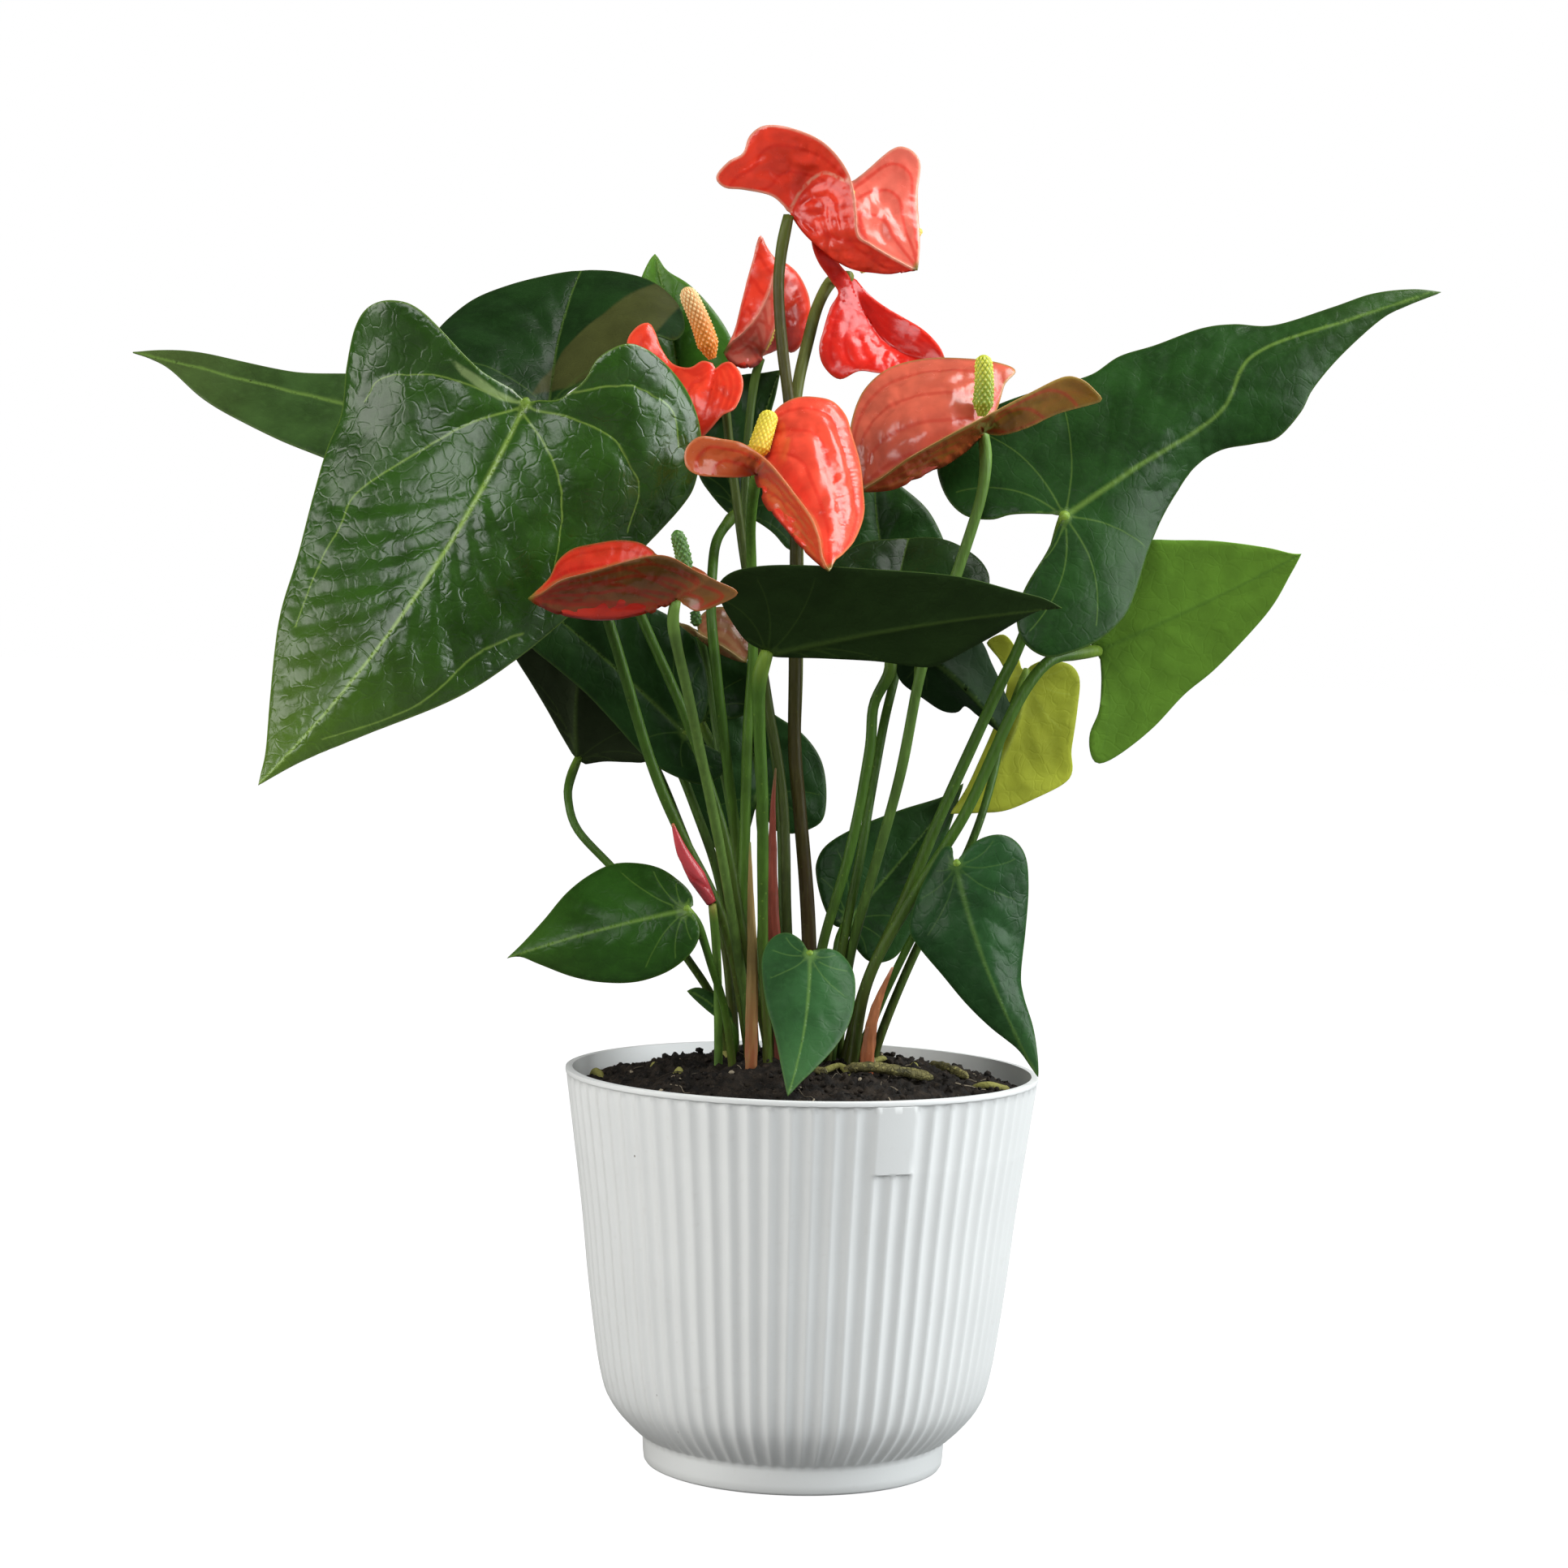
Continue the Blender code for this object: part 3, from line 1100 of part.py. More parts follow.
def make_pot():
    """The ribbed planter with its plain lip, plaque, foot ring and flat underside."""
    columns = 2 * RIB_COUNT
    pitch = 360.0 / columns
    low = PLAQUE_AZIMUTH[0] - pitch / 2
    high = PLAQUE_AZIMUTH[1] + pitch / 2
    rows = [(POT_HEIGHT, RIM_RADIUS, False), (WALL_PROFILE[0][0], WALL_PROFILE[0][1], False)]
    heights = [(WALL_PROFILE[0][0] - 0.6, WALL_PROFILE[0][1] - 0.1)]
    for above in (PLAQUE_LOW, PLAQUE_LOW - 0.5):
        share = (above - WALL_PROFILE[1][0]) / (WALL_PROFILE[0][0] - WALL_PROFILE[1][0])
        heights.append((above, WALL_PROFILE[1][1] + share * (WALL_PROFILE[0][1] - WALL_PROFILE[1][1])))
    heights += WALL_PROFILE[1:]
    rows += [(z, r, True) for z, r in heights]
    verts = []
    faces = []
    for z, radius, ribbed in rows:
        for j in range(columns):
            angle = j * pitch
            out = radius
            if ribbed:
                if low < angle < high and z >= PLAQUE_LOW:
                    out = radius + 0.15
                elif j % 2:
                    out = radius - RIB_DEPTH
            verts.append(wall_point(angle, out, z))
    for i in range(len(rows) - 1):
        for j in range(columns):
            a = i * columns + j
            b = i * columns + (j + 1) % columns
            faces.append((a, a + columns, b + columns))
            faces.append((a, b + columns, b))

    def ring(radius, height):
        start = len(verts)
        for j in range(RIB_COUNT):
            verts.append(wall_point(j * 2 * pitch, radius, height))
        return start

    def bridge(a, b):
        for j in range(RIB_COUNT):
            k = (j + 1) % RIB_COUNT
            faces.append((a + j, b + j, b + k, a + k))

    def bridge_from_double(first, single):
        for j in range(RIB_COUNT):
            k = (j + 1) % RIB_COUNT
            left, middle, right = first + 2 * j, first + 2 * j + 1, first + (2 * j + 2) % columns
            faces.append((left, single + j, middle))
            faces.append((middle, single + j, single + k))
            faces.append((middle, single + k, right))

    inner = ring(INNER_PROFILE[0][1], INNER_PROFILE[0][0])
    bridge_from_double(0, inner)
    for z, radius in INNER_PROFILE[1:]:
        lower = ring(radius, z)
        bridge(inner, lower)
        inner = lower
    floor = len(verts)
    verts.append(Vector((0, 0, INNER_PROFILE[-1][0])))
    last_rib = (len(rows) - 1) * columns
    foot_top = ring(FOOT_RADIUS, FOOT_HEIGHT)
    bridge_from_double(last_rib, foot_top)
    foot_low = ring(FOOT_RADIUS - 0.4, 0.6)
    bridge(foot_top, foot_low)
    sole = ring(FOOT_RADIUS - 1.0, 0.0)
    bridge(foot_low, sole)
    under = len(verts)
    verts.append(Vector((0, 0, 0)))
    for j in range(RIB_COUNT):
        k = (j + 1) % RIB_COUNT
        faces.append((inner + j, inner + k, floor))
        faces.append((sole + j, sole + k, under))
    return new_object("pot", verts, faces)


def soil_height(x, y):
    """Height of the crumbly soil mound."""
    share = min(1.0, math.hypot(x, y) / 66.0)
    mound = SOIL_EDGE_HEIGHT + (SOIL_TOP_HEIGHT - SOIL_EDGE_HEIGHT) * (1 - share ** 2)
    crumbs = noise.noise(Vector((x, y, 3.0)) * 0.09) * 2.2 + noise.noise(Vector((x, y, 9.0)) * 0.23) * 1.1
    return mound + crumbs * (1 - share ** 6)


def make_soil(lines):
    """The soil that fills the pot, with a plain hole round each stalk."""
    around = 28
    radii = (12.0, 25.0, 38.0, 50.0, 60.0)
    verts = [Vector((0, 0, soil_height(0, 0)))]
    faces = []
    for ring_index, radius in enumerate(radii):
        for j in range(around):
            angle = 2 * math.pi * (j + 0.5 * (ring_index % 2)) / around
            x, y = radius * math.cos(angle), radius * math.sin(angle)
            verts.append(Vector((x, y, soil_height(x, y))))
    inner = [(z, r) for z, r in INNER_PROFILE if z < SOIL_EDGE_HEIGHT]
    above = INNER_PROFILE[0]
    share = (SOIL_EDGE_HEIGHT - inner[0][0]) / (above[0] - inner[0][0])
    side = [(SOIL_EDGE_HEIGHT, inner[0][1] + share * (above[1] - inner[0][1]))] + inner
    for z, radius in side:
        for j in range(around):
            angle = 2 * math.pi * j / around
            reach = radius - SOIL_GAP - 0.1
            verts.append(Vector((reach * math.cos(angle), reach * math.sin(angle), max(z, 3.0 + SOIL_GAP))))
    for j in range(around):
        faces.append((0, 1 + j, 1 + (j + 1) % around))
    for i in range(len(radii) + len(side) - 1):
        for j in range(around):
            a = 1 + i * around + j
            b = 1 + i * around + (j + 1) % around
            faces.append((a, a + around, b + around, b))
    faces.append(tuple(range(len(verts) - around, len(verts))))
    soil = new_object("soil", verts, faces)
    cutters = []
    for line, radius in lines:
        path = [line[-1] + (line[-1] - line[-2]).normalized() * (STALK_FOOT - ROOT_HOLE_BOTTOM)]
        for place in reversed(line):
            path.append(place)
            if place.z > SOIL_TOP_HEIGHT + 5.0:
                break
        wide = (radius + HOLE_CLEARANCE) / math.cos(math.pi / HOLE_SIDES)
        cutter = tube("cutter", path, [wide] * len(path), HOLE_SIDES)
        cutter.hide_render = True
        cutter.display_type = "WIRE"
        cutters.append(cutter)
    boolean_with(soil, cutters, "DIFFERENCE")
    return soil


def width_along(widths, count):
    """Half widths spread evenly over a line of count points."""
    radii = []
    for i in range(count):
        t = i / (count - 1) * (len(widths) - 1)
        j = min(int(t), len(widths) - 2)
        radii.append(widths[j] + (widths[j + 1] - widths[j]) * (t - j))
    return radii


def make_root(root):
    """An aerial root that lies on the soil."""
    half = root["width"] / 2
    points = []
    for x, y, lift in root["path"]:
        points.append(Vector((x, y, soil_height(x, y) + half + 0.5 + lift)))
    line = smooth_line(points, 8)
    radii = [half * (0.45 if i in (0, 8) else 1.0) for i in range(9)]
    return tube(root["name"], line, radii, 6)


def make_sheath(sheath):
    """A thin dry sheath that stands among the stalks."""
    points = [seen(p) for p in sheath["path"]]
    points.append(Vector((sheath["root"][0], sheath["root"][1], STALK_FOOT)))
    line = smooth_line(points, 7)
    radii = width_along(sheath["widths"], len(line))
    return tube(sheath["name"], line, radii, 6, flat=0.55), line, sheath["widths"][-1]


def make_bud():
    """The closed bloom bud and its stalk."""
    line = smooth_line([seen(p) for p in BUD["path"]], 7)
    bud = tube("bud", line, width_along(BUD["widths"], len(line)), 8)
    points = [seen(p) for p in BUD_STALK["path"]]
    points.append(Vector((BUD_STALK["root"][0], BUD_STALK["root"][1], STALK_FOOT)))
    stalk_path = smooth_line(points, 6)
    stalk = tube("bud_stalk", stalk_path, [BUD_STALK["width"] / 2] * 7, STALK_SIDES)
    return bud, stalk, stalk_path


def paint(obj, colour, roughness):
    """Give an object a plain material of its own."""
    material = bpy.data.materials.new(obj.name)
    material.use_nodes = True
    shader = material.node_tree.nodes["Principled BSDF"]
    shader.inputs["Base Color"].default_value = (*colour, 1.0)
    shader.inputs["Roughness"].default_value = roughness
    shader.inputs["Metallic"].default_value = 0.0
    obj.data.materials.clear()
    obj.data.materials.append(material)


def main():
    for obj in list(bpy.data.objects):
        bpy.data.objects.remove(obj)
    holes = []
    for leaf in LEAVES:
        obj, line = make_leaf(leaf)
        paint(obj, leaf["colour"], 0.35)
        holes.append((line, leaf["thick"][1] / 2))
    for bloom in BLOOMS:
        spathe, spadix, stalk, line = make_bloom(bloom)
        paint(spathe, bloom["colour"], 0.3)
        paint(spadix, bloom["spadix_colour"], 0.5)
        paint(stalk, bloom["stalk_colour"], 0.4)
        holes.append((line, bloom["thick"][1] / 2))
    for sheath in SHEATHS:
        obj, line, radius = make_sheath(sheath)
        paint(obj, (0.45, 0.16, 0.08), 0.6)
        holes.append((line, radius))
    bud, stalk, line = make_bud()
    paint(bud, (0.6, 0.08, 0.09), 0.35)
    paint(stalk, (0.10, 0.22, 0.04), 0.4)
    holes.append((line, BUD_STALK["width"] / 2))
    for root in ROOTS:
        paint(make_root(root), (0.22, 0.19, 0.07), 0.7)
    paint(make_pot(), (0.78, 0.79, 0.78), 0.5)
    paint(make_soil(holes), (0.03, 0.02, 0.012), 0.95)


main()
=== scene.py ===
"""A flowering pot plant with heart-shaped leaves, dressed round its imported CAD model.

Blades and spathes are drawn as they are seen from the front and then given their depth: a point is how
far across and how high it appears in the upright plane through the pot's axis, in mm, and how far it
lies behind that plane.
"""
import math
import random

import bmesh
import bpy
import numpy as np
from mathutils import Matrix, Vector, geometry, noise


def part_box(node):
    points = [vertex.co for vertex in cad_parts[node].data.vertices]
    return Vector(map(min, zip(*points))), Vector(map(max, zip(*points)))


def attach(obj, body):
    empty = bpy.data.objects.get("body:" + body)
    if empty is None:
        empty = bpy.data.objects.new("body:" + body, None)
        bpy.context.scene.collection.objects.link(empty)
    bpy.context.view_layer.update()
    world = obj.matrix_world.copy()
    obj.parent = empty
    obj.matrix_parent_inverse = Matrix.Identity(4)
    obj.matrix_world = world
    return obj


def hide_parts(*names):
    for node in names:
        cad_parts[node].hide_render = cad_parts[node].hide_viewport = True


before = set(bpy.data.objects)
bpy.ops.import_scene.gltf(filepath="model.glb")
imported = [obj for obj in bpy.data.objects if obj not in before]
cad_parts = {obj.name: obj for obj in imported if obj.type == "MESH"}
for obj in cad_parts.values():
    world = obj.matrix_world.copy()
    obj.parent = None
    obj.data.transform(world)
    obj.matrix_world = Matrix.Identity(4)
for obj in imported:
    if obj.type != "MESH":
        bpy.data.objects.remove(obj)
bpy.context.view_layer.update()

bl_info = {
    "name": "Potted anthurium",
    "version": (1, 0, 0),
    "blender": (4, 5, 0),
    "location": "View3D > Sidebar > Anthurium",
    "description": "Builds a potted anthurium with its blooms round a packed CAD model",
    "category": "Add Mesh",
}

MM = 0.001

# View of the photo
VIEW_POINT = Vector((-7.4, -1064.0, 254.5))  # mm
VIEW_PITCH = 2.85  # degrees downwards
VIEW_ROLL = 1.4  # degrees
VIEW_LENS = 82.86  # mm, on a 36 mm frame

# Pot, in mm: a wall, foot or inner place is its height and radius, and a lip place is its distance in
# from the rim, its drop below it and its share of the ribs' depth
RIM_RADIUS = (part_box("pot")[1].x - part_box("pot")[0].x) / 2 / MM
POT_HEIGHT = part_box("pot")[1].z / MM
WALL_PROFILE = [(115.6, 69.8), (96.0, 67.1), (75.0, 64.3), (56.0, 62.2), (38.0, 59.8), (28.0, 58.1),
                (20.3, 55.8), (14.3, 51.6), (9.4, 46.6)]
FOOT_PROFILE = [(8.9, 45.6), (8.4, 44.9), (7.0, 44.8), (3.0, 44.6), (0.9, 44.3), (0.3, 43.9), (0.0, 43.2)]
INNER_PROFILE = [(117.0, 67.9), (84.0, 62.6), (34.0, 56.4), (9.0, 42.4), (3.0, 41.8)]
LIP_HEIGHT = 1.5
LIP_PROFILE = [(2.05, 0.0, 0.0), (1.7, 0.0, 0.0), (0.35, 0.0, 0.0), (0.08, 0.1, 0.0), (0.0, 0.4, 0.0),
               (0.0, 1.1, 0.0), (0.06, 1.35, 0.0), (0.25, 1.5, 0.3), (0.35, 1.75, 1.0)]
WALL_FOOT = (46.6, 9.4)
RIB_END = 8.4
CENTRE_RADIUS = 20.0
PLAQUE_AZIMUTH = (17.0, 27.5)  # degrees to the right of the front
PLAQUE_LOW = 96.0
PLAQUE_RADIUS = 67.13
PLAQUE_WIDENING = 2.55
PLAQUE_RISE = 0.22

# Soil, in mm
SOIL_RADIUS = 66.4
SOIL_EDGE_HEIGHT = 111.0
SOIL_TOP_HEIGHT = 120.0
SOIL_DEPTH = 9.0

# Loose pieces on the soil, in mm
CRUMB_REACH = 63.0
CRUMB_SIZES = (0.35, 0.5, 0.7, 0.9, 1.3)
PALE_SHARE = 0.05
FIBRE_COUNT = 46
FIBRE_REACH = 56.0
FIBRE_STEP = 2.6

STALK_FOOT = 112.0

# Relief of the blades, in mm
SWELLING_RIM = 3.0  # from the margin to where swellings have their full height
SWELLING_VALLEY = 2.6  # half width of the low strip along a vein
MIDRIB_VALLEY = 1.3
FOLD_BLUR = 2.6
PLEAT_ROWS = 4.6  # rows of pleats between a spathe's midrib and its margin
PLEAT_LENGTH = 6.5
PLEAT_RIM = 4.0
KNOB_WIDTH = 2.0  # knob of a leaf where its stalk joins
BAND_WIDTH = 3.0  # margin that the finish may colour
TIP_LENGTH = 3.5


# Each leaf: its joint with the stalk, its tip, the middle of its main vein, its left and right edges from
# joint to tip and its stalk downwards, as places across, up and back. A place of the blade is given from
# the blade's tilted plane through its joint, and lies in that plane where it has no third number.
LEAVES = [
    dict(name="leaf_front_left", joint=(-86, 311.5, -45), tilt=(0.0, 0.3), tip=(-162.5, 197.5),
         rib=(-119, 251.5, -3),
         left=[(-90, 315.5, -2), (-97.5, 319.5, -6), (-103.5, 324.5, -10), (-117, 337.5, -14),
         (-125.5, 340.5, -14), (-132.5, 338.5, -10), (-136.5, 332, -2), (-138.5, 320, 6), (-140, 307, 10),
         (-144.5, 295, 10), (-151.5, 266.5, 9), (-157, 247, 8), (-159.5, 221, 5), (-160.5, 206.5, 2)],
         right=[(-82, 312.5, -2), (-76, 313, -4), (-69, 318.5, -8), (-64.5, 325.5, -10), (-56, 329.5, -9),
         (-47.5, 326, -2), (-39, 316.5, 8), (-34.5, 304, 14), (-35.5, 290.5, 18), (-39.5, 282.5, 20),
         (-49, 271.5, 20), (-58, 262.5, 19), (-72, 249.5, 16), (-86.5, 237, 13), (-105, 224.5, 9),
         (-131.5, 213, 4), (-150.5, 204.5, 1)],
         stalk=[(-75.5, 289.5, -34), (-60, 247.5, -27), (-47.5, 209, -20), (-38.5, 188, -16),
         (-27, 166.5, -10), (-21, 149.5, -6)],
         root=(-15, -1), thick=(3.0, 3.4), puff=0.05, colour=(0.02, 0.062, 0.006), show=0.9, quilt=0.85,
         gloss=0.5, wrinkle=0.055, light_tip=0.85, under=(0.22, 0.32, 0.11)),
    dict(name="leaf_far_left", joint=(-105.5, 303, 12), tilt=(0.1, 1.1), tip=(-201.5, 324),
         rib=(-153.5, 313),
         left=[(-102.5, 301), (-97, 296.5), (-98, 289.5), (-106.5, 285.5), (-120.5, 286), (-132.5, 289.5),
         (-146, 294.5), (-158, 299), (-168.5, 304), (-181, 311), (-190.5, 319), (-196.5, 322.5)],
         right=[(-101.5, 305), (-95.5, 308.5), (-94, 314), (-100, 317.5), (-112, 319), (-126, 319),
         (-138, 318.5), (-152.5, 318.5), (-169, 321.5), (-184.5, 324), (-194, 324.5)],
         stalk=[(-97, 289, 14), (-82, 265.5, 18), (-67, 242, 23), (-53.5, 218.5, 28), (-45, 204.5, 28),
         (-34.5, 180.5, 18), (-24.5, 157, 13)],
         root=(-20, 11), thick=(2.6, 3.0), puff=0.05, colour=(0.028, 0.06, 0.014), show=0.3, gloss=0.1,
         light_tip=0.3),
    dict(name="leaf_back_left", joint=(-79, 309.5, 8), tilt=(0.0, 1.2), tip=(-70.5, 350.5),
         rib=(-76.5, 331),
         left=[(-82, 308), (-87.5, 307, -4), (-97.5, 309.5, -10), (-105.5, 314.5, -16), (-110.5, 322, -14),
         (-113, 329, -8), (-111, 334, -2), (-102.5, 341), (-91, 346), (-79, 349)],
         right=[(-76, 312, -5), (-73, 315.5, -8), (-64, 322, -14), (-56, 328, -18), (-49, 332, -20),
         (-43, 331, -10), (-40, 334.5, -3), (-42, 341.5), (-50, 348), (-60, 350.5)],
         stalk=[(-73, 297, 4), (-62, 273.5, 0), (-50, 248.5, -4), (-37.5, 222, -6), (-31, 205, -6),
         (-24, 183.5, -6), (-18.5, 157, -5)],
         root=(-9, -4), thick=(3.0, 3.2), puff=0.04, colour=(0.009, 0.028, 0.006), show=0.2, gloss=0.05,
         light_tip=0.0, under=(0.055, 0.062, 0.016)),
    dict(name="leaf_back_pointed", joint=(-40, 311, 50), tilt=(0.0, 0.35), tip=(-49, 356),
         rib=(-43.5, 333, 3),
         left=[(-42, 309), (-46.5, 305, -3), (-52, 307, -5), (-55.5, 314, -5), (-56.5, 323.5, -3),
         (-56, 334), (-54.5, 342.5), (-52.5, 349.5), (-50.5, 354)],
         right=[(-38.5, 308.5), (-34, 307.5, -3), (-28, 311, -5), (-25.5, 318.5, -5), (-25, 326.5, -3),
         (-26.5, 332.5, -1), (-31.5, 340), (-38.5, 347), (-45, 351), (-47.5, 354)],
         stalk=[(-43.5, 297.5, 47), (-49, 278.5, 42), (-54.5, 254.5, 36), (-47.5, 226, 30),
         (-35, 197.5, 25), (-25, 169, 21)],
         root=(-20, 19), thick=(2.6, 3.0), puff=0.05, colour=(0.05, 0.16, 0.015), show=0.5, gloss=0.2,
         light_tip=0.2),
    dict(name="leaf_big_right", joint=(73, 282, -8), tilt=(0.1, 0.45), tip=(181.5, 350.5),
         rib=(126.5, 326.5, -3),
         left=[(69.5, 283), (63, 283), (57, 282.5, 1), (51.5, 281, 2), (44, 282, 4), (38.5, 287, 6),
         (35.5, 295, 8), (36.5, 302.5, 9), (42, 309, 9), (55, 315.5, 9), (69.5, 320.5, 9), (80, 324, 8),
         (88, 329.5, 9), (98.5, 333, 9), (111.5, 338, 9), (121, 339.5, 8), (133, 339.5, 6),
         (149.5, 345, 3), (161.5, 349.5, 1), (173, 351)],
         right=[(71, 278.5), (68.5, 272), (62.5, 261.5, 1), (60, 253.5, 2), (62, 245.5, 3), (69, 241, 4),
         (77.5, 243, 5), (85, 247, 6), (91.5, 253.5, 7), (94.5, 260.5, 8), (97.5, 271.5, 9),
         (101.5, 282, 10), (106, 290.5, 10), (111, 298, 10), (118.5, 303, 9), (128, 305, 8), (135, 307, 7),
         (141.5, 314.5, 5), (145, 321.5, 4), (152.5, 331, 3), (164, 342, 1), (172, 346.5)],
         stalk=[(71.5, 275.5, -1), (66.5, 260, 3), (60.5, 243, 4), (55, 231, 3), (39.5, 194.5, 0),
         (28, 165.5, -2), (19, 144.5, -2)],
         root=(12, -2), thick=(3.2, 3.6), puff=0.045, colour=(0.013, 0.046, 0.008), show=0.38, quilt=0.3,
         gloss=0.1, wrinkle=0.03, light_tip=0.35),
    dict(name="leaf_bright_right", joint=(83.5, 243, 14), tilt=(0.05, -0.35), tip=(143, 273),
         rib=(114, 257.5, 2),
         left=[(82.5, 244.5), (80.5, 248.5), (79, 255.5, 1), (81, 263.5, 2), (86, 271, 3),
         (95.5, 275.5, 4), (106.5, 276, 4), (118.5, 276, 3), (132.5, 274.5, 1), (140, 273)],
         right=[(85, 240.5), (85.5, 234, -1), (85, 225.5, -3), (82.5, 218.5, -4), (83, 212.5, -4),
         (85.5, 210, -4), (91.5, 213, -3), (101, 221, -1), (110, 231), (119.5, 239.5), (133.5, 255.5),
         (140, 267)],
         stalk=[(77.5, 242, 8), (69, 239, 0), (60, 225.5, -5), (46.5, 194.5, -7), (30.5, 167.5, -8),
         (19, 144.5, -10)],
         root=(14, -11), thick=(3.4, 3.4), puff=0.03, face=-1, colour=(0.17, 0.36, 0.035), show=0.8,
         vein=(0.11, 0.25, 0.03), quilt=0.3, gloss=0.1, light_tip=0.2),
    dict(name="leaf_yellow_right", joint=(63, 236, 27), tilt=(0.15, -0.2), tip=(42, 194),
         rib=(57, 211.5, -2),
         left=[(61.5, 237.5, 2), (60.5, 241, 5), (59, 244.5, 8), (56, 247, 12), (51.5, 245, 14),
         (53, 242.5, 11), (55.5, 239.5, 7), (57.5, 235, 2), (57.5, 230.5), (55.5, 223.5), (53.5, 218),
         (50, 209.5), (46.5, 201.5)],
         right=[(64.5, 238), (67.5, 239.5), (73, 239.5, 2), (77, 238, 4), (79, 234, 5), (78.5, 226.5, 5),
         (77.5, 218, 4), (77, 213, 4), (77.5, 207.5, 4), (75.5, 204, 4), (68.5, 200, 2), (58.5, 195.5),
         (50, 194.5)],
         stalk=[(60.5, 229, 24), (57, 219.5, 20), (54, 204.5, 14), (50, 190, 9), (44.5, 176.5, 8),
         (33, 153.5, 6)],
         root=(20, 2), thick=(2.4, 2.8), puff=0.04, face=-1, colour=(0.56, 0.62, 0.055), show=0.8,
         vein=(0.62, 0.72, 0.12), quilt=0.5, gloss=0.1, light_tip=0.0),
    dict(name="leaf_centre", joint=(-13.5, 239.5, -38), tilt=(-0.15, -1.0), tip=(73, 255.5),
         rib=(28.5, 249),
         left=[(-15, 241), (-19.5, 243.5), (-23.5, 248.5), (-27, 254.5), (-28, 259.5), (-24, 263.5),
         (-15, 265.5), (-1, 266), (16, 265.5), (35, 264.5), (47, 263), (59, 260), (67.5, 258)],
         right=[(-11.5, 239), (-4, 239), (4.5, 239), (19, 238.5), (33.5, 237), (39.5, 239), (46.5, 243),
         (53.5, 247), (61.5, 252), (67.5, 255)],
         stalk=[(-15.5, 231.5, -36), (-15, 217, -33), (-13.5, 193, -28), (-12.5, 155, -20)],
         root=(-10, -16), thick=(3.8, 2.8), puff=0.02, face=-1, colour=(0.016, 0.042, 0.008), show=0.25,
         under=(0.02, 0.045, 0.009), quilt=0.3, gloss=0.05, light_tip=0.2),
    dict(name="leaf_centre_back", joint=(22.5, 242, -10), tilt=(0.0, 1.05), tip=(27.5, 275, 2),
         rib=(24.5, 260, 2),
         left=[(21, 240.5), (16.5, 240.5), (10.5, 243), (6.5, 249), (3.5, 257), (4.5, 265.5), (8.5, 270),
         (15.5, 273.5), (23, 274.5)],
         right=[(24.5, 240.5), (28.5, 240), (35.5, 242.5), (44, 247.5), (49, 254.5), (51.5, 262.5),
         (49, 268.5), (42, 273), (35, 275)],
         stalk=[(23, 235.5, -11), (18.5, 225.5, -10), (17.5, 211, -10), (12.5, 182, -9), (5, 153, -8)],
         root=(1, -8), thick=(3.2, 3.0), puff=0.05, colour=(0.014, 0.042, 0.009), show=0.3, gloss=0.08),
    dict(name="leaf_upright_back", joint=(24.5, 248, 26), tilt=(0.1, 0.45), tip=(16.5, 296),
         rib=(19, 274, 2),
         left=[(22.5, 246.5), (17.5, 245.5), (12.5, 249), (9.5, 256), (8.5, 264.5), (9, 275),
         (10.5, 283.5), (13, 290)],
         right=[(26.5, 246), (32, 246), (38, 251), (40.5, 258), (40, 266.5), (37.5, 275), (32.5, 283.5),
         (24.5, 290), (20, 293)],
         stalk=[(25, 237.5, 26), (21.5, 219.5, 15), (18, 196.5, 6), (15.5, 179.5, 2), (11, 153, -2)],
         root=(7, -4), thick=(2.8, 2.8), puff=0.05, colour=(0.016, 0.055, 0.01), show=0.3, gloss=0.08),
    dict(name="leaf_left_under", joint=(-68.5, 207, 18), tilt=(0.3, -0.3), tip=(-64, 253, 4),
         rib=(-69, 230),
         left=[(-70, 209), (-74, 215.5), (-77.5, 221.5), (-82.5, 229.5), (-88, 238), (-90.5, 245),
         (-86.5, 252.5, 2), (-76, 255, 4)],
         right=[(-66, 206), (-60.5, 207), (-53.5, 207), (-48, 207.5), (-44.5, 213), (-43.5, 221.5),
         (-46, 232, 2), (-50.5, 242.5, 3), (-56.5, 251, 4)],
         stalk=[(-70.5, 201.5, 13), (-71, 195.5, 9), (-68, 186.5, 5), (-57.5, 175.5, 2), (-45, 162.5, 1),
         (-35, 149.5, 1), (-26.5, 136.5, 3)],
         root=(-21, 4), thick=(2.4, 2.6), puff=0.04, face=-1, colour=(0.028, 0.052, 0.022),
         under=(0.04, 0.058, 0.024), show=0.35, quilt=0.5, gloss=0.05),
    dict(name="leaf_left_middle", joint=(-37, 215.5, 8), tilt=(0.35, 0.15), tip=(-86.5, 257.5),
         rib=(-61, 237),
         left=[(-35.5, 214), (-30, 212), (-25, 209), (-25.5, 204.5), (-30.5, 201), (-36.5, 202),
         (-43.5, 205), (-49.5, 209.5), (-58.5, 219), (-67, 227.5), (-75.5, 234.5), (-83.5, 241),
         (-87.5, 249)],
         right=[(-35, 217), (-31.5, 220.5), (-30.5, 229), (-33, 239.5), (-39, 248), (-51, 254),
         (-64, 258.5), (-77, 260)],
         stalk=[(-32.5, 206, 12), (-26.5, 190.5, 12), (-21.5, 171.5, 12), (-18.5, 150, 12)],
         root=(-15, 12), thick=(2.4, 2.8), puff=0.04, colour=(0.014, 0.045, 0.009), show=0.25, quilt=0.6,
         gloss=0.08),
    dict(name="leaf_left_inner", joint=(-33, 220.5, 24), tilt=(0.0, 0.35), tip=(-45.5, 249.5),
         rib=(-40, 234.5),
         left=[(-35, 220), (-39, 221.5), (-44, 226), (-47.5, 233), (-48, 241.5)],
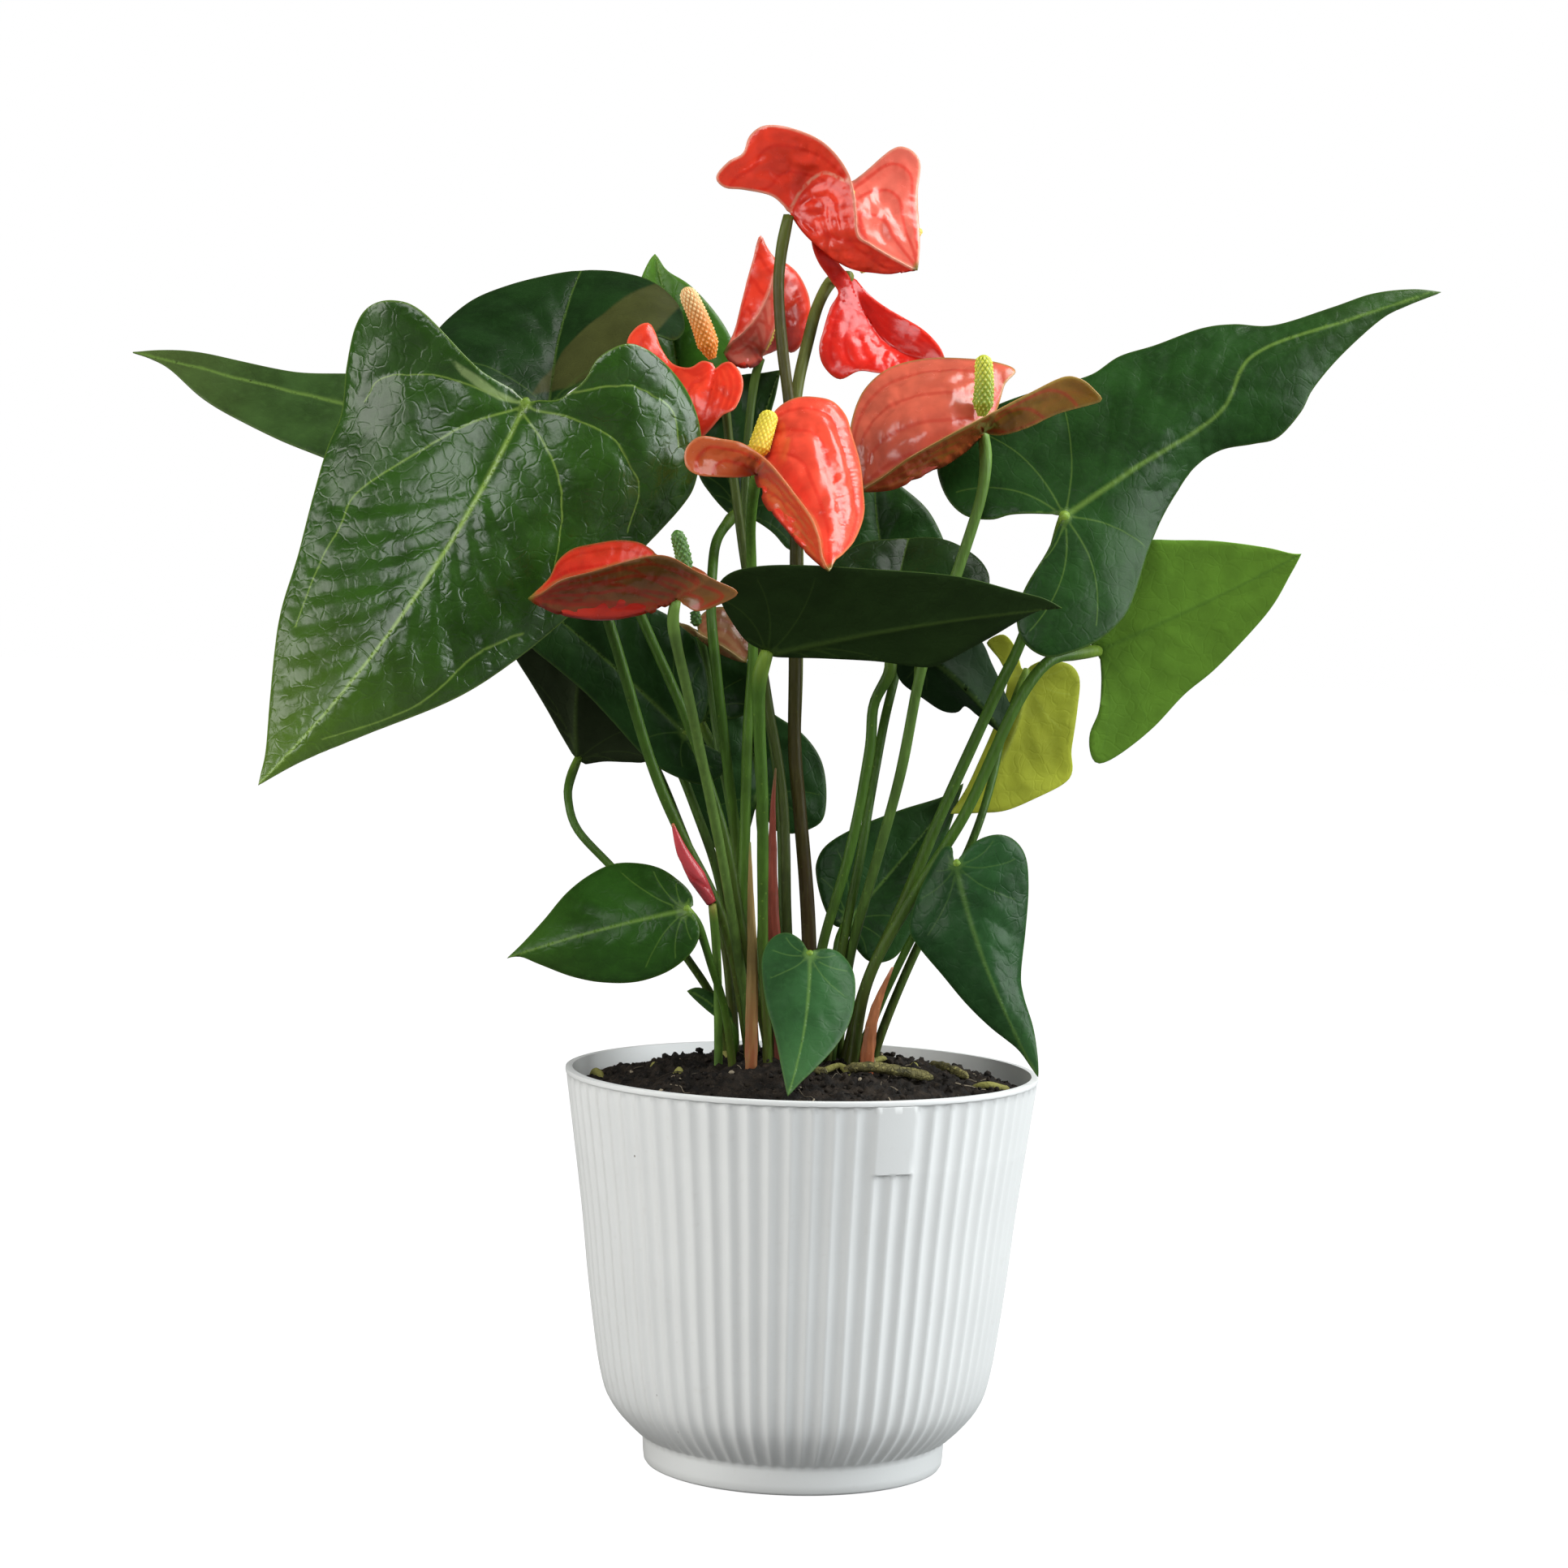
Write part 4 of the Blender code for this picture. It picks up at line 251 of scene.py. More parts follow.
         right=[(-31.5, 219.5), (-26, 220), (-20, 221.5), (-17.5, 225), (-17.5, 232), (-19.5, 238),
         (-25.5, 242), (-33.5, 246), (-40, 248.5)],
         stalk=[(-30.5, 215.5, 25), (-27, 208, 24), (-22, 193, 22), (-18, 171.5, 21), (-16, 147.5, 21)],
         root=(-9, 23), thick=(2.4, 2.6), puff=0.04, colour=(0.014, 0.045, 0.009), show=0.3, gloss=0.08),
    dict(name="leaf_inner_back", joint=(-14.5, 197, 40), tilt=(0.2, 0.2), tip=(-20.5, 230),
         rib=(-17.5, 214.5, 2),
         left=[(-16, 193.5), (-18, 186), (-21.5, 181), (-26.5, 181.5), (-31, 189), (-35, 200),
         (-35.5, 209.5), (-31.5, 219), (-25.5, 226)],
         right=[(-13, 194), (-10.5, 188.5), (-5.5, 187), (0.5, 188.5), (4.5, 192), (5, 201), (3, 209.5),
         (-2.5, 216.5), (-11, 222), (-16, 226)],
         stalk=[(-13.5, 183.5, 36), (-13, 167, 32), (-12.5, 145, 27)],
         root=(-4, 22), thick=(2.4, 2.6), puff=0.05, colour=(0.016, 0.05, 0.011), show=0.3, gloss=0.08),
    dict(name="leaf_low_right_back", joint=(12, 161, 24), tilt=(0.1, 0.3), tip=(45.5, 203),
         rib=(27.5, 179.5, 2),
         left=[(10.5, 159.5), (8, 160.5), (5, 166.5), (3, 174), (3, 179), (6, 184), (14, 189), (27, 194.5),
         (40, 199)],
         right=[(12.5, 158.5), (14, 155), (18.5, 150), (23, 149.5), (27.5, 152), (32, 159.5), (35.5, 169),
         (38.5, 179), (42, 191)],
         stalk=[(10, 155.5, 20), (9, 148, 17), (7.5, 139.5, 15)],
         root=(9, 12), thick=(2.4, 2.6), puff=0.05, colour=(0.014, 0.045, 0.01), show=0.25, quilt=0.6,
         gloss=0.06),
    dict(name="leaf_low_right", joint=(44, 179, -16), tilt=(-0.05, 0.05), tip=(70, 116.5),
         rib=(54, 148, -2),
         left=[(43, 181.5), (42.5, 184, 1), (40.5, 184, 2), (38, 180.5, 3), (34, 172.5, 5),
         (31.5, 164.5, 6), (31, 159, 6), (34, 154, 5), (40.5, 146.5, 4), (48, 138, 3), (55.5, 131, 2),
         (63.5, 125, 1), (67.5, 120)],
         right=[(45, 181), (50, 186, 2), (56, 188, 3), (61, 186.5, 5), (64.5, 181.5, 6), (65.5, 172.5, 7),
         (65, 160.5, 6), (64, 147, 5), (65, 140.5, 3), (68, 131.5, 1), (69.5, 123)],
         stalk=[(41, 173, -9), (32.5, 158.5, -6), (25, 142.5, -6), (20.5, 131.5, -7)],
         root=(12.8, -6.5), thick=(2.2, 2.6), puff=0.05, colour=(0.017, 0.058, 0.016), show=0.2, quilt=0.6,
         gloss=0.12),
    dict(name="leaf_low_left", joint=(-35, 163.5, -28), tilt=(0.05, 0.35), tip=(-88, 148),
         rib=(-60.5, 157, -2),
         left=[(-33.5, 165), (-34, 168), (-37, 171.5, 1), (-43, 175.5, 3), (-50, 177, 4),
         (-57.5, 176.5, 5), (-64.5, 173, 4), (-71, 167.5, 3), (-77, 160, 1), (-83.5, 152.5)],
         right=[(-33, 162), (-31.5, 158), (-32, 154, 1), (-35, 149.5, 2), (-41, 145, 3), (-49.5, 142, 4),
         (-59, 141.5, 4), (-68.5, 143, 3), (-78.5, 146.5, 1), (-84, 148.5)],
         stalk=[(-31.5, 158.5, -24), (-27.5, 147, -19), (-23.5, 135, -14)],
         root=(-20, -10), thick=(2.2, 2.6), puff=0.05, colour=(0.016, 0.055, 0.006), show=0.35, quilt=0.6,
         gloss=0.15, light_tip=0.3),
    dict(name="leaf_small_front", joint=(1.5, 151, -30), tilt=(0.0, 0.72), tip=(-4, 109),
         rib=(0.5, 129.5, -1),
         left=[(0.5, 152.5), (-1.5, 155.5), (-5.5, 157.5, 1), (-9.5, 156, 2), (-12, 152, 3),
         (-12.5, 146.5, 3), (-11, 136.5, 2), (-8, 126.5, 1), (-6, 117.5)],
         right=[(2.5, 152), (6.5, 153), (10.5, 151.5, 2), (14, 147, 3), (15, 141, 3), (14, 132.5, 2),
         (10, 124.5, 1), (4, 117.5), (-0.5, 113)],
         stalk=[(2, 145.5, -24), (1.5, 137, -20)],
         root=(0, -17), thick=(2.0, 2.4), puff=0.05, colour=(0.026, 0.08, 0.025), show=0.3, quilt=0.6,
         gloss=0.08),
    dict(name="leaf_small_base", joint=(-21.5, 130, -3), tilt=(0.2, 0.3), tip=(-34.5, 139.5),
         rib=(-28.5, 136.5),
         left=[(-22, 129), (-24.5, 131), (-28.5, 134), (-32, 137)],
         right=[(-21, 131), (-22, 134.5), (-25.5, 138), (-29, 140), (-32, 140.5)],
         stalk=[(-20, 127, -3)],
         root=(-21.5, -1), thick=(1.8, 2.2), puff=0.03, colour=(0.02, 0.065, 0.012), show=0.3, quilt=0.5,
         gloss=0.1),
    dict(name="leaf_right_folded", joint=(31.5, 241.5, 12), tilt=(0.1, 0.0), tip=(56.5, 218),
         rib=(45.5, 231, -4),
         left=[(29.5, 241), (26, 239, 2), (25, 236, 4), (27, 232, 6), (33, 228, 8), (38.5, 224.5, 8),
         (43, 224, 7), (45.5, 226, 3), (49, 223.5), (53, 220.5)],
         right=[(32, 243.5), (35.5, 247, 2), (41.5, 249, 3), (47, 248, 4), (50.5, 243.5, 5),
         (52.5, 239, 4), (55, 234, 3), (57.5, 228.5, 2), (59.5, 224.5, 1), (58.5, 220.5)],
         stalk=[(31, 230.5, 6), (27.5, 208.5, 6), (21, 181, 7), (14, 153, 8)],
         root=(10.5, 8), thick=(2.2, 2.6), puff=0.04, face=-1, colour=(0.014, 0.04, 0.009),
         under=(0.014, 0.04, 0.011), show=0.25, quilt=0.6, gloss=0.06),
    dict(name="leaf_behind_blooms", joint=(-23, 281, 42), tilt=(0.0, 0.3), tip=(-11.5, 323),
         rib=(-18, 302, 2),
         left=[(-24.5, 280), (-27, 282, -1), (-31, 286.5, -2), (-34.5, 292, -2), (-35.5, 300, -1),
         (-34, 309.5), (-29.5, 317), (-23.5, 321), (-16.5, 322)],
         right=[(-21.5, 279.5), (-18, 279, -1), (-12.5, 275.5, -2), (-7.5, 270.5, -3), (-5, 273, -3),
         (-5, 280.5, -2), (-7.5, 289, -1), (-10.5, 298.5), (-14, 308), (-12.5, 316)],
         stalk=[(-25.5, 278.5, 34), (-29, 272.5, 20), (-30, 263.5, 6), (-30, 250.5, -4), (-28, 233.5, -4),
         (-25, 212, 0), (-22, 190.5, 4), (-19, 169, 5), (-16.5, 147.5, 4)],
         root=(-14, 5), thick=(3.0, 3.2), puff=0.05, colour=(0.014, 0.045, 0.009), show=0.3, gloss=0.08),
]
# Each bloom: its spathe and stalk as for a leaf, and the middle line of its spadix
BLOOMS = [
    dict(name="bloom_top", joint=(-10, 369, 30), tilt=(0.0, 0.0), tip=(28, 353), rib=(7, 354),
         left=[(-11.5, 371, -1.0), (-15.5, 374, -2.5), (-23.5, 375.5, -4.0), (-29, 376, -4.5),
         (-31.5, 379, -5.0), (-28, 383.5, -6.0), (-24, 386, -6.5), (-22, 391, -6.5), (-18, 394, -7.0),
         (-11.5, 394, -7.5), (-3.5, 391.5, -8.0), (2, 387.5, -8.5), (6.5, 381.5, -8.5), (8.5, 375.5, -8.5),
         (9.5, 369.5, -8.0), (10.5, 363, -7.0), (14, 360.5, -6.0), (20, 357, -3.5)],
         right=[(-9, 371.5, 2), (-6, 376.5, 8), (0, 381, 14), (7, 378.5, 18), (11, 380.5, 20),
         (16.5, 385.5, 21), (19.5, 388, 21), (22.5, 389, 20), (26, 387.5, 18), (28, 384, 16),
         (27.5, 376.5, 12), (28, 369.5, 8), (28.5, 361, 3)],
         stalk=[(-12, 357.5, 30), (-12.5, 346, 29), (-11, 329.5, 27), (-8.5, 312.5, 24), (-6, 289, 19),
         (-5.5, 267.5, 15), (-5, 236.5, 9), (-4.5, 212.5, 6), (-2.5, 193.5, 5), (0.5, 164.5, 3)],
         root=(3, 2), thick=(3.4, 4.6), puff=0.0, colour=(0.82, 0.05, 0.022), outside=(0.8, 0.16, 0.11),
         edge=(0.8, 0.42, 0.28), pucker=1.1, stalk_top=(0.1, 0.13, 0.02), stalk_foot=(0.045, 0.022, 0.01),
         spadix_colour=(0.8, 0.6, 0.1), stalk_colour=(0.06, 0.056, 0.011),
         spadix=[(-7.5, 372, 33.5), (1, 374, 32), (9, 375.5, 30.5)],
         spadix_width=5.2),
    dict(name="bloom_hanging", joint=(8.5, 351, 42), tilt=(0.0, 0.0), tip=(37, 326.5, -4),
         rib=(19, 332.5, 5),
         left=[(6.5, 352.5, -4), (2, 358, -6), (-2.5, 362.5, -6), (-3, 360, -7), (-1, 355, -6),
         (3, 349.5, -3), (5.5, 346, -2), (3, 341.5, -3), (1, 334.5, -5), (0, 329.5, -6), (1.5, 324.5, -6),
         (6, 321, -6), (11.5, 323.5, -6), (17.5, 323, -6), (25, 322.5, -6)],
         right=[(10.5, 350, 3), (12.5, 347.5, 4), (15.5, 344.5, 4), (20, 341.5, 5), (24.5, 339, 5),
         (30.5, 335.5, 3), (35, 331, -1)],
         stalk=[(3, 349.5, 51), (-1, 342, 45), (-3.5, 332, 41), (-6, 320, 37), (-7, 308, 33),
         (-6, 289, 29), (-5, 267.5, 25), (-4.5, 236.5, 19), (-4.5, 212.5, 15), (-2.5, 193.5, 13),
         (0.5, 164.5, 12)],
         root=(3, 9), thick=(3.6, 3.8), puff=0.02, colour=(0.72, 0.022, 0.012), outside=(0.7, 0.03, 0.015),
         edge=(0.75, 0.06, 0.03), pucker=0.3, spadix_colour=(0.8, 0.6, 0.1),
         stalk_colour=(0.12, 0.14, 0.03),
         spadix=[(11.5, 352.5, 46), (20.5, 359, 52), (29, 365, 56)],
         spadix_width=4.4),
    dict(name="bloom_orange", joint=(-30.5, 323, 4), tilt=(0.0, 0.2), tip=(-37, 300.5), rib=(-33, 311, -5),
         left=[(-31.5, 324.5), (-34.5, 325), (-38, 323), (-43, 324, 2), (-46.5, 328.5, 3),
         (-48.5, 333.5, 4), (-50.5, 336, 4), (-54, 334.5, 3), (-56.5, 330, 2), (-54.5, 322.5),
         (-49.5, 311.5, -1), (-43, 303.5)],
         right=[(-28.5, 324.5), (-26, 325, -1), (-23, 321.5, -4), (-22.5, 317, -6), (-24.5, 311.5, -8),
         (-28, 309.5, -7), (-31.5, 305.5, -4), (-34, 303, -2)],
         stalk=[(-27.5, 312.5, 9), (-25.5, 298, 11), (-22.5, 279, 11), (-20.5, 267, 10), (-17, 248, 8),
         (-12.5, 224.5, 6), (-7.5, 197, 2), (-5.5, 160.5, -2)],
         root=(-3, -3), thick=(2.8, 3.0), puff=0.04, colour=(0.82, 0.055, 0.022),
         outside=(0.8, 0.13, 0.06), edge=(0.8, 0.16, 0.08), pucker=0.6, spadix_tip=(0.86, 0.64, 0.3),
         spadix_dot=(0.88, 0.62, 0.32), spadix_colour=(0.82, 0.24, 0.02), stalk_colour=(0.07, 0.1, 0.02),
         spadix=[(-31.5, 326, 2), (-35, 336, 0), (-40, 346.5, -2)],
         spadix_width=7.2),
    dict(name="bloom_upright", joint=(-17, 327, 44), tilt=(0.0, 0.0), tip=(-28, 328, -6),
         rib=(-22.5, 324, -4),
         left=[(-15, 328, 6.5), (-11.5, 329.5, 10.5), (-8, 328.5, 12), (-5, 332, 11), (-3.5, 338.5, 12),
         (-4, 344.5, 12), (-6.5, 350, 12), (-10, 353.5, 12), (-14, 355.5, 10), (-16.5, 359, 9),
         (-18.5, 362, 8), (-20.5, 354, 6.5), (-23, 343, 4), (-25, 334.5)],
         right=[(-16, 329, -6.5), (-14.5, 332.5, -10.5), (-13, 337.5, -12), (-13, 344, -11),
         (-14, 351, -11), (-15.5, 345.5, -12), (-18.5, 339, -12), (-23, 333.5, -11), (-26.5, 330.5, -9)],
         stalk=[(-19, 319.5, 46), (-20.5, 303, 44), (-21, 279, 38), (-20.5, 267, 33), (-17.5, 248, 27),
         (-13, 224.5, 22), (-8.5, 197, 18), (-6.5, 160.5, 16)],
         root=(-3, 15), thick=(2.6, 2.8), puff=0.03, colour=(0.8, 0.05, 0.022), outside=(0.82, 0.19, 0.13),
         edge=(0.82, 0.3, 0.2), pucker=0.6, spadix_colour=(0.8, 0.6, 0.1), stalk_colour=(0.07, 0.12, 0.02),
         spadix=[(-16, 329, 42), (-14.5, 337.5, 40), (-14.5, 345.5, 40)],
         spadix_width=3.6),
    dict(name="bloom_yellow", joint=(-17.5, 293, -36), tilt=(0.0, 0.0), tip=(4.5, 265, -40),
         rib=(-10, 278.5, -18),
         left=[(-19.5, 292, -3), (-23.5, 291.5, -7), (-29, 291.5, -9), (-35, 292, -9), (-38.5, 294.5, -8),
         (-38.5, 299.5, -8), (-34.5, 303, -9), (-28.5, 302.5, -10), (-22.5, 301.5, -12), (-18, 299, -16),
         (-13.5, 295.5, -20), (-6.5, 287.5, -26), (-1, 280.5, -33), (1.5, 274.5, -37), (2.5, 269, -40)],
         right=[(-16, 295, 4), (-15, 302, 9), (-14, 308.5, 10), (-11, 312.5, 13), (-6.5, 315, 14),
         (-1.5, 315.5, 14), (4, 314.5, 13), (8, 310.5, 12), (10, 304.5, 7), (12.5, 296.5, 1),
         (13.5, 289.5, -5), (14, 281.5, -12), (11.5, 274, -21), (8.5, 270, -30), (6, 268, -36)],
         stalk=[(-18.5, 286.5, -25), (-19, 277, -16), (-18.5, 265, -9), (-17.5, 240, -4), (-18.5, 217, -2),
         (-18.5, 188.5, 0), (-18, 157, 1)],
         root=(-8, 2), thick=(3.0, 3.2), puff=0.03, colour=(0.8, 0.075, 0.038), outside=(0.6, 0.12, 0.035),
         edge=(0.62, 0.22, 0.08), pucker=1.0, spadix_tip=(0.84, 0.74, 0.06), spadix_dot=(0.88, 0.78, 0.14),
         spadix_colour=(0.8, 0.62, 0.04), stalk_colour=(0.08, 0.17, 0.02),
         spadix=[(-18, 297, -35), (-16.5, 302.5, -34), (-14, 311, -31)],
         spadix_width=7.0),
    dict(name="bloom_wide", joint=(48.5, 307, -12), tilt=(0.0, 0.0), tip=(13, 289, -4),
         rib=(30.5, 293, -4),
         left=[(50.5, 306, -5), (54.5, 306, -9), (62, 308.5, -11), (70, 312.5, -11), (80, 315.5, -12),
         (83, 317, -13), (81, 319.5, -14), (77, 322.5, -15), (71.5, 323, -16), (61.5, 318, -19),
         (50, 311.5, -21), (38.5, 305, -20), (27, 298, -15), (19, 292.5, -9)],
         right=[(50.5, 309.5, 5), (52.5, 314, 10), (54.5, 320.5, 14), (57.5, 324.5, 18), (53, 326.5, 20),
         (44, 327.5, 22), (32, 327.5, 21), (21, 324.5, 18), (14, 318.5, 14), (10.5, 311, 9),
         (9.5, 302.5, 3), (12, 295, -1)],
         stalk=[(49.5, 297.5, -14), (48, 285.5, -14), (42, 265, -13), (37.5, 250.5, -13), (32, 235, -14),
         (27, 206, -8), (20.5, 179.5, -4), (13.5, 152, 0)],
         root=(8, 3), thick=(3.4, 3.0), puff=0.03, colour=(0.6, 0.115, 0.065), outside=(0.46, 0.11, 0.025),
         outside_foot=(0.25, 0.13, 0.014), edge=(0.36, 0.26, 0.06), pucker=0.9,
         spadix_tip=(0.7, 0.72, 0.05), spadix_dot=(0.72, 0.76, 0.22), spadix_colour=(0.24, 0.36, 0.02),
         stalk_colour=(0.09, 0.17, 0.03),
         spadix=[(48, 311, -12.5), (48.5, 320, -13), (48, 329, -13)],
         spadix_width=6.8),
    dict(name="bloom_low", joint=(-40.5, 255.5, -70), tilt=(0.0, 0.0), tip=(-83.5, 255, -2),
         rib=(-63, 248.5, -2),
         left=[(-38.5, 254, -4), (-34.5, 252, -7), (-29, 253.5, -8), (-22.5, 257.5, -8), (-29, 261, -10),
         (-35.5, 264, -12), (-42, 267.5, -14), (-47.5, 268, -15), (-55, 266, -16), (-64.5, 263, -15),
         (-74, 260.5, -11), (-80, 256.5, -6)],
         right=[(-38.5, 257.5, 5), (-33.5, 259.5, 8), (-31.5, 262.5, 9), (-36.5, 265.5, 12),
         (-45.5, 268, 14), (-48, 270, 15), (-52, 272, 16), (-58, 272.5, 16), (-64.5, 271.5, 14),
         (-71, 269.5, 11), (-75.5, 265.5, 7), (-78, 260.5, 3)],
         stalk=[(-41, 246.5, -66), (-36, 226, -54), (-30.5, 202.5, -40), (-25, 178.5, -28),
         (-20, 152, -17)],
         root=(-14, -9), thick=(3.0, 2.8), puff=0.03, colour=(0.5, 0.028, 0.013),
         outside=(0.22, 0.062, 0.016), outside_foot=(0.2, 0.09, 0.02), edge=(0.3, 0.12, 0.03), pucker=0.5,
         spadix_dot=(0.12, 0.3, 0.05), spadix_colour=(0.06, 0.16, 0.02), stalk_colour=(0.09, 0.16, 0.03),
         spadix=[(-38.5, 257, -70), (-38.5, 266.5, -70), (-41, 275.5, -70)],
         spadix_width=5.4),
    dict(name="bloom_hidden", joint=(-33.5, 245, 8), tilt=(0.0, 0.0), tip=(-19.5, 237, -2),
         rib=(-26.5, 240, -2),
         left=[(-35, 244.5, -2), (-37, 246, -4), (-39.5, 248, -5), (-36.5, 247.5, -6), (-32.5, 245, -7),
         (-26, 241.5, -6)],
         right=[(-34, 247.5, 2), (-32.5, 251, 5), (-28.5, 253, 7), (-23.5, 252.5, 7), (-20, 247.5, 6),
         (-18.5, 242, 3)],
         stalk=[(-32.5, 242, 19), (-30.5, 233.5, 23), (-27.5, 214.5, 18), (-23, 193, 16), (-19.5, 169, 16),
         (-17.5, 147.5, 16)],
         root=(-14, 18), thick=(2.2, 2.4), puff=0.03, colour=(0.36, 0.18, 0.08), outside=(0.34, 0.2, 0.08),
         edge=(0.3, 0.24, 0.08), pucker=0.3, spadix_dot=(0.12, 0.3, 0.05),
         spadix_colour=(0.05, 0.14, 0.02), stalk_colour=(0.08, 0.16, 0.03),
         spadix=[(-34.5, 247.5, 7.5), (-34.5, 249.5, 7), (-35, 252, 6.5)],
         spadix_width=3.8),
]

# Veins read off the photo, across and up, from the joint outwards
TRACED_VEINS = {
    "leaf_front_left": [
        [(-84, 312.5), (-90.5, 312), (-105, 317.5), (-116, 319.5), (-128, 317), (-132, 311)],
        [(-85.5, 311.5), (-89.5, 309.5), (-103, 304.5), (-117.5, 295), (-134.5, 283), (-139, 273.5),
         (-145, 262.5), (-152, 244)],
        [(-84, 312.5), (-70.5, 315.5), (-59.5, 317.5), (-51, 316), (-43, 309), (-41.5, 300)],
        [(-85, 311.5), (-83, 309.5), (-72, 307.5), (-60, 301), (-54.5, 292), (-53, 285.5), (-56, 275)],
        [(-85.5, 311), (-86.5, 308.5), (-80, 299), (-76, 288), (-75.5, 277), (-77.5, 260)],
        [(-86, 244), (-90, 242.5), (-100, 237), (-112.5, 225), (-124, 218.5), (-144, 211.5)]],
}

# Course of the main vein where it leaves the middle of the blade
DRAWN_MIDRIBS = {
    "leaf_big_right": [(73, 282), (94, 297.5), (117, 313.5), (127.5, 330.5), (154.5, 341.5), (178, 350)],
}

# Each root: its path as x, y and height over the soil's surface, and its width
ROOTS = [
    dict(name="root_tan", path=[(7, 34, 1.3), (12, 18, 1.8), (18, -3, 2), (21, -13, 0.8)], width=3.4),
    dict(name="root_olive_front", path=[(12, -24, -0.3), (20, -25, 1.0), (29, -24, 1.0), (38, -19, -0.1)],
         width=3.4),
    dict(name="root_olive_right", path=[(38, 7, -0.1), (43, 3, 1.1), (49, -4, 0.2)], width=2.8),
    dict(name="root_small", path=[(-3, -29, -0.3), (2, -27, 0.5), (7, -31, -0.1)], width=2.4),
]

# Small root ends that show in the soil: the width, and the path as x, y and height over the soil
ROOTLETS = [
    (2.4, [(-63, 14, -0.5), (-61.5, 8, 1.2), (-59, 3, -0.5)]),
    (1.8, [(-45, 8, -0.6), (-44, 4, 1.6), (-43.5, -1, -0.4)]),
    (1.7, [(-25, 8, -0.6), (-23, 3, 1.4), (-21, -3, -0.5)]),
    (1.5, [(-38, -14, -0.5), (-36, -17, 1.3), (-35, -21, -0.5)]),
    (2.0, [(1, -20, -0.4), (5, -25, 1.5), (11, -22, 0.6), (14, -27, -0.6)]),
    (1.8, [(9, -8, -0.3), (17, -9, 1.0), (23, -3, 1.6), (25, 3, -0.2)]),
    (2.2, [(50, -10, -0.4), (55, -11, 1.2), (59, -8, 1.4), (61, -2, -0.2)]),
    (1.3, [(31, 4, -0.4), (33, 0, 1.8), (34, -4, -0.3)]),
]

# Each sheath or bud: its middle line as seen from the front, its half widths along it, its colours
SHEATHS = [
    dict(name="sheath_red", path=[(-10, 206, -8), (-10.5, 193, -8), (-10, 169, -8.5), (-8, 140, -9)],
         root=(-5.5, -9), widths=(0.3, 1.4, 2.0, 2.1, 2.0),
         colours=((0.13, 0.09, 0.03), (0.22, 0.05, 0.03), (0.16, 0.045, 0.025))),
    dict(name="sheath_tan", path=[(-17, 184, -17), (-16.5, 169, -17.5), (-15.5, 145, -18)],
         root=(-15, -19), widths=(0.3, 1.4, 2.0, 1.9),
         colours=((0.16, 0.20, 0.05), (0.22, 0.15, 0.05), (0.26, 0.07, 0.03))),
    dict(name="sheath_orange", path=[(26, 148, -12), (22, 138, -13), (20, 129, -14)],
         root=(18, -14.5), widths=(0.4, 1.6, 2.2, 2.2),
         colours=((0.60, 0.30, 0.20), (0.42, 0.15, 0.06), (0.26, 0.06, 0.025))),
]
BUD = dict(name="bud", path=[(-40, 189, -22), (-37, 181, -20.5), (-32.5, 173.5, -18), (-28, 166, -16)],
           widths=(0.4, 1.8, 2.6, 1.6))
BUD_STALK = dict(name="bud_stalk", path=[(-27.75, 165.3, -15.8), (-26.5, 155, -13.5), (-25.5, 140, -10)],
                 root=(-24.5, -6), width=2.6)

# Places of a leaf that are turned over and show the underside, as outlines seen from the front
FOLDS = {
    "leaf_front_left": [(-108, 324.5), (-101, 320), (-94.5, 315), (-89, 312.5), (-88, 311.5), (-93.5, 312),
                        (-99, 315), (-104.5, 319.5)],
    "leaf_back_left": [(-44, 350), (-57.5, 342), (-65.5, 336), (-74, 327.5), (-81.5, 318), (-84.5, 313.5),
                        (-73.5, 316), (-64, 322), (-56, 328), (-48, 333), (-43, 339), (-36, 347)],
}

# Material slots of the record that aren't the usual ones of a leaf or a bloom
LEAF_SLOTS = {"leaf_back_pointed": "mid_leaf", "leaf_bright_right": "bright_leaf",
              "leaf_yellow_right": "yellow_leaf"}
SPATHE_SLOTS = {"bloom_hanging": "red_spathe", "bloom_orange": "red_spathe", "bloom_yellow": "red_spathe",
                "bloom_low": "brown_spathe", "bloom_hidden": "tan_spathe"}
SPADIX_SLOTS = {"bloom_orange": "orange_spadix", "bloom_low": "green_spadix",
                "bloom_hidden": "green_spadix"}

# Colours of every leaf's stalk from its top to its foot, and of a spathe's dry tip
STALK_COLOURS = ((0.20, 0.32, 0.04), (0.050, 0.115, 0.012), (0.060, 0.065, 0.012))
SPATHE_TIP = (0.16, 0.13, 0.02)


def length(name, description, size):
    """A length setting, given in mm."""
    return bpy.props.FloatProperty(name=name, description=description, default=size * MM, unit="LENGTH",
                                   precision=5)


def tint(name, description, colour):
    """A colour setting."""
    return bpy.props.FloatVectorProperty(name=name, description=description, default=colour,
                                         subtype="COLOR", size=3, min=0.0, max=1.0)


def power(name, description, watts):
    """A light's power setting."""
    return bpy.props.FloatProperty(name=name, description=description, default=watts, unit="POWER")


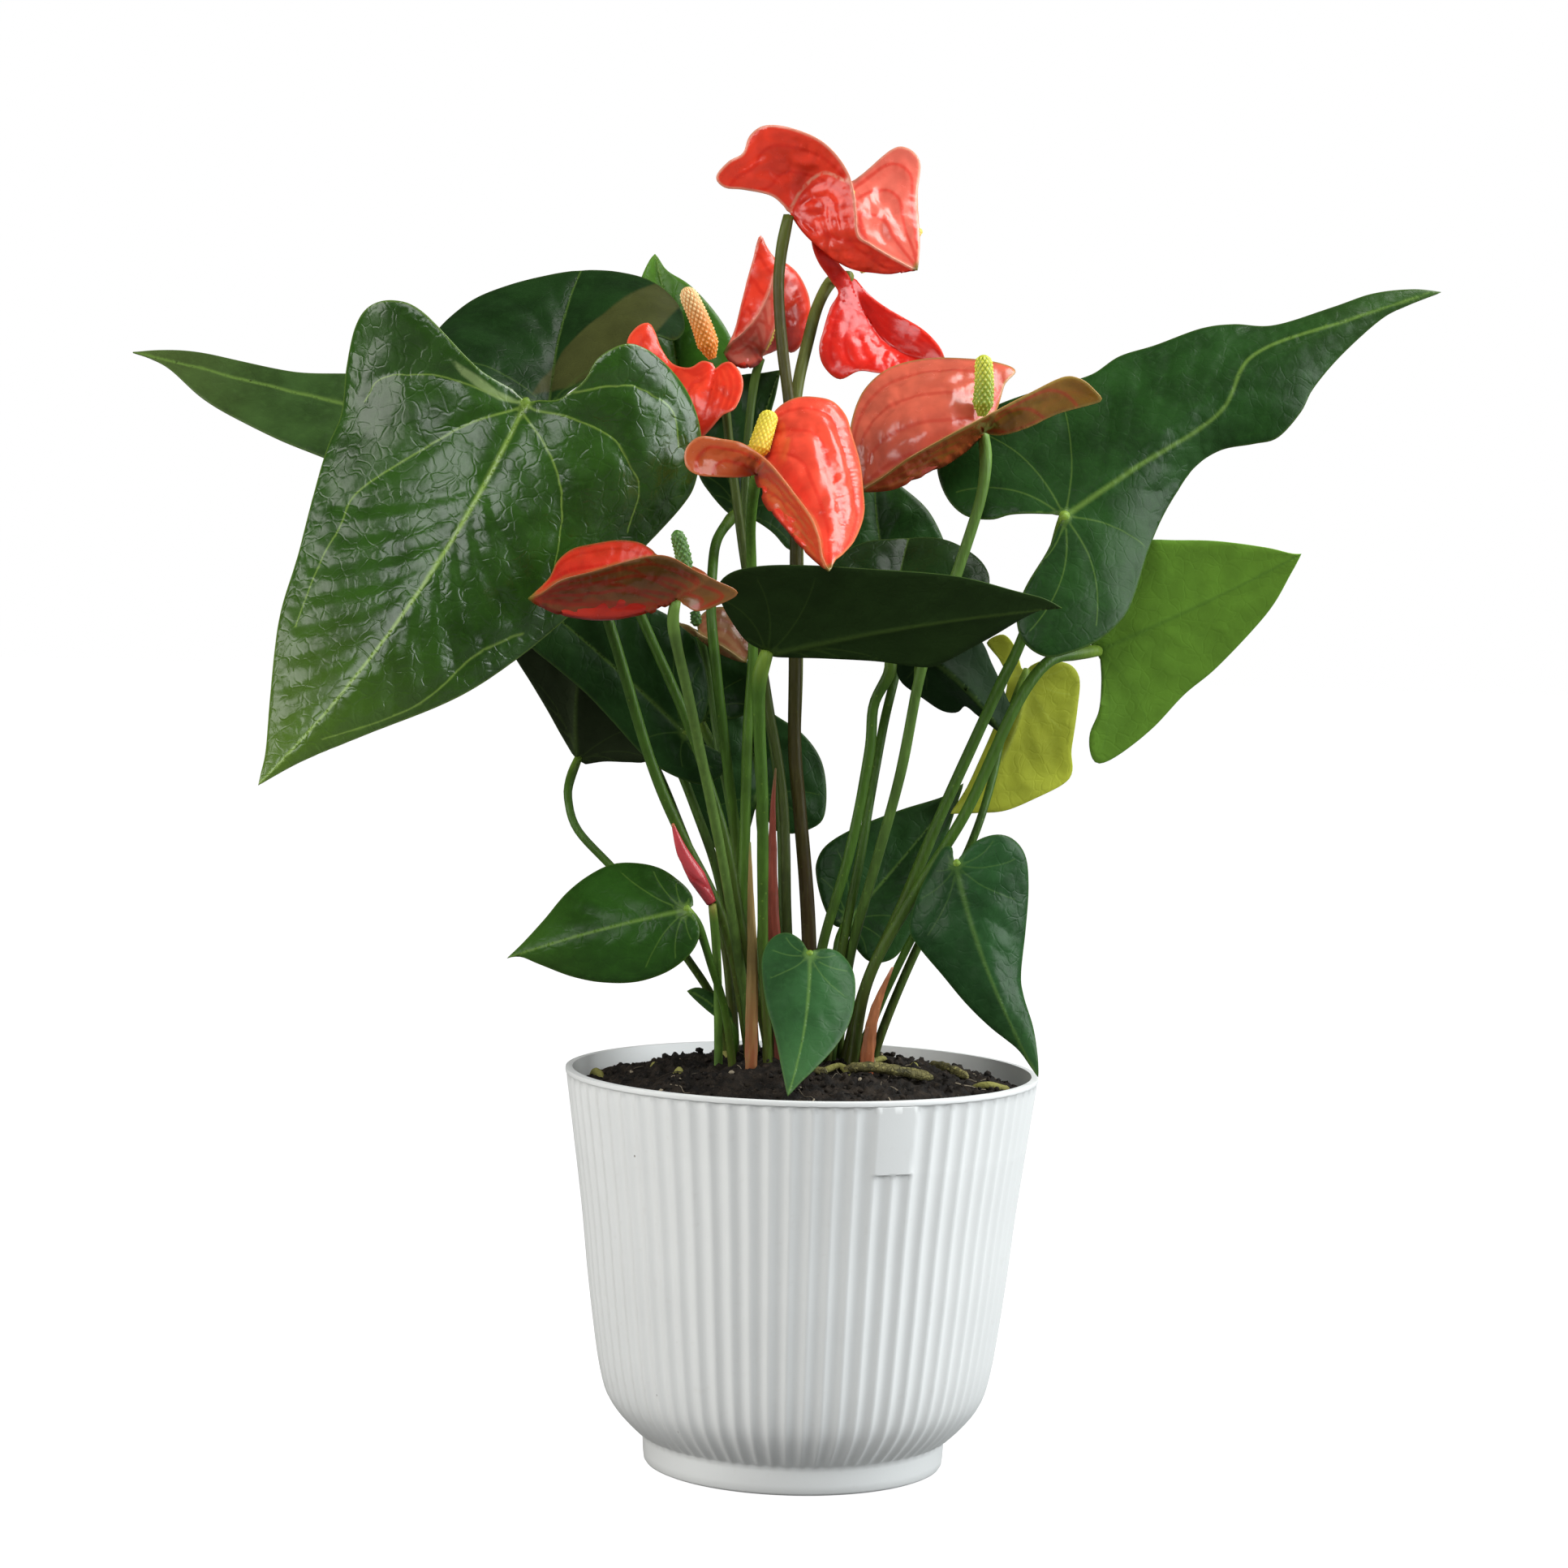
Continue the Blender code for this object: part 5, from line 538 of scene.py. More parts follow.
class PlantSizes(bpy.types.PropertyGroup):
    """Sizes of the plant and its pot that a user would change."""

    rib_count: bpy.props.IntProperty(name="Ribs", description="Upright ribs round the pot", default=72,
                                     min=12)
    rib_depth: length("Rib depth", "From the crest of a rib to the groove beside it", 0.9)
    blade_thickness: length("Leaf thickness", "Thickness of a leaf's blade between its veins", 0.7)
    spathe_thickness: length("Spathe thickness", "Thickness of a bloom's spathe", 0.6)
    blade_grain: length("Leaf detail", "Distance between the points of a leaf's surface", 1.25)
    quilting: length("Quilting", "Height of the swellings between a leaf's veins", 0.75)
    floret_pitch: length("Floret pitch", "Distance between the florets of a spadix", 1.9)
    crumb_count: bpy.props.IntProperty(name="Crumbs", description="Loose crumbs on the soil", default=950,
                                       min=0)


class PlantColours(bpy.types.PropertyGroup):
    """Colours of the plant and its pot that a user would change."""

    pot: tint("Pot", "White plastic of the pot", (0.80, 0.815, 0.80))
    soil: tint("Soil", "Damp dark soil", (0.013, 0.0095, 0.0065))
    vein: tint("Leaf vein", "Main veins of the leaves", (0.26, 0.40, 0.07))
    underside: tint("Leaf underside", "Matt side of the dark leaves", (0.085, 0.15, 0.05))
    root: tint("Root", "Bark of the aerial roots", (0.19, 0.17, 0.06))
    bud: tint("Bud", "Closed bloom bud", (0.55, 0.06, 0.07))


class StageSettings(bpy.types.PropertyGroup):
    """Light and floor round the plant."""

    right_light: power("Right light", "Power of the large soft light at the right", 20.0)
    top_light: power("Top light", "Power of the soft light overhead", 17.0)
    left_light: power("Left light", "Power of the soft light at the left", 14.0)
    front_light: power("Front light", "Power of the soft light high in front", 11.0)
    room_light: bpy.props.FloatProperty(name="Room light", default=0.06,
                                        description="Strength of the even light of the white room")
    floor_radius: bpy.props.FloatProperty(name="Floor radius", description="Radius of the pale floor",
                                          default=12.0, unit="LENGTH")


class Finish:
    """A procedural material that is put together node by node."""

    def __init__(self, name, constants):
        self.material = bpy.data.materials.new(name)
        self.material.use_nodes = True
        self.nodes = self.material.node_tree.nodes
        self.links = self.material.node_tree.links
        self.shader = self.nodes["Principled BSDF"]
        self.place = self.nodes.new("ShaderNodeTexCoord").outputs["Object"]
        self.split = None
        self.alpha = None
        self.normal = None
        for socket, value in constants.items():
            self.feed(self.shader.inputs[socket], value)

    def feed(self, socket, value):
        """Link another node's output to a socket, or set the socket's own value."""
        if isinstance(value, bpy.types.NodeSocket):
            self.links.new(value, socket)
        elif socket.type == "RGBA":
            socket.default_value = (*value, 1.0)
        else:
            socket.default_value = value

    def node(self, kind, inputs, **settings):
        """A new node with its inputs fed and its settings set."""
        made = self.nodes.new("ShaderNode" + kind)
        for setting, value in settings.items():
            setattr(made, setting, value)
        for socket, value in inputs.items():
            self.feed(made.inputs[socket], value)
        return made

    def blend(self, share, first, second):
        """A mix of two colours."""
        return self.node("Mix", {0: share, 6: first, 7: second}, data_type="RGBA").outputs[2]

    def maths(self, kind, first, second=0.0):
        """One sum of two numbers."""
        return self.node("Math", {0: first, 1: second}, operation=kind).outputs[0]

    def cover(self, under, share, most, colour):
        """A colour laid over another by a share of most."""
        return self.blend(self.maths("MULTIPLY", share, most), under, colour)

    def spread(self, share, width, least):
        """A number that varies by width with share, from least."""
        return self.maths("ADD", self.maths("MULTIPLY", share, width), least)

    def mottle(self, size, detail=3.0, stretch=None):
        """Cloudy patches about size mm across, from 0 to 1, that may be stretched along some axes."""
        place = self.place
        if stretch:
            place = self.node("Mapping", {"Vector": place, "Scale": stretch}).outputs[0]
        return self.node("TexNoise", {"Vector": place, "Scale": 1000.0 / size, "Detail": detail}).outputs[0]

    def cells(self, size, feature="DISTANCE_TO_EDGE", warp=0.0):
        """Irregular cells about size mm across, warped by up to warp mm: the distance to their edges
        or centres."""
        place = self.place
        if warp:
            cloud = self.node("TexNoise", {"Vector": place, "Scale": 1000.0 / (2 * size)})
            place = self.node("VectorMath", {0: cloud.outputs["Color"], 1: (2 * warp * MM,) * 3, 2: place},
                              operation="MULTIPLY_ADD").outputs[0]
        made = self.node("TexVoronoi", {"Vector": place, "Scale": 1000.0 / size}, feature=feature)
        return made.outputs["Distance"]

    def step(self, share, start, end):
        """A soft step that is 0 where share is at start and 1 where it is at end."""
        return self.node("MapRange", {"Value": share, "From Min": start, "From Max": end},
                         interpolation_type="SMOOTHSTEP").outputs[0]

    def patches(self, size, detail, start, end):
        """Mottling with a soft step from start to end."""
        return self.step(self.mottle(size, detail), start, end)

    def marking(self, channel):
        """One channel of the piece's own markings: red, green, blue or alpha."""
        if self.split is None:
            source = self.node("Attribute", {}, attribute_name="markings")
            self.split = self.node("SeparateColor", {0: source.outputs["Color"]}).outputs
            self.alpha = source.outputs["Alpha"]
        return self.alpha if channel == 3 else self.split[channel]

    def raise_by(self, height, depth):
        """Bumps of depth mm where height is 1, on top of those already there."""
        inputs = {"Distance": depth * MM, "Strength": 1.0, "Height": height}
        if self.normal is not None:
            inputs["Normal"] = self.normal
        self.normal = self.node("Bump", inputs).outputs["Normal"]

    def done(self, colour, roughness=None):
        """Link what was made to the shader and hand the material over."""
        self.feed(self.shader.inputs["Base Color"], colour)
        if roughness is not None:
            self.feed(self.shader.inputs["Roughness"], roughness)
        if self.normal is not None:
            self.links.new(self.normal, self.shader.inputs["Normal"])
        return self.material


def shade(colour, share):
    """A colour made darker or lighter."""
    return tuple(min(1.0, c * share) for c in colour)


def leaf_finish(name, leaf, vein, underside):
    """Glossy leaf: pale veins, a lighter tip, a thin pale margin, wrinkles and a matt underside."""
    colour = leaf["colour"]
    gloss = leaf["gloss"]
    finish = Finish(name, {"Specular IOR Level": 0.05 + 0.8 * gloss})
    patches = finish.patches(15.0, 4.0, 0.32, 0.68)
    body = finish.blend(patches, shade(colour, 0.78), shade(colour, 1.3))
    fine = finish.patches(2.2, 3.0, 0.45, 0.75)
    body = finish.cover(body, fine, 0.25, shade(colour, 1.9))
    lighter = (colour[0] * 5.0, colour[1] * 2.9, colour[2] * 3.4)
    tip = finish.step(finish.marking(3), 0.4, 1.0)
    body = finish.cover(body, tip, leaf.get("light_tip", 0.15), lighter)
    line = finish.step(finish.marking(0), 0.35, 1.0)
    body = finish.cover(body, line, 0.85, vein)
    margin = finish.step(finish.marking(1), 0.80, 1.0)
    body = finish.cover(body, margin, 0.4, shade(vein, 0.8))
    below = finish.blend(finish.patches(9.0, 3.0, 0.3, 0.7), shade(underside, 0.8), underside)
    below = finish.cover(below, line, 0.6, shade(vein, 0.8))
    body = finish.blend(finish.step(finish.marking(2), 0.3, 0.7), body, below)
    wrinkles = finish.step(finish.cells(4.6, warp=4.5), 0.12, 0.0)
    finish.raise_by(wrinkles, -leaf.get("wrinkle", 0.04))
    finish.raise_by(finish.mottle(1.3, 3.0), 0.05)
    finish.raise_by(finish.mottle(4.0, 2.0), leaf.get("wrinkle", 0.04) * 1.5)
    rough = finish.spread(finish.mottle(5.0), 0.2, 0.27 - 0.22 * gloss)
    return finish.done(body, finish.spread(finish.marking(2), 0.2, rough))


def stalk_finish(name, top, middle, foot):
    """Stalk: light swelling at its top, darker down to its foot, with fine lengthwise streaks."""
    finish = Finish(name, {"Specular IOR Level": 0.2})
    along = finish.marking(3)
    body = finish.blend(finish.step(along, 0.0, 0.10), top, middle)
    body = finish.blend(finish.step(along, 0.45, 1.0), body, foot)
    streaks = finish.step(finish.mottle(1.1, 3.0, (1.0, 1.0, 0.12)), 0.40, 0.70)
    body = finish.cover(body, streaks, 0.35, shade(middle, 1.6))
    patches = finish.patches(11.0, 4.0, 0.48, 0.72)
    body = finish.cover(body, patches, 0.5, shade(middle, 0.5))
    flecks = finish.step(finish.cells(2.6, "F1"), 0.16, 0.06)
    body = finish.cover(body, flecks, 0.3, shade(top, 1.1))
    finish.raise_by(streaks, 0.06)
    rough = finish.spread(finish.mottle(4.0), 0.25, 0.30)
    return finish.done(body, rough)


def spathe_finish(name, colour, outside, outside_foot, edge, tip):
    """Waxy spathe: its inner side, veined and with painted shade in the hollows between its pleats, a paler
    or greener edge and tip, and its outer side, which changes from its foot to its tip."""
    finish = Finish(name, {"Specular IOR Level": 0.45})
    patches = finish.patches(8.0, 4.0, 0.3, 0.7)
    body = finish.blend(patches, shade(colour, 0.82), shade(colour, 1.1))
    back = finish.blend(finish.step(finish.marking(3), 0.0, 0.7), outside_foot, outside)
    back = finish.cover(back, patches, 0.3, shade(outside, 0.62))
    body = finish.blend(finish.step(finish.marking(2), 0.3, 0.7), body, back)
    # The dark vein mark also holds painted shade in the hollows between the pleats.
    line = finish.step(finish.marking(0), 0.25, 0.85)
    body = finish.cover(body, line, 0.6, (colour[0] * 0.78, colour[1] * 0.35, colour[2] * 0.35))
    rim = finish.step(finish.marking(1), 0.72, 1.0)
    body = finish.cover(body, rim, 0.7, edge)
    body = finish.blend(finish.step(finish.marking(3), 0.93, 1.0), body, tip)
    finish.raise_by(finish.mottle(1.6, 3.0), 0.05)
    rough = finish.spread(finish.mottle(3.0), 0.2, 0.14)
    return finish.done(body, rough)


def spadix_finish(name, base, tip, dot):
    """Spadix of packed florets, each with a paler dot and painted shade in the gaps between them,
    coloured from its base to its tip.
    """
    finish = Finish(name, {"Specular IOR Level": 0.4, "Coat Weight": 0.1, "Coat Roughness": 0.3})
    body = finish.blend(finish.step(finish.marking(3), 0.3, 1.0), base, tip)
    # Painted shade: the gaps between the florets are darkened.
    body = finish.blend(finish.step(finish.marking(1), 0.4, 0.05), body, shade(base, 0.7))
    body = finish.blend(finish.step(finish.marking(0), 0.4, 0.65), body, dot)
    finish.raise_by(finish.mottle(0.5, 2.0), 0.04)
    return finish.done(body, finish.spread(finish.mottle(2.0), 0.2, 0.38))


def bark_finish(name, colour, dark, light):
    """Rough skin of a root, with flakes and cracks."""
    finish = Finish(name, {"Specular IOR Level": 0.3})
    patches = finish.patches(3.5, 5.0, 0.35, 0.65)
    body = finish.blend(patches, dark, colour)
    flakes = finish.patches(1.2, 4.0, 0.52, 0.66)
    body = finish.cover(body, flakes, 0.7, light)
    cracks = finish.step(finish.cells(1.6), 0.10, 0.0)
    body = finish.cover(body, cracks, 0.6, shade(dark, 0.5))
    finish.raise_by(flakes, 0.12)
    finish.raise_by(cracks, -0.15)
    return finish.done(body, finish.spread(patches, 0.2, 0.6))


def pot_finish(name, colour):
    """Matt white plastic with faint dust, fine grain and a few specks of soil."""
    finish = Finish(name, {"Specular IOR Level": 0.45})
    cloud = finish.patches(45.0, 3.0, 0.3, 0.7)
    body = finish.blend(cloud, shade(colour, 0.965), colour)
    dust = finish.patches(3.0, 5.0, 0.60, 0.78)
    body = finish.cover(body, dust, 0.10, (0.55, 0.52, 0.46))
    sparse = finish.patches(26.0, 2.0, 0.60, 0.68)
    speck = finish.maths("MULTIPLY", finish.step(finish.cells(7.0, "F1"), 0.06, 0.03), sparse)
    body = finish.cover(body, speck, 0.8, (0.10, 0.07, 0.05))
    finish.raise_by(finish.mottle(0.7, 2.0), 0.012)
    rough = finish.spread(finish.mottle(12.0), 0.12, 0.40)
    return finish.done(body, rough)


def soil_finish(name, colour):
    """Damp crumbly soil: near black with brown fibres and pale grains."""
    finish = Finish(name, {"Specular IOR Level": 0.25})
    patches = finish.patches(5.0, 6.0, 0.38, 0.66)
    body = finish.blend(patches, shade(colour, 0.45), shade(colour, 1.9))
    grains = finish.patches(1.3, 5.0, 0.58, 0.70)
    body = finish.cover(body, grains, 0.55, shade(colour, 5.0))
    body = finish.blend(finish.step(finish.marking(0), 0.3, 0.9), body, (0.32, 0.27, 0.19))
    body = finish.blend(finish.marking(1), body, (0.26, 0.25, 0.07))
    finish.raise_by(finish.mottle(0.9, 5.0), 0.6)
    return finish.done(body, finish.spread(patches, 0.15, 0.78))


class Form:
    """Points in mm, faces, markings and material slots of one piece, gathered before its mesh is made."""

    def __init__(self):
        self.points = []
        self.faces = []
        self.marks = []
        self.slots = []
        self.size = 0

    def add(self, points, faces, marks, slot=0):
        """Add a closed shell."""
        self.points.append(np.asarray(points, float).reshape(-1, 3))
        self.marks.append(np.asarray(marks, float).reshape(-1, 4))
        self.faces += [tuple(i + self.size for i in face) for face in faces]
        self.slots += [slot] * len(faces)
        self.size += len(self.points[-1])

    def make(self, name, materials):
        """The finished object in metres, smooth, with its faces outwards."""
        mesh = bpy.data.meshes.new(name)
        mesh.from_pydata((np.vstack(self.points) * MM).tolist(), [], self.faces)
        mesh.polygons.foreach_set("material_index", np.array(self.slots, np.int32))
        work = bmesh.new()
        work.from_mesh(mesh)
        bmesh.ops.recalc_face_normals(work, faces=work.faces)
        work.to_mesh(mesh)
        work.free()
        layer = mesh.color_attributes.new("markings", "FLOAT_COLOR", "POINT")
        layer.data.foreach_set("color", np.vstack(self.marks).astype(np.float32).ravel())
        mesh.polygons.foreach_set("use_smooth", np.ones(len(mesh.polygons), bool))
        obj = bpy.data.objects.new(name, mesh)
        bpy.context.scene.collection.objects.link(obj)
        for material in materials:
            mesh.materials.append(material)
        return obj


def settle_in(obj, node, slot):
    """Let a piece stand for its CAD node and ride on the pot's body."""
    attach(obj, "root")
    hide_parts(node)


def seen(point):
    """The place in space of a point given as seen from the front, in mm."""
    across, height, depth = point
    flat = Vector((across, 0.0, height))
    return VIEW_POINT + (flat - VIEW_POINT) * ((depth - VIEW_POINT.y) / -VIEW_POINT.y)


def seen_all(flat, depth):
    """The same for arrays of places and their depths."""
    ahead = (depth - VIEW_POINT.y) / -VIEW_POINT.y
    return np.column_stack([VIEW_POINT.x + (flat[:, 0] - VIEW_POINT.x) * ahead, depth,
                            VIEW_POINT.z + (flat[:, 1] - VIEW_POINT.z) * ahead])


def smooth_line(points, count, growth=1.0):
    """A smooth curve through the points, cut into count steps that may grow longer along it."""
    fine = []
    last = len(points) - 1
    for i in range(last):
        before = points[max(i - 1, 0)]
        start = points[i]
        end = points[i + 1]
        after = points[min(i + 2, last)]
        for step in range(10):
            t = step / 10.0
            fine.append(0.5 * (2 * start + (end - before) * t
                               + (2 * before - 5 * start + 4 * end - after) * t ** 2
                               + (3 * start - before - 3 * end + after) * t ** 3))
    fine.append(points[-1].copy())
    lengths = [0.0]
    for a, b in zip(fine, fine[1:]):
        lengths.append(lengths[-1] + (b - a).length)
    line = []
    j = 0
    for i in range(count + 1):
        want = lengths[-1] * (i / count) ** growth
        while j < len(fine) - 2 and lengths[j + 1] < want:
            j += 1
        span = lengths[j + 1] - lengths[j]
        share = (want - lengths[j]) / span if span > 0 else 0.0
        line.append(fine[j].lerp(fine[j + 1], share))
    return line


def line_length(points):
    """Length of a broken line."""
    return sum((b - a).length for a, b in zip(points, points[1:]))


def spot_on(line, share):
    """The place at a share of a line of even steps."""
    place = min(max(share, 0.0), 1.0) * (len(line) - 1)
    i = min(int(place), len(line) - 2)
    return line[i].lerp(line[i + 1], place - i)


def arc(start, end, bow, step):
    """A bowed line from start to end. bow is sideways, as a share of its length."""
    across = end - start
    side = Vector((-across.y, across.x, 0.0))
    count = max(3, round(across.length / step))
    line = []
    for i in range(count + 1):
        t = i / count
        line.append(start.lerp(end, t) + side * bow * 4 * t * (1 - t))
    return line


def distance_to(line, flat):
    """Least distance of each flat place to a broken line, and how far along the line it lies."""
    a = line[:-1]
    reach = line[1:] - a
    square = np.maximum((reach ** 2).sum(1), 1e-9)
    offset = flat[:, None, :] - a[None]
    share = np.clip((offset * reach[None]).sum(2) / square, 0, 1)
    gap = np.linalg.norm(offset - reach[None] * share[:, :, None], axis=2)
    nearest = gap.argmin(1)
    rows = np.arange(len(flat))
    return gap[rows, nearest], (nearest + share[rows, nearest]) / len(a)


def within(outline, flat):
    """Which flat places lie inside a closed outline."""
    x, y = flat[:, 0], flat[:, 1]
    found = np.zeros(len(flat), bool)
    for a, b in zip(outline, np.roll(outline, -1, axis=0)):
        if a[1] != b[1]:
            crosses = ((a[1] > y) != (b[1] > y)) & (x < a[0] + (y - a[1]) * (b[0] - a[0]) / (b[1] - a[1]))
            found ^= crosses
    return found


def as_flat(line):
    """Across and height of a line's points."""
    return np.array([(p.x, p.y) for p in line])


class Crowd:
    """Flat places that keep at least a set distance apart."""

    def __init__(self, cell):
        self.cell = cell
        self.taken = {}

    def offer(self, x, y, apart):
        """Take a place if nothing taken is nearer than apart."""
        i, j = int(x // self.cell), int(y // self.cell)
        if apart > 0:
            for a in (i - 1, i, i + 1):
                for b in (j - 1, j, j + 1):
                    for other in self.taken.get((a, b), ()):
                        if math.hypot(other[0] - x, other[1] - y) < apart:
                            return False
        self.taken.setdefault((i, j), []).append((x, y))
        return True


def blade_lines(blade, step):
    """The midrib and the two edges of a blade, each from the joint to the tip."""
    joint = Vector(blade["joint"][:2] + (0.0,))
    tip = Vector(blade["tip"]).to_3d()
    bow = Vector(blade["rib"]).to_3d() - (joint + tip) / 2
    count = max(8, round((tip - joint).length / step))
    midrib = []
    for j in range(count + 1):
        along = j / count
        midrib.append(joint.lerp(tip, along) + bow * 4 * along * (1 - along))
    edges = []
    for name in ("left", "right"):
        drawn = [Vector(p).to_3d() for p in blade[name]] + [tip]
        lead = max(1, round((drawn[0] - joint).length / step))
        start = [joint.lerp(drawn[0], k / lead) for k in range(lead)]
        edges.append(start + smooth_line(drawn, max(12, round(line_length(drawn) / step))))
    return midrib, edges


def leaf_veins(blade, midrib, edges, step):
    """Vein lines of a leaf as (places, half width at the start, half width at the end, strength)."""
    joint = midrib[0]
    size = (midrib[-1] - joint).length
    scale = min(1.0, 0.35 + size / 110.0)
    main = midrib
    if blade["name"] in DRAWN_MIDRIBS:
        main = smooth_line([Vector((x, y, 0.0)) for x, y in DRAWN_MIDRIBS[blade["name"]]], len(midrib))
    veins = [(main, 0.75 * scale, 0.2 * scale, 1.0)]
    traced = TRACED_VEINS.get(blade["name"], [])
    for places in traced:
        drawn = [Vector((x, y, 0.0)) for x, y in places]
        veins.append((smooth_line(drawn, round(line_length(drawn) / step)), 0.5, 0.2, 0.8))
    for edge in edges:
        middle = edge[len(edge) // 2]
        side = (midrib[-1] - joint).cross(middle - joint).z
        turn = -1 if side > 0 else 1

        def inset(share, depth):
            """A place at a share of the edge, depth mm in from it."""
            outer = spot_on(edge, share)
            foot = spot_on(midrib, (share - 0.3) / 0.7)
            return outer.lerp(foot, min(0.45, depth / max((foot - outer).length, 0.1)))

        rim = [inset(0.36 + 0.64 * k / 40, 3.2 * scale * math.sin(math.pi * min(1, (40 - k) / 12) / 2))
               for k in range(40)]
        veins.append((rim, 0.24 * scale, 0.16 * scale, 0.45))
        if not traced:
            for share, bow in ((0.09, 0.10), (0.19, 0.12), (0.30, 0.10), (0.43, 0.08)):
                line = arc(joint, inset(share, 4.0 * scale), bow * turn, step)
                veins.append((line, 0.42 * scale, 0.15 * scale, 0.72))
        count = max(3, round(size / 8.5))
        first = 3 if traced else 1
        for k in range(first, count):
            along = k / count
            end = inset(0.3 + 0.7 * min(0.99, along + 0.24), 3.0 * scale)
            line = arc(spot_on(midrib, along), end, 0.07 * turn, step)
            veins.append((line, 0.32 * scale, 0.12 * scale, 0.42))
    return [vein for vein in veins if line_length(vein[0]) > 1.5]


def spathe_veins(blade, midrib, edges, step):
    """Vein lines of a spathe: they run side by side from its joint to its tip."""
    veins = [(midrib, 0.7, 0.3, 1.0)]
    for edge in edges:
        for share in (0.22, 0.44, 0.66, 0.86):
            line = []
            for k in range(41):
                along = k / 40
                line.append(spot_on(midrib, along).lerp(spot_on(edge, along), share))
            veins.append((line, 0.55, 0.3, 0.9))
    return veins


def blade_surface(blade, veins, midrib, edges, step):
    """Flat places, depths, triangles and border of a blade's middle surface."""
    flat = [tuple(p.xy) for p in midrib]
    depth = [p.z for p in midrib]
    triangles = []
    borders = []
    for edge, name in zip(edges, ("left", "right")):
        outline = edge + midrib[-2:0:-1]
        ring = as_flat(outline)
        crowd = Crowd(step * 0.8)
        for x, y in ring:
            crowd.offer(x, y, 0)
        offered = []
        for line, *_ in veins:
            places = as_flat(smooth_line(line, max(3, round(line_length(line) / (step * 0.8)))))
            along = np.gradient(places, axis=0)
            along /= np.maximum(np.linalg.norm(along, axis=1), 1e-6)[:, None]
            across = np.column_stack([-along[:, 1], along[:, 0]])
            for shift in (0.0, 0.8, -0.8):
                offered.append((places + across * shift, 0.45))
        rows = []
        low, high = ring.min(0), ring.max(0)
        for n, y in enumerate(np.arange(low[1] + 0.3, high[1], step * 0.866)):
            xs = np.arange(low[0] + step * 0.5 * (n % 2), high[0], step)
            rows.append(np.column_stack([xs, np.full(len(xs), y)]))
        offered.append((np.vstack(rows), step * 0.72))
        inner = []
        for places, apart in offered:
            for x, y in places[within(ring, places)]:
                if crowd.offer(x, y, apart):
                    inner.append((x, y))
        own = [tuple(p) for p in ring] + inner
        result = geometry.delaunay_2d_cdt([Vector(p) for p in own], [], [list(range(len(ring)))], 1, 1e-5)
        size = len(edge)
        last = len(midrib) - 1
        index = [0] + list(range(len(flat), len(flat) + size - 2)) + [last] + list(range(last - 1, 0, -1))
        flat += own[1:size - 1]
        depth += [p.z for p in edge[1:-1]]
        index += list(range(len(flat), len(flat) + len(inner)))
        flat += inner
        depth += [math.nan] * len(inner)
        source = []
        for place, ids in zip(result[0], result[3]):
            if ids:
                source.append(index[ids[0]])
            else:
                source.append(len(flat))
                flat.append(tuple(place))
                depth.append(math.nan)
        area = sum(a[0] * b[1] - b[0] * a[1] for a, b in zip(ring, np.roll(ring, -1, axis=0)))
        turned = (area < 0) != (name == "right")
        for face in result[2]:
            a, b, c = (source[i] for i in face)
            triangles.append((a, c, b) if turned else (a, b, c))
        borders.append(index[:size])
    border = borders[0] + borders[1][-2:0:-1]
    return np.array(flat), np.array(depth), np.array(triangles), border


def settle_depths(flat, depth, triangles):
    """Give the inner points depths that pass smoothly between the outline's and the midrib's."""
    free = np.isnan(depth)
    fixed = ~free
    values = depth.copy()
    for chunk in np.array_split(np.flatnonzero(free), max(1, free.sum() // 2000)):
        gap = np.linalg.norm(flat[chunk][:, None] - flat[fixed][None], axis=2)
        weight = 1.0 / np.maximum(gap, 0.05) ** 2
        values[chunk] = (weight * depth[fixed]).sum(1) / weight.sum(1)
    pairs = np.vstack([triangles[:, (0, 1)], triangles[:, (1, 2)], triangles[:, (2, 0)]])
    a, b = pairs.T
    weight = 1.0 / np.maximum(np.linalg.norm(flat[a] - flat[b], axis=1), 0.1)
    size = len(flat)
    total = np.bincount(a, weight, size) + np.bincount(b, weight, size)
    free &= total > 0
    for _ in range(140):
        mean = np.bincount(a, weight * values[b], size) + np.bincount(b, weight * values[a], size)
        values[free] = mean[free] / total[free]
    return values


def vein_marks(flat, veins):
    """How strongly each place is on a vein, from 1 on it to 0, and its distance to the nearest."""
    mark = np.zeros(len(flat))
    nearest = np.full(len(flat), 99.0)
    for line, start, end, strength in veins:
        gap, along = distance_to(as_flat(line), flat)
        width = start + (end - start) * along
        mark = np.maximum(mark, (1 - gap / (3 * width)) * strength)
        nearest = np.minimum(nearest, gap)
    return np.clip(mark, 0, 1), nearest


def point_normals(points, triangles):
    """Unit normals of a surface's points."""
    a, b, c = (points[triangles[:, k]] for k in range(3))
    turns = np.cross(b - a, c - a)
    normals = np.zeros_like(points)
    for k in range(3):
        for axis in range(3):
            normals[:, axis] += np.bincount(triangles[:, k], turns[:, axis], len(points))
    return normals / np.maximum(np.linalg.norm(normals, axis=1), 1e-9)[:, None]


def wave(points, size, seed):
    """Smooth noise at each point, with waves about size mm long."""
    shift = Vector((seed * 7.3, seed * 3.1, seed * 5.7))
    return np.array([noise.noise(Vector(p) / size + shift) for p in points])


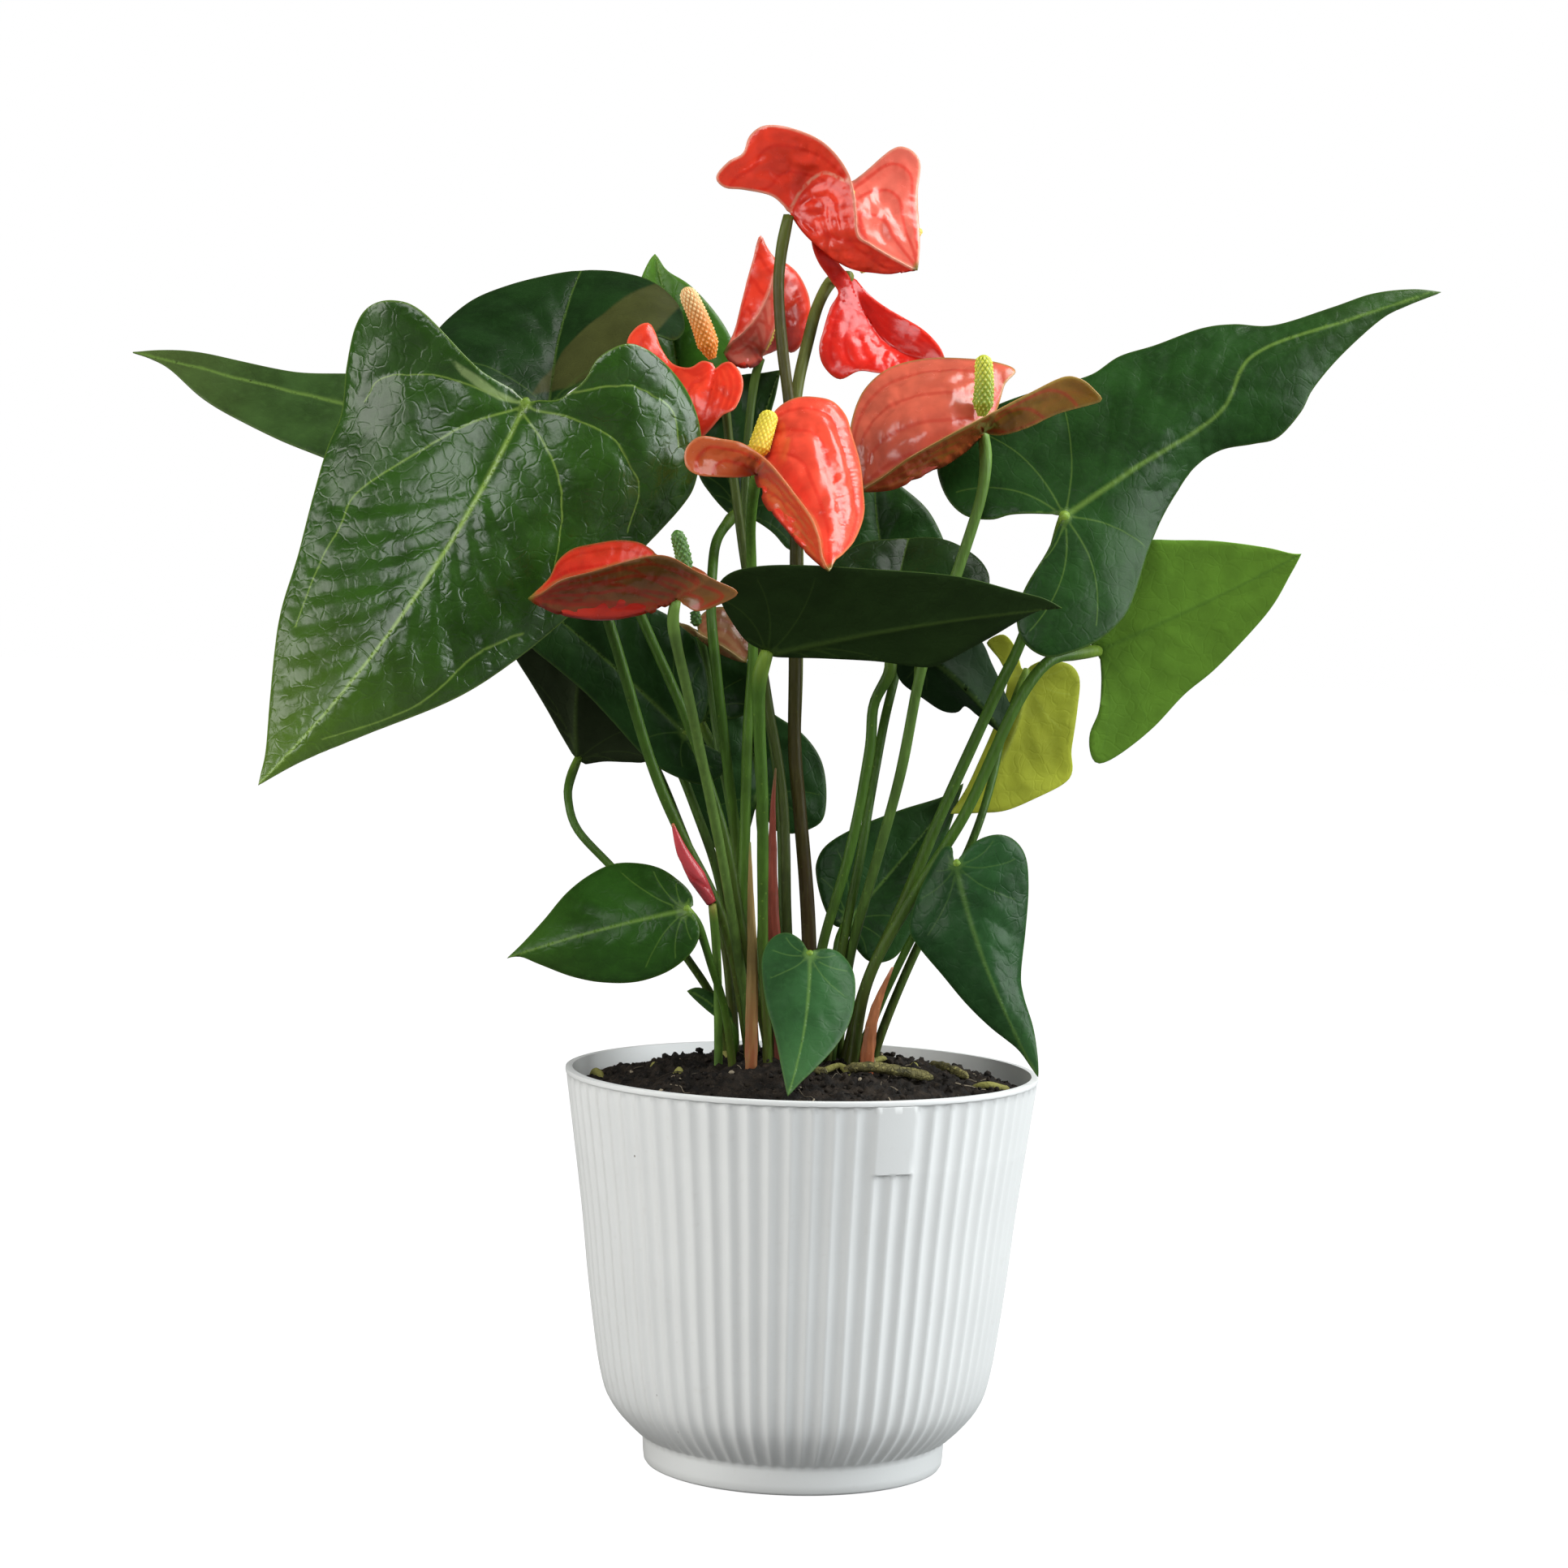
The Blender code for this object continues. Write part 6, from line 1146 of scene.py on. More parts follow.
def add_blade(form, blade, veins, step, thickness, relief, seed):
    """Add a blade's closed, veined and swelling sheet to a form. Its upper side faces the front where
    the blade's face is 1."""
    midrib, edges = blade_lines(blade, step)
    lines = veins(blade, midrib, edges, step)
    flat, depth, triangles, border = blade_surface(blade, lines, midrib, edges, step)
    depth = settle_depths(flat, depth, triangles)
    joint = np.array(blade["joint"][:2], float)
    slope = np.array(blade["tilt"], float)
    points = seen_all(flat, blade["joint"][2] + (flat - joint) @ slope + depth)
    normals = point_normals(points, triangles)
    facing = (normals * (np.array(VIEW_POINT) - points)).sum(1).sum()
    if facing < 0:
        triangles = triangles[:, ::-1]
        normals = -normals
    face = blade.get("face", 1)
    normals *= face
    mark, nearest = vein_marks(flat, lines)
    rim_gap, _ = distance_to(flat[border + border[:1]], flat)
    rib_gap, along = distance_to(as_flat(midrib), flat)
    width = rim_gap + rib_gap
    share = np.where(width > 0, rib_gap / np.maximum(width, 0.01), 0)
    inner = 1 - np.exp(-(rim_gap / SWELLING_RIM) ** 2)
    swell = 1 - np.exp(-(nearest / SWELLING_VALLEY) ** 2)
    rise = relief * swell * inner
    rise += blade["puff"] * width * 4 * share * (1 - share)
    rise -= 0.35 * relief * np.exp(-(rib_gap / MIDRIB_VALLEY) ** 2)
    rise += wave(points, 22.0, seed) * relief * 1.2 * np.exp(-rim_gap / 6.0)
    rise += (wave(points, 5.5, seed + 9) * 0.35 + wave(points, 9.0, seed + 5) * 0.6) * relief * inner
    turned_over = np.zeros(len(flat))
    if blade["name"] in FOLDS:
        outline = np.array(FOLDS[blade["name"]], float)
        gap, _ = distance_to(np.vstack([outline, outline[:1]]), flat)
        turned_over = np.clip(0.5 + np.where(within(outline, flat), gap, -gap) / FOLD_BLUR, 0, 1)
    from_joint = np.linalg.norm(flat - joint, axis=1)
    if "pucker" in blade:
        rows = share * PLEAT_ROWS
        ridge = np.abs(np.sin(math.pi * rows)) ** 0.7
        turns = from_joint / PLEAT_LENGTH + 0.5 * np.floor(rows) + 0.6 * wave(points, 9.0, seed)
        cross = np.cos(2 * math.pi * turns)
        pleats = ridge * (0.72 + 0.38 * cross) * (1 - np.exp(-(rim_gap / PLEAT_RIM) ** 2))
        rise += blade["pucker"] * pleats
        # Painted shade: the hollows between the pleats take the dark vein mark, which darkens the spathe
        # there.
        mark = np.maximum(mark, 0.75 * np.clip(0.75 - pleats, 0, 1) * (1 - np.exp(-rim_gap / 2.0)))
    else:
        rise += np.exp(-(from_joint / KNOB_WIDTH) ** 2)
        mark = np.maximum(mark, np.exp(-(from_joint / (1.2 * KNOB_WIDTH)) ** 4))
    points = points + normals * rise[:, None]
    normals = point_normals(points, triangles) * face
    rib = np.exp(-(rib_gap / 0.9) ** 2) * (1 - along * 0.8)
    half = thickness / 2 * (1 - 0.35 * np.exp(-rim_gap / 1.5))
    over = points + normals * half[:, None]
    under = points - normals * (half + rib * 0.7 * min(1.0, relief * 2))[:, None]
    ring = points[border]
    tangent = np.roll(ring, -1, axis=0) - np.roll(ring, 1, axis=0)
    outward = np.cross(tangent, normals[border])
    outward /= np.maximum(np.linalg.norm(outward, axis=1), 1e-6)[:, None]
    inwards = points[triangles].mean(1).mean(0) - ring
    if (outward * inwards).sum() > 0:
        outward = -outward
    lip = ring + outward * thickness * 0.25
    size = len(points)
    marks = np.zeros((2 * size + len(border), 4))
    closeness = np.clip(1 - rim_gap / BAND_WIDTH, 0, 1)
    marks[:, 0] = np.concatenate([mark, mark, mark[border]])
    marks[:, 1] = np.concatenate([closeness, closeness, np.ones(len(border))])
    marks[:, 2] = np.concatenate([turned_over, 1 - turned_over, turned_over[border]])
    end_gap = np.linalg.norm(flat - flat[len(midrib) - 1], axis=1)
    toned = 0.9 * along + 0.1 * np.exp(-(end_gap / TIP_LENGTH) ** 2)
    marks[:, 3] = np.concatenate([toned, toned, toned[border]])
    faces = [tuple(t) for t in triangles.tolist()]
    faces += [(a + size, c + size, b + size) for a, b, c in triangles.tolist()]
    count = len(border)
    for k in range(count):
        n = (k + 1) % count
        a, b, m, o = border[k], border[n], 2 * size + k, 2 * size + n
        faces.append((a, b, o, m))
        faces.append((m, o, b + size, a + size))
    form.add(np.vstack([over, under, lip]), faces, marks)


def ring_frames(line):
    """Two cross directions at each point of a line, without twist."""
    frames = []
    side = None
    for i in range(len(line)):
        along = (line[min(i + 1, len(line) - 1)] - line[max(i - 1, 0)]).normalized()
        if side is None:
            side = along.orthogonal().normalized()
        side = (side - along * side.dot(along)).normalized()
        frames.append((side, along.cross(side)))
    return frames


def add_tube(form, line, radius_at, sides, marks_at, slot=0, frames=None):
    """Add a closed bar along a line. radius_at and marks_at get a point's place along the line, from 0
    to 1, and its turn round it, from 0 to 1."""
    frames = frames or ring_frames(line)
    points = []
    marks = []
    faces = []
    last = len(line) - 1
    for i, here in enumerate(line):
        u, v = frames[i]
        for k in range(sides):
            turn = k / sides
            angle = 2 * math.pi * turn
            radius = radius_at(i / last, turn)
            points.append(here + u * radius * math.cos(angle) + v * radius * math.sin(angle))
            marks.append(marks_at(i / last, turn))
    for i in range(last):
        for k in range(sides):
            a = i * sides + k
            b = i * sides + (k + 1) % sides
            faces.append((a, b, b + sides, a + sides))
    for end, here in ((0, line[0] * 1.2 - line[1] * 0.2), (last, line[-1] * 1.2 - line[-2] * 0.2)):
        centre = len(points)
        points.append(here)
        marks.append(marks_at(end / last, 0.0))
        for k in range(sides):
            faces.append((end * sides + k, end * sides + (k + 1) % sides, centre))
    form.add([tuple(p) for p in points], faces, marks, slot)


def stalk_points(blade, end):
    """The places that a stalk passes, from its top end down to its foot in the soil."""
    points = [end] + [seen(p) for p in blade["stalk"]]
    root = Vector((blade["root"][0], blade["root"][1], STALK_FOOT))
    above = root.lerp(points[-1], 0.35)
    above.x = root.x + (above.x - root.x) * 0.6
    above.y = root.y + (above.y - root.y) * 0.6
    return points + [above, root]


def add_stalk(form, points, thick, swelling, seed, slot=0):
    """Add a stalk with a thickening under its top and slight unevenness down to its foot."""
    length = line_length(points)
    line = smooth_line(points, max(20, round(length / 2.2)))

    def radius_at(along, turn):
        base = (thick[0] + (thick[1] - thick[0]) * along) / 2
        bulge = swelling * math.exp(-((along * length - 7.0) / 6.0) ** 2)
        uneven = noise.noise(Vector((along * length / 14.0, seed, turn * 0.5))) * 0.06
        return base * (1 + bulge + uneven - 0.08 * math.exp(-(along * length) / 2.0))

    add_tube(form, line, radius_at, 12, lambda along, turn: (0.0, 0.0, 0.0, along), slot)


class ANTHURIUM_OT_pot(bpy.types.Operator):
    """Model the ribbed planter: one rib's strip of wall, spun round the axis"""

    bl_idname = "anthurium.pot"
    bl_label = "Pot"

    def execute(self, context):
        sizes = context.scene.anthurium_sizes
        rows = self.wall_rows()
        columns = 8
        pitch = 2 * math.pi / sizes.rib_count
        bpy.ops.object.select_all(action="DESELECT")
        bpy.ops.mesh.primitive_grid_add(x_subdivisions=columns, y_subdivisions=len(rows) - 1, size=1.0)
        pot = context.active_object
        pot.name = "planter"
        for vertex in pot.data.vertices:
            across = round((vertex.co.x + 0.5) * columns) / columns
            radius, height, ribbed = rows[round((vertex.co.y + 0.5) * (len(rows) - 1))]
            hollow = math.sin(math.pi * across) ** 1.2 * sizes.rib_depth / MM
            radius -= hollow * ribbed
            angle = (across - 0.5) * pitch
            vertex.co = Vector((math.sin(angle) * radius, -math.cos(angle) * radius, height)) * MM
        bpy.ops.object.mode_set(mode="EDIT")
        bpy.ops.mesh.select_all(action="SELECT")
        bpy.ops.mesh.spin(steps=sizes.rib_count - 1, dupli=True,
                          angle=2 * math.pi - pitch, center=(0, 0, 0), axis=(0, 0, 1))
        bpy.ops.mesh.select_all(action="SELECT")
        bpy.ops.mesh.remove_doubles(threshold=0.00002)
        bpy.ops.mesh.dissolve_degenerate(threshold=0.00001)
        bpy.ops.mesh.normals_make_consistent(inside=False)
        bpy.ops.object.mode_set(mode="OBJECT")
        self.raise_plaque(pot)
        bpy.ops.object.shade_smooth_by_angle(angle=math.radians(50))
        pot.data.materials.append(pot_finish("pot_plastic", context.scene.anthurium_colours.pot))
        settle_in(pot, "pot", "pot_plastic")
        return {"FINISHED"}

    def wall_rows(self):
        """Radius, height and share of the ribs of each row, from the floor's centre over the rim and
        down the outside to the underside's centre."""
        floor = INNER_PROFILE[-1][0]
        inside = smooth_line([Vector((r, z, 0.0)) for z, r in reversed(INNER_PROFILE)], 22)
        rows = [(0.0, floor, 0.0), (CENTRE_RADIUS, floor, 0.0)] + [(p.x, p.y, 0.0) for p in inside]
        rows += [(RIM_RADIUS - inset, POT_HEIGHT - drop, ribbed) for inset, drop, ribbed in LIP_PROFILE]
        wall = smooth_line([Vector((r, z, 0.0)) for z, r in WALL_PROFILE], 46)
        outside = [(p.x, p.y, 1.0) for p in wall if WALL_FOOT[1] + 0.2 < p.y < POT_HEIGHT - 2.2]
        outside += [(PLAQUE_RADIUS, PLAQUE_LOW + 0.05, 1.0), (PLAQUE_RADIUS - 0.05, PLAQUE_LOW - 0.35, 1.0),
                    (*WALL_FOOT, 1.0)]
        outside.sort(key=lambda row: -row[1])
        foot = [(r, z, 0.9 * max(0.0, z - RIB_END)) for z, r in FOOT_PROFILE]
        return rows + outside + foot + [(CENTRE_RADIUS, 0.0, 0.0), (0.0, 0.0, 0.0)]

    def raise_plaque(self, pot):
        """Press the ribs flat where the plain plaque is."""
        for vertex in pot.data.vertices:
            azimuth = math.degrees(math.atan2(vertex.co.x, -vertex.co.y))
            height = vertex.co.z / MM
            radius = math.hypot(vertex.co.x, vertex.co.y) / MM
            slope = (height - PLAQUE_LOW) / (POT_HEIGHT - LIP_HEIGHT - PLAQUE_LOW)
            crest = PLAQUE_RADIUS + PLAQUE_WIDENING * slope
            on_wall = radius > crest - 1.4 and PLAQUE_LOW <= height < POT_HEIGHT - LIP_HEIGHT - 0.1
            if on_wall and PLAQUE_AZIMUTH[0] <= azimuth <= PLAQUE_AZIMUTH[1]:
                vertex.co.xy *= (crest + PLAQUE_RISE) / radius


def soil_height(x, y):
    """Height of the crumbly soil mound. Its edge lies a little higher than in the CAD solid."""
    share = min(1.0, math.hypot(x, y) / 66.0)
    mound = SOIL_EDGE_HEIGHT + (SOIL_TOP_HEIGHT - SOIL_EDGE_HEIGHT) * (1 - share ** 2)
    crumbs = noise.noise(Vector((x, y, 3.0)) * 0.09) * 2.2 + noise.noise(Vector((x, y, 9.0)) * 0.23) * 1.1
    return mound + crumbs * (1 - share ** 6)


def soil_surface(x, y):
    """The same mound with its small crumbs."""
    lumps = noise.noise(Vector((x, y, 21.0)) * 0.45) * 1.5
    grit = abs(noise.noise(Vector((x, y, 5.0)) * 1.1)) * 1.7
    return soil_height(x, y) + (lumps + grit) - 0.1


class ANTHURIUM_OT_soil(bpy.types.Operator):
    """Model the soil: a crumbly mound with loose crumbs, pale grains and fine fibres on it"""

    bl_idname = "anthurium.soil"
    bl_label = "Soil"

    def execute(self, context):
        finish = soil_finish("potting_soil", context.scene.anthurium_colours.soil)
        bpy.ops.object.select_all(action="DESELECT")
        bpy.ops.mesh.primitive_grid_add(x_subdivisions=150, y_subdivisions=150, size=2.0)
        soil = context.active_object
        soil.name = "soil_mound"
        for vertex in soil.data.vertices:
            x, y = vertex.co.x, vertex.co.y
            reach = math.sqrt(max(0.0, 1 - y * y / 2))
            reach_y = math.sqrt(max(0.0, 1 - x * x / 2))
            x, y = x * reach * SOIL_RADIUS, y * reach_y * SOIL_RADIUS
            vertex.co = Vector((x, y, soil_surface(x, y))) * MM
        bpy.ops.object.mode_set(mode="EDIT")
        bpy.ops.mesh.select_all(action="SELECT")
        bpy.ops.mesh.region_to_loop()
        bpy.ops.mesh.extrude_region_move(TRANSFORM_OT_translate={"value": (0, 0, -SOIL_DEPTH * MM)})
        bpy.ops.transform.resize(value=(0.985, 0.985, 0.0), center_override=(0, 0, 0.1))
        bpy.ops.mesh.edge_face_add()
        bpy.ops.mesh.select_all(action="SELECT")
        bpy.ops.mesh.normals_make_consistent(inside=False)
        bpy.ops.object.mode_set(mode="OBJECT")
        bpy.ops.object.shade_smooth()
        soil.data.materials.append(finish)
        settle_in(soil, "soil", "potting_soil")
        self.scatter(context, finish)
        return {"FINISHED"}

    def place(self, chance, reach):
        """A chance place on the soil, at most reach mm from the middle."""
        angle = chance.uniform(0, 2 * math.pi)
        out = math.sqrt(chance.random()) * reach
        return out * math.cos(angle), out * math.sin(angle)

    def scatter(self, context, finish):
        """Loose crumbs, copied from one small stone, with fibres and small root ends."""
        chance = random.Random(5)
        bpy.ops.object.select_all(action="DESELECT")
        bpy.ops.mesh.primitive_ico_sphere_add(subdivisions=1, radius=1.0)
        stone = context.active_object
        corners = [v.co.copy() for v in stone.data.vertices]
        faces = [tuple(p.vertices) for p in stone.data.polygons]
        bpy.data.objects.remove(stone)
        form = Form()
        for _ in range(context.scene.anthurium_sizes.crumb_count):
            x, y = self.place(chance, CRUMB_REACH)
            size = chance.choice(CRUMB_SIZES)
            turn = Matrix.Rotation(chance.uniform(0, 6.28), 3, "Z")
            turn = turn @ Matrix.Rotation(chance.uniform(0, 3), 3, "X")
            centre = Vector((x, y, soil_surface(x, y) + size * 0.25))
            squash = Vector((chance.uniform(0.7, 1.4), chance.uniform(0.6, 1.0), chance.uniform(0.45, 0.9)))
            places = []
            for corner in corners:
                dent = 1 + 0.25 * noise.noise(corner * 2 + centre)
                places.append(centre + turn @ Vector((corner.x * squash.x, corner.y * squash.y,
                                                      corner.z * squash.z)) * size * dent)
            pale = 1.0 if chance.random() < PALE_SHARE and size < 1.0 else 0.0
            form.add([tuple(p) for p in places], faces, [(pale, 0, 0, 0)] * len(places))
        for _ in range(FIBRE_COUNT):
            x, y = self.place(chance, FIBRE_REACH)
            heading = chance.uniform(0, 2 * math.pi)
            places = []
            for _ in range(5):
                places.append(Vector((x, y, soil_surface(x, y) + 0.35)))
                heading += chance.uniform(-0.7, 0.7)
                x += math.cos(heading) * FIBRE_STEP
                y += math.sin(heading) * FIBRE_STEP
            thin = chance.uniform(0.12, 0.3)
            tone = chance.uniform(0.25, 0.8)
            add_tube(form, smooth_line(places, 10), lambda along, turn: thin * (1 - 0.6 * along), 5,
                     lambda along, turn: (tone, 0, 0, 0))
        for width, path in ROOTLETS:
            line = smooth_line([Vector((x, y, soil_surface(x, y) + lift)) for x, y, lift in path], 24)

            def radius_at(along, turn):
                return width / 2 * min(1.0, 0.3 + 5 * min(along, 1 - along))

            add_tube(form, line, radius_at, 8, lambda along, turn: (0, 1, 0, 0))
        litter = form.make("soil_crumbs", [finish])
        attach(litter, "root")


class ANTHURIUM_OT_roots(bpy.types.Operator):
    """Model the aerial roots that lie on the soil"""

    bl_idname = "anthurium.roots"
    bl_label = "Aerial roots"

    def execute(self, context):
        colour = context.scene.anthurium_colours.root
        for number, root in enumerate(ROOTS):
            half = root["width"] / 2
            points = [Vector((x, y, soil_height(x, y) + half + 0.5 + lift)) for x, y, lift in root["path"]]
            line = smooth_line(points, 48)
            form = Form()

            def radius_at(along, turn):
                spot = spot_on(line, along)
                end = min(1.0, 0.35 + 7 * min(along, 1 - along))
                knobs = noise.noise(Vector((along * 9, number * 3.0, 0))) * 0.22
                round_it = Vector((math.cos(turn * 6.28), math.sin(turn * 6.28), 0))
                bark = noise.noise(spot * 0.8 + round_it * 1.6)
                return half * end * (0.92 + knobs + bark * 0.16)

            add_tube(form, line, radius_at, 20, lambda along, turn: (0, 0, 0, along))
            tan = (0.33, 0.26, 0.13) if number == 0 else tuple(colour)
            finish = bark_finish(root["name"] + "_bark", tan, shade(tan, 0.35), shade(tan, 1.9))
            settle_in(form.make(root["name"] + "_skin", [finish]), root["name"], "aerial_root")
        return {"FINISHED"}


def width_at(widths, along):
    """Half width at a place along a line whose half widths are spread evenly over it."""
    t = along * (len(widths) - 1)
    j = min(int(t), len(widths) - 2)
    return widths[j] + (widths[j + 1] - widths[j]) * (t - j)


class ANTHURIUM_OT_sheaths(bpy.types.Operator):
    """Model the dry sheaths and the closed bud with its stalk"""

    bl_idname = "anthurium.sheaths"
    bl_label = "Sheaths and bud"

    def execute(self, context):
        for number, sheath in enumerate(SHEATHS):
            points = [seen(p) for p in sheath["path"]]
            points.append(Vector((sheath["root"][0], sheath["root"][1], STALK_FOOT)))
            line = smooth_line(points, 60)
            flat = [(Vector((1, 0, 0)), Vector((0, 0.55, 0)))] * len(line)
            form = Form()

            def radius_at(along, turn):
                wide = width_at(sheath["widths"], along)
                drift = noise.noise(Vector((along * 8, number, 0))) * 3
                pleats = 0.06 * math.cos(turn * 2 * math.pi * 7 + drift)
                return wide * (0.9 + pleats + 0.12 * noise.noise(Vector((along * 14, turn * 4, number))))

            add_tube(form, line, radius_at, 36, lambda along, turn: (0, 0, 0, along), frames=flat)
            finish = stalk_finish(sheath["name"] + "_skin", *sheath["colours"])
            settle_in(form.make(sheath["name"] + "_husk", [finish]), sheath["name"], "dry_sheath")
        self.bud(context)
        return {"FINISHED"}

    def bud(self, context):
        """The rolled bud and the stalk under it."""
        colour = context.scene.anthurium_colours.bud
        line = smooth_line([seen(p) for p in BUD["path"]], 44)
        form = Form()

        def radius_at(along, turn):
            fold = 0.14 * max(0.0, 1 - abs((turn + along * 0.9) % 1.0 - 0.5) * 14)
            return width_at(BUD["widths"], along) * (0.98 - fold)

        # Painted shade: the groove where the rolled spathe overlaps takes the dark vein mark, which darkens
        # it.
        def marks_at(along, turn):
            seam_shade = max(0.0, 1 - abs((turn + along * 0.9) % 1.0 - 0.5) * 14)
            return (seam_shade, 0.0, 0.0, 1 - along)

        add_tube(form, line, radius_at, 40, marks_at)
        finish = spathe_finish("bud_skin", colour, colour, colour, shade(colour, 1.2), (0.42, 0.12, 0.04))
        settle_in(form.make("bud_rolled", [finish]), "bud", "bud_red")
        points = [seen(p) for p in BUD_STALK["path"]]
        points.append(Vector((BUD_STALK["root"][0], BUD_STALK["root"][1], STALK_FOOT)))
        form = Form()
        add_stalk(form, points, (BUD_STALK["width"], BUD_STALK["width"]), 0.0, 3.0)
        green = stalk_finish("bud_stalk_skin", (0.30, 0.30, 0.06), (0.10, 0.20, 0.03), (0.05, 0.09, 0.02))
        settle_in(form.make("bud_stem", [green]), "bud_stalk", "stalk_green")


class ANTHURIUM_OT_leaves(bpy.types.Operator):
    """Model the leaves: veined, quilted blades on their stalks"""

    bl_idname = "anthurium.leaves"
    bl_label = "Leaves"

    def execute(self, context):
        sizes = context.scene.anthurium_sizes
        colours = context.scene.anthurium_colours
        for number, leaf in enumerate(LEAVES):
            form = Form()
            relief = sizes.quilting / MM * leaf.get("quilt", 1.0)
            add_blade(form, leaf, leaf_veins, sizes.blade_grain / MM,
                      sizes.blade_thickness / MM, relief, number)
            joint = seen(leaf["joint"])
            below = seen(leaf["stalk"][0])
            beyond = joint + (joint - below).normalized() * 1.2
            add_stalk(form, stalk_points(leaf, beyond), leaf["thick"], 0.22, number + 0.5, slot=1)
            colour = leaf["colour"]
            bright = max(colour)
            vein = tuple(colours.vein) if bright < 0.2 else shade(colour, 1.5)
            shown = tuple(c + (v - c) * leaf["show"] for c, v in zip(shade(colour, 1.6), vein))
            vein = leaf.get("vein", shown)
            under = leaf.get("under", tuple(colours.underside) if bright < 0.2 else shade(colour, 0.85))
            blade_skin = leaf_finish(leaf["name"] + "_skin", leaf, vein, under)
            stalk_skin = stalk_finish(leaf["name"] + "_stalk", *STALK_COLOURS)
            obj = form.make(leaf["name"] + "_grown", [blade_skin, stalk_skin])
            settle_in(obj, leaf["name"], LEAF_SLOTS.get(leaf["name"], "dark_leaf"))
        return {"FINISHED"}


class ANTHURIUM_OT_blooms(bpy.types.Operator):
    """Model the blooms: spathe, spadix of packed florets and stalk"""

    bl_idname = "anthurium.blooms"
    bl_label = "Blooms"

    def execute(self, context):
        sizes = context.scene.anthurium_sizes
        for number, bloom in enumerate(BLOOMS):
            name = bloom["name"]
            form = Form()
            add_blade(form, bloom, spathe_veins, sizes.blade_grain / MM * 0.8,
                      sizes.spathe_thickness / MM, 0.7, number + 40)
            colour = bloom["colour"]
            outside = bloom["outside"]
            outside_foot = bloom.get("outside_foot", outside)
            skin = spathe_finish(name + "_petal", colour, outside, outside_foot, bloom["edge"],
                                 SPATHE_TIP)
            settle_in(form.make(name + "_petal", [skin]), name + "_spathe",
                      SPATHE_SLOTS.get(name, "coral_spathe"))
            self.spadix(context, bloom, number)
            self.stalk(bloom, number)
        return {"FINISHED"}

    def stalk(self, bloom, number):
        """The bloom's own stalk, which ends close under the spathe's joint."""
        joint = seen(bloom["joint"])
        below = seen(bloom["stalk"][0])
        outwards = (below - joint).normalized()
        form = Form()
        add_stalk(form, stalk_points(bloom, joint + outwards * 0.8), bloom["thick"], 0.12, number + 30.5)
        middle = bloom["stalk_colour"]
        top = bloom.get("stalk_top", shade(middle, 1.8))
        foot = bloom.get("stalk_foot", shade(middle, 0.55))
        skin = stalk_finish(bloom["name"] + "_stem", top, middle, foot)
        settle_in(form.make(bloom["name"] + "_stem", [skin]), bloom["name"] + "_stalk", "stalk_green")

    def spadix(self, context, bloom, number):
        """The tapered spike, covered with florets in staggered rows."""
        pitch = context.scene.anthurium_sizes.floret_pitch / MM
        places = [seen(p) for p in bloom["spadix"]]
        length = line_length(places)
        widest = bloom["spadix_width"] / 2
        around = max(6, round(2 * math.pi * widest / pitch))
        row = pitch * 0.55
        line = smooth_line(places, max(24, round(length / row * 3.4)))

        def floret(along, turn):
            """How far out a place is on its floret: 0 at the centre, 1 at the edge."""
            least = 9.0
            for shift in (0.0, 0.5):
                across = abs((turn * around + shift) % 1.0 - 0.5) * 2
                up = abs((along * length / row / 2 + shift) % 1.0 - 0.5) * 2
                least = min(least, across + up)
            return min(1.0, least)

        def radius_at(along, turn):
            swell = min(1.0, 0.35 + 3.2 * along) * (1 - 0.22 * along)
            if along > 0.85:
                swell *= math.sqrt(max(0.02, 1 - ((along - 0.85) / 0.153) ** 2))
            out = floret(along, turn)
            knob = 0.30 * max(0.0, 1 - 2.2 * out) - 0.3 * out ** 2
            return widest * swell * 0.94 + knob * min(1.0, swell * 1.5)

        def marks_at(along, turn):
            out = floret(along, turn)
            # The green mark is 1 at a floret's centre and 0 in the gaps between florets, where the finish
            # paints shade.
            return (max(0.0, 1 - out * 1.6), 1 - out, 0.0, along)

        form = Form()
        add_tube(form, line, radius_at, around * 7, marks_at)
        colour = bloom["spadix_colour"]
        tip = bloom.get("spadix_tip", shade(colour, 1.05))
        dot = bloom.get("spadix_dot", shade(colour, 1.35))
        skin = spadix_finish(bloom["name"] + "_florets", colour, tip, dot)
        settle_in(form.make(bloom["name"] + "_florets", [skin]), bloom["name"] + "_spadix",
                  SPADIX_SLOTS.get(bloom["name"], "yellow_spadix"))


# Place in metres, size in metres and colour of each soft light
LIGHTS = {
    "right": ((1.25, -0.25, 0.65), 0.9, (0.93, 0.97, 1.0)),
    "top": ((0.75, 0.1, 1.4), 0.8, (1.0, 1.0, 1.0)),
    "front": ((-0.29, -1.36, 1.05), 0.8, (0.97, 0.985, 1.0)),
    "left": ((-1.3, -0.5, 0.55), 1.0, (1.0, 0.985, 0.96)),
}


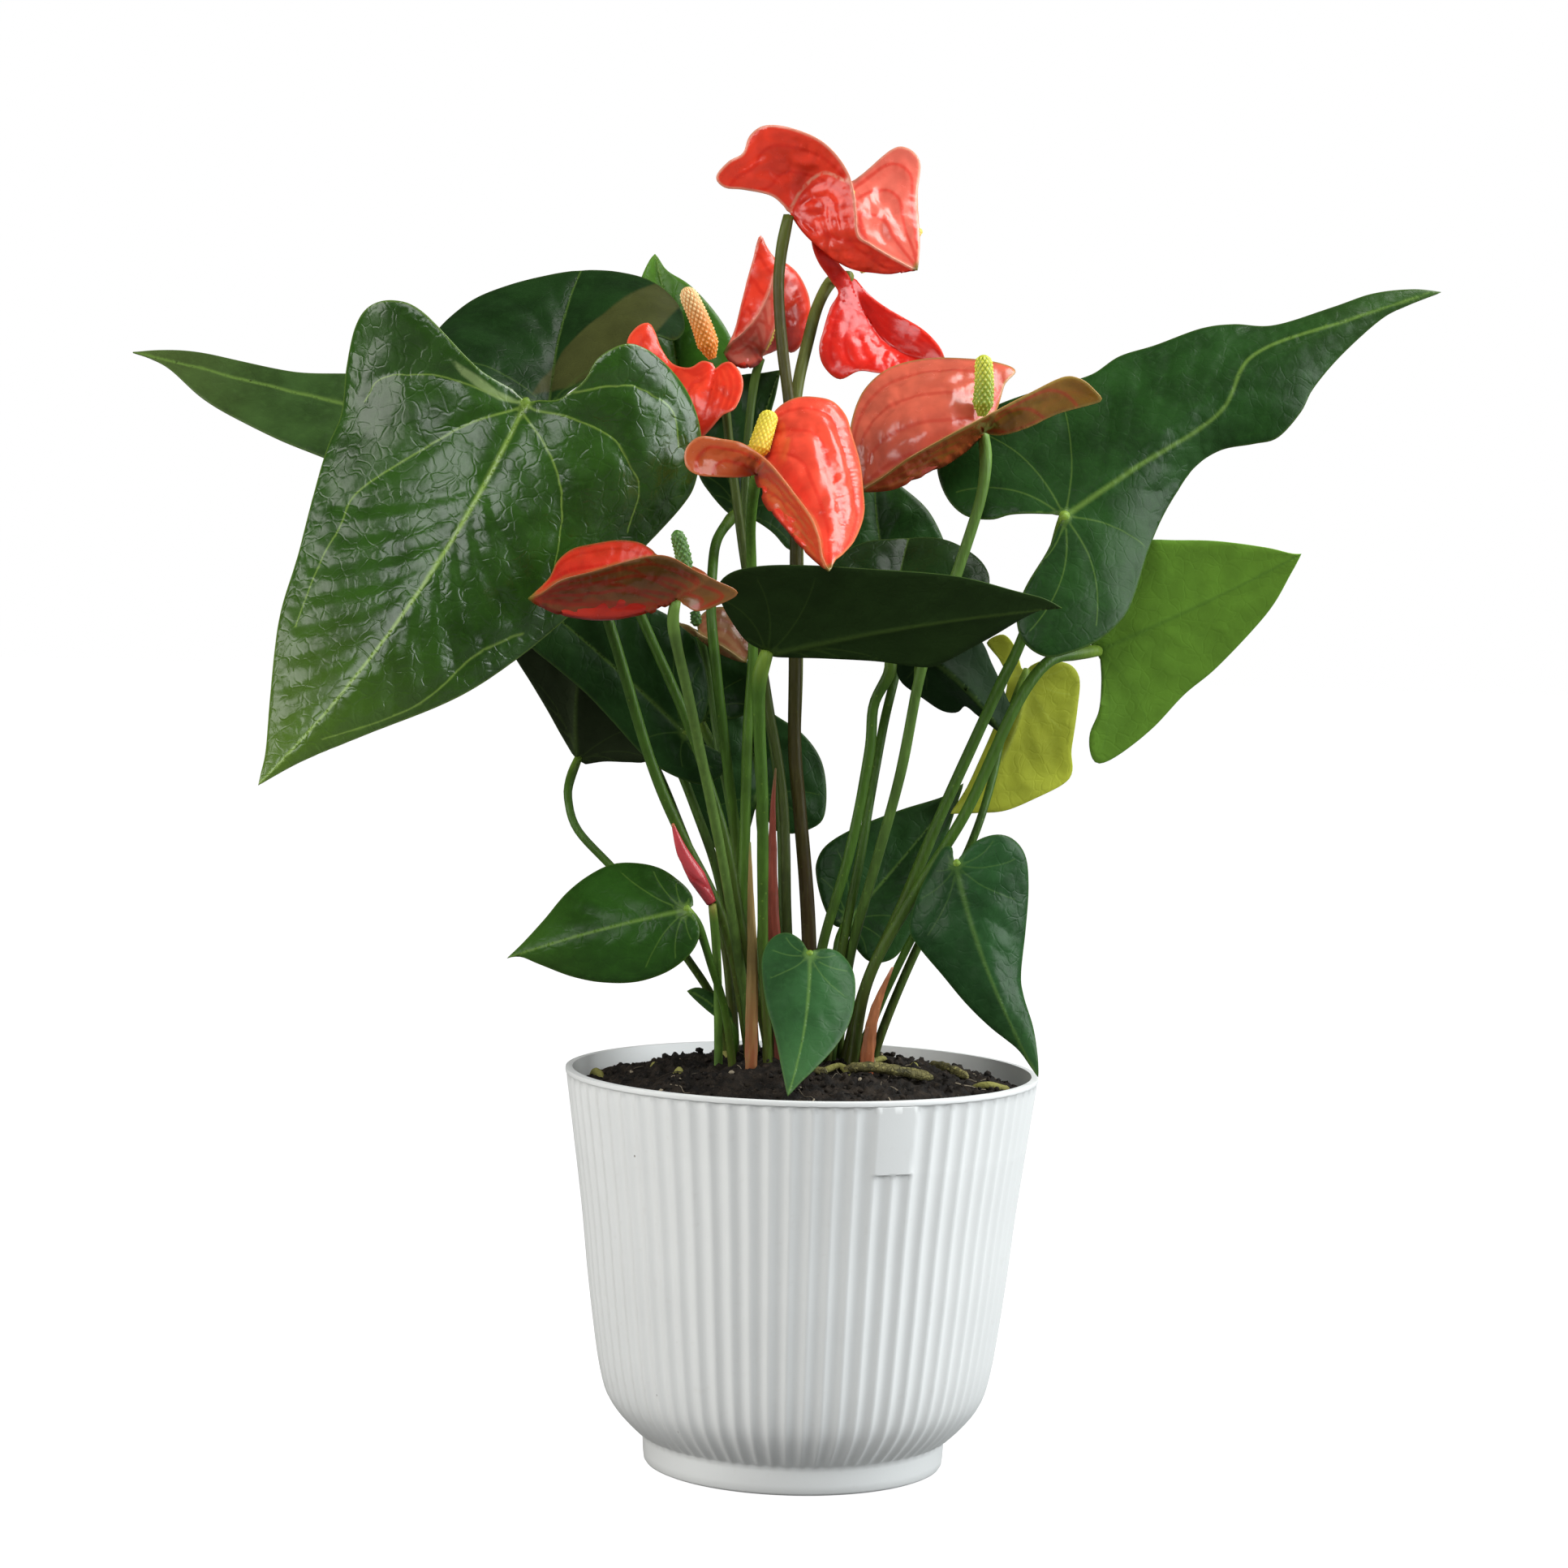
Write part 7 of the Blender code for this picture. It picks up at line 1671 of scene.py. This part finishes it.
class ANTHURIUM_OT_stage(bpy.types.Operator):
    """Set the pale floor, the soft lights and the camera of the photo"""

    bl_idname = "anthurium.stage"
    bl_label = "Stage"

    def execute(self, context):
        settings = context.scene.anthurium_stage
        self.floor(settings)
        self.room(context, settings)
        for side, (place, size, colour) in LIGHTS.items():
            self.light("light_" + side, place, size, getattr(settings, side + "_light"), colour)
        lens = bpy.data.cameras.new("camera")
        lens.lens = VIEW_LENS
        lens.sensor_width = 36.0
        camera = bpy.data.objects.new("camera", lens)
        context.scene.collection.objects.link(camera)
        tilt = Matrix.Rotation(math.radians(90.0 - VIEW_PITCH), 4, "X")
        roll = Matrix.Rotation(math.radians(VIEW_ROLL), 4, "Z")
        camera.matrix_world = Matrix.Translation(VIEW_POINT * MM) @ tilt @ roll
        context.scene.camera = camera
        context.scene.view_settings.view_transform = "Standard"
        return {"FINISHED"}

    def floor(self, settings):
        """A wide pale disc under the pot."""
        bpy.ops.object.select_all(action="DESELECT")
        bpy.ops.mesh.primitive_circle_add(vertices=96, radius=settings.floor_radius, fill_type="NGON",
                                          location=(0, 0, -0.0004))
        floor = bpy.context.active_object
        floor.name = "floor"
        bpy.ops.object.transform_apply(location=True)
        finish = Finish("floor_white", {"Specular IOR Level": 0.0, "Roughness": 0.9,
                                        "Emission Color": (1.0, 1.0, 1.0)})
        cloud = finish.patches(400.0, 2.0, 0.2, 0.8)
        path = finish.nodes.new("ShaderNodeLightPath")
        finish.feed(finish.shader.inputs["Emission Strength"], path.outputs["Is Camera Ray"])
        pale = finish.blend(cloud, (0.19, 0.19, 0.19), (0.21, 0.21, 0.21))
        floor.data.materials.append(finish.done(pale))

    def room(self, context, settings):
        """Even white light from all round, and a white background for the camera."""
        world = bpy.data.worlds.new("white_room")
        context.scene.world = world
        world.use_nodes = True
        nodes = world.node_tree.nodes
        links = world.node_tree.links
        background = nodes["Background"]
        background.inputs["Color"].default_value = (1.0, 1.0, 1.0, 1.0)
        background.inputs["Strength"].default_value = settings.room_light
        bright = nodes.new("ShaderNodeBackground")
        bright.inputs["Color"].default_value = (1.0, 1.0, 1.0, 1.0)
        bright.inputs["Strength"].default_value = 1.0
        path = nodes.new("ShaderNodeLightPath")
        mix = nodes.new("ShaderNodeMixShader")
        links.new(path.outputs["Is Camera Ray"], mix.inputs[0])
        links.new(background.outputs[0], mix.inputs[1])
        links.new(bright.outputs[0], mix.inputs[2])
        links.new(mix.outputs[0], nodes["World Output"].inputs["Surface"])

    def light(self, name, place, size, power, colour):
        """A square soft light aimed at the plant."""
        lamp = bpy.data.lights.new(name, "AREA")
        lamp.size = size
        lamp.energy = power
        lamp.color = colour
        obj = bpy.data.objects.new(name, lamp)
        bpy.context.scene.collection.objects.link(obj)
        towards = Vector((0.0, 0.0, 0.2)) - Vector(place)
        obj.matrix_world = Matrix.Translation(place) @ towards.to_track_quat("-Z", "Y").to_matrix().to_4x4()


PIECES = (ANTHURIUM_OT_pot, ANTHURIUM_OT_soil, ANTHURIUM_OT_roots, ANTHURIUM_OT_sheaths,
          ANTHURIUM_OT_leaves, ANTHURIUM_OT_blooms, ANTHURIUM_OT_stage)


class ANTHURIUM_PT_panel(bpy.types.Panel):
    """Sizes, colours and steps of the potted anthurium."""

    bl_idname = "ANTHURIUM_PT_panel"
    bl_label = "Potted anthurium"
    bl_space_type = "VIEW_3D"
    bl_region_type = "UI"
    bl_category = "Anthurium"

    def draw(self, context):
        column = self.layout.column()
        for group in GROUPS:
            settings = getattr(context.scene, group)
            for name in settings.bl_rna.properties.keys():
                if name not in ("rna_type", "name"):
                    column.prop(settings, name)
        for piece in PIECES:
            column.operator(piece.bl_idname)


GROUPS = {"anthurium_sizes": PlantSizes, "anthurium_colours": PlantColours,
          "anthurium_stage": StageSettings}


def register():
    for group in GROUPS.values():
        bpy.utils.register_class(group)
    for piece in PIECES:
        bpy.utils.register_class(piece)
    bpy.utils.register_class(ANTHURIUM_PT_panel)
    for name, group in GROUPS.items():
        setattr(bpy.types.Scene, name, bpy.props.PointerProperty(type=group))


def unregister():
    for name in GROUPS:
        delattr(bpy.types.Scene, name)
    bpy.utils.unregister_class(ANTHURIUM_PT_panel)
    for piece in reversed(PIECES):
        bpy.utils.unregister_class(piece)
    for group in GROUPS.values():
        bpy.utils.unregister_class(group)


def main():
    register()
    bpy.ops.anthurium.pot()
    bpy.ops.anthurium.soil()
    bpy.ops.anthurium.roots()
    bpy.ops.anthurium.sheaths()
    bpy.ops.anthurium.leaves()
    bpy.ops.anthurium.blooms()
    bpy.ops.anthurium.stage()
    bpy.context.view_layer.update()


if __name__ == "__main__":
    main()
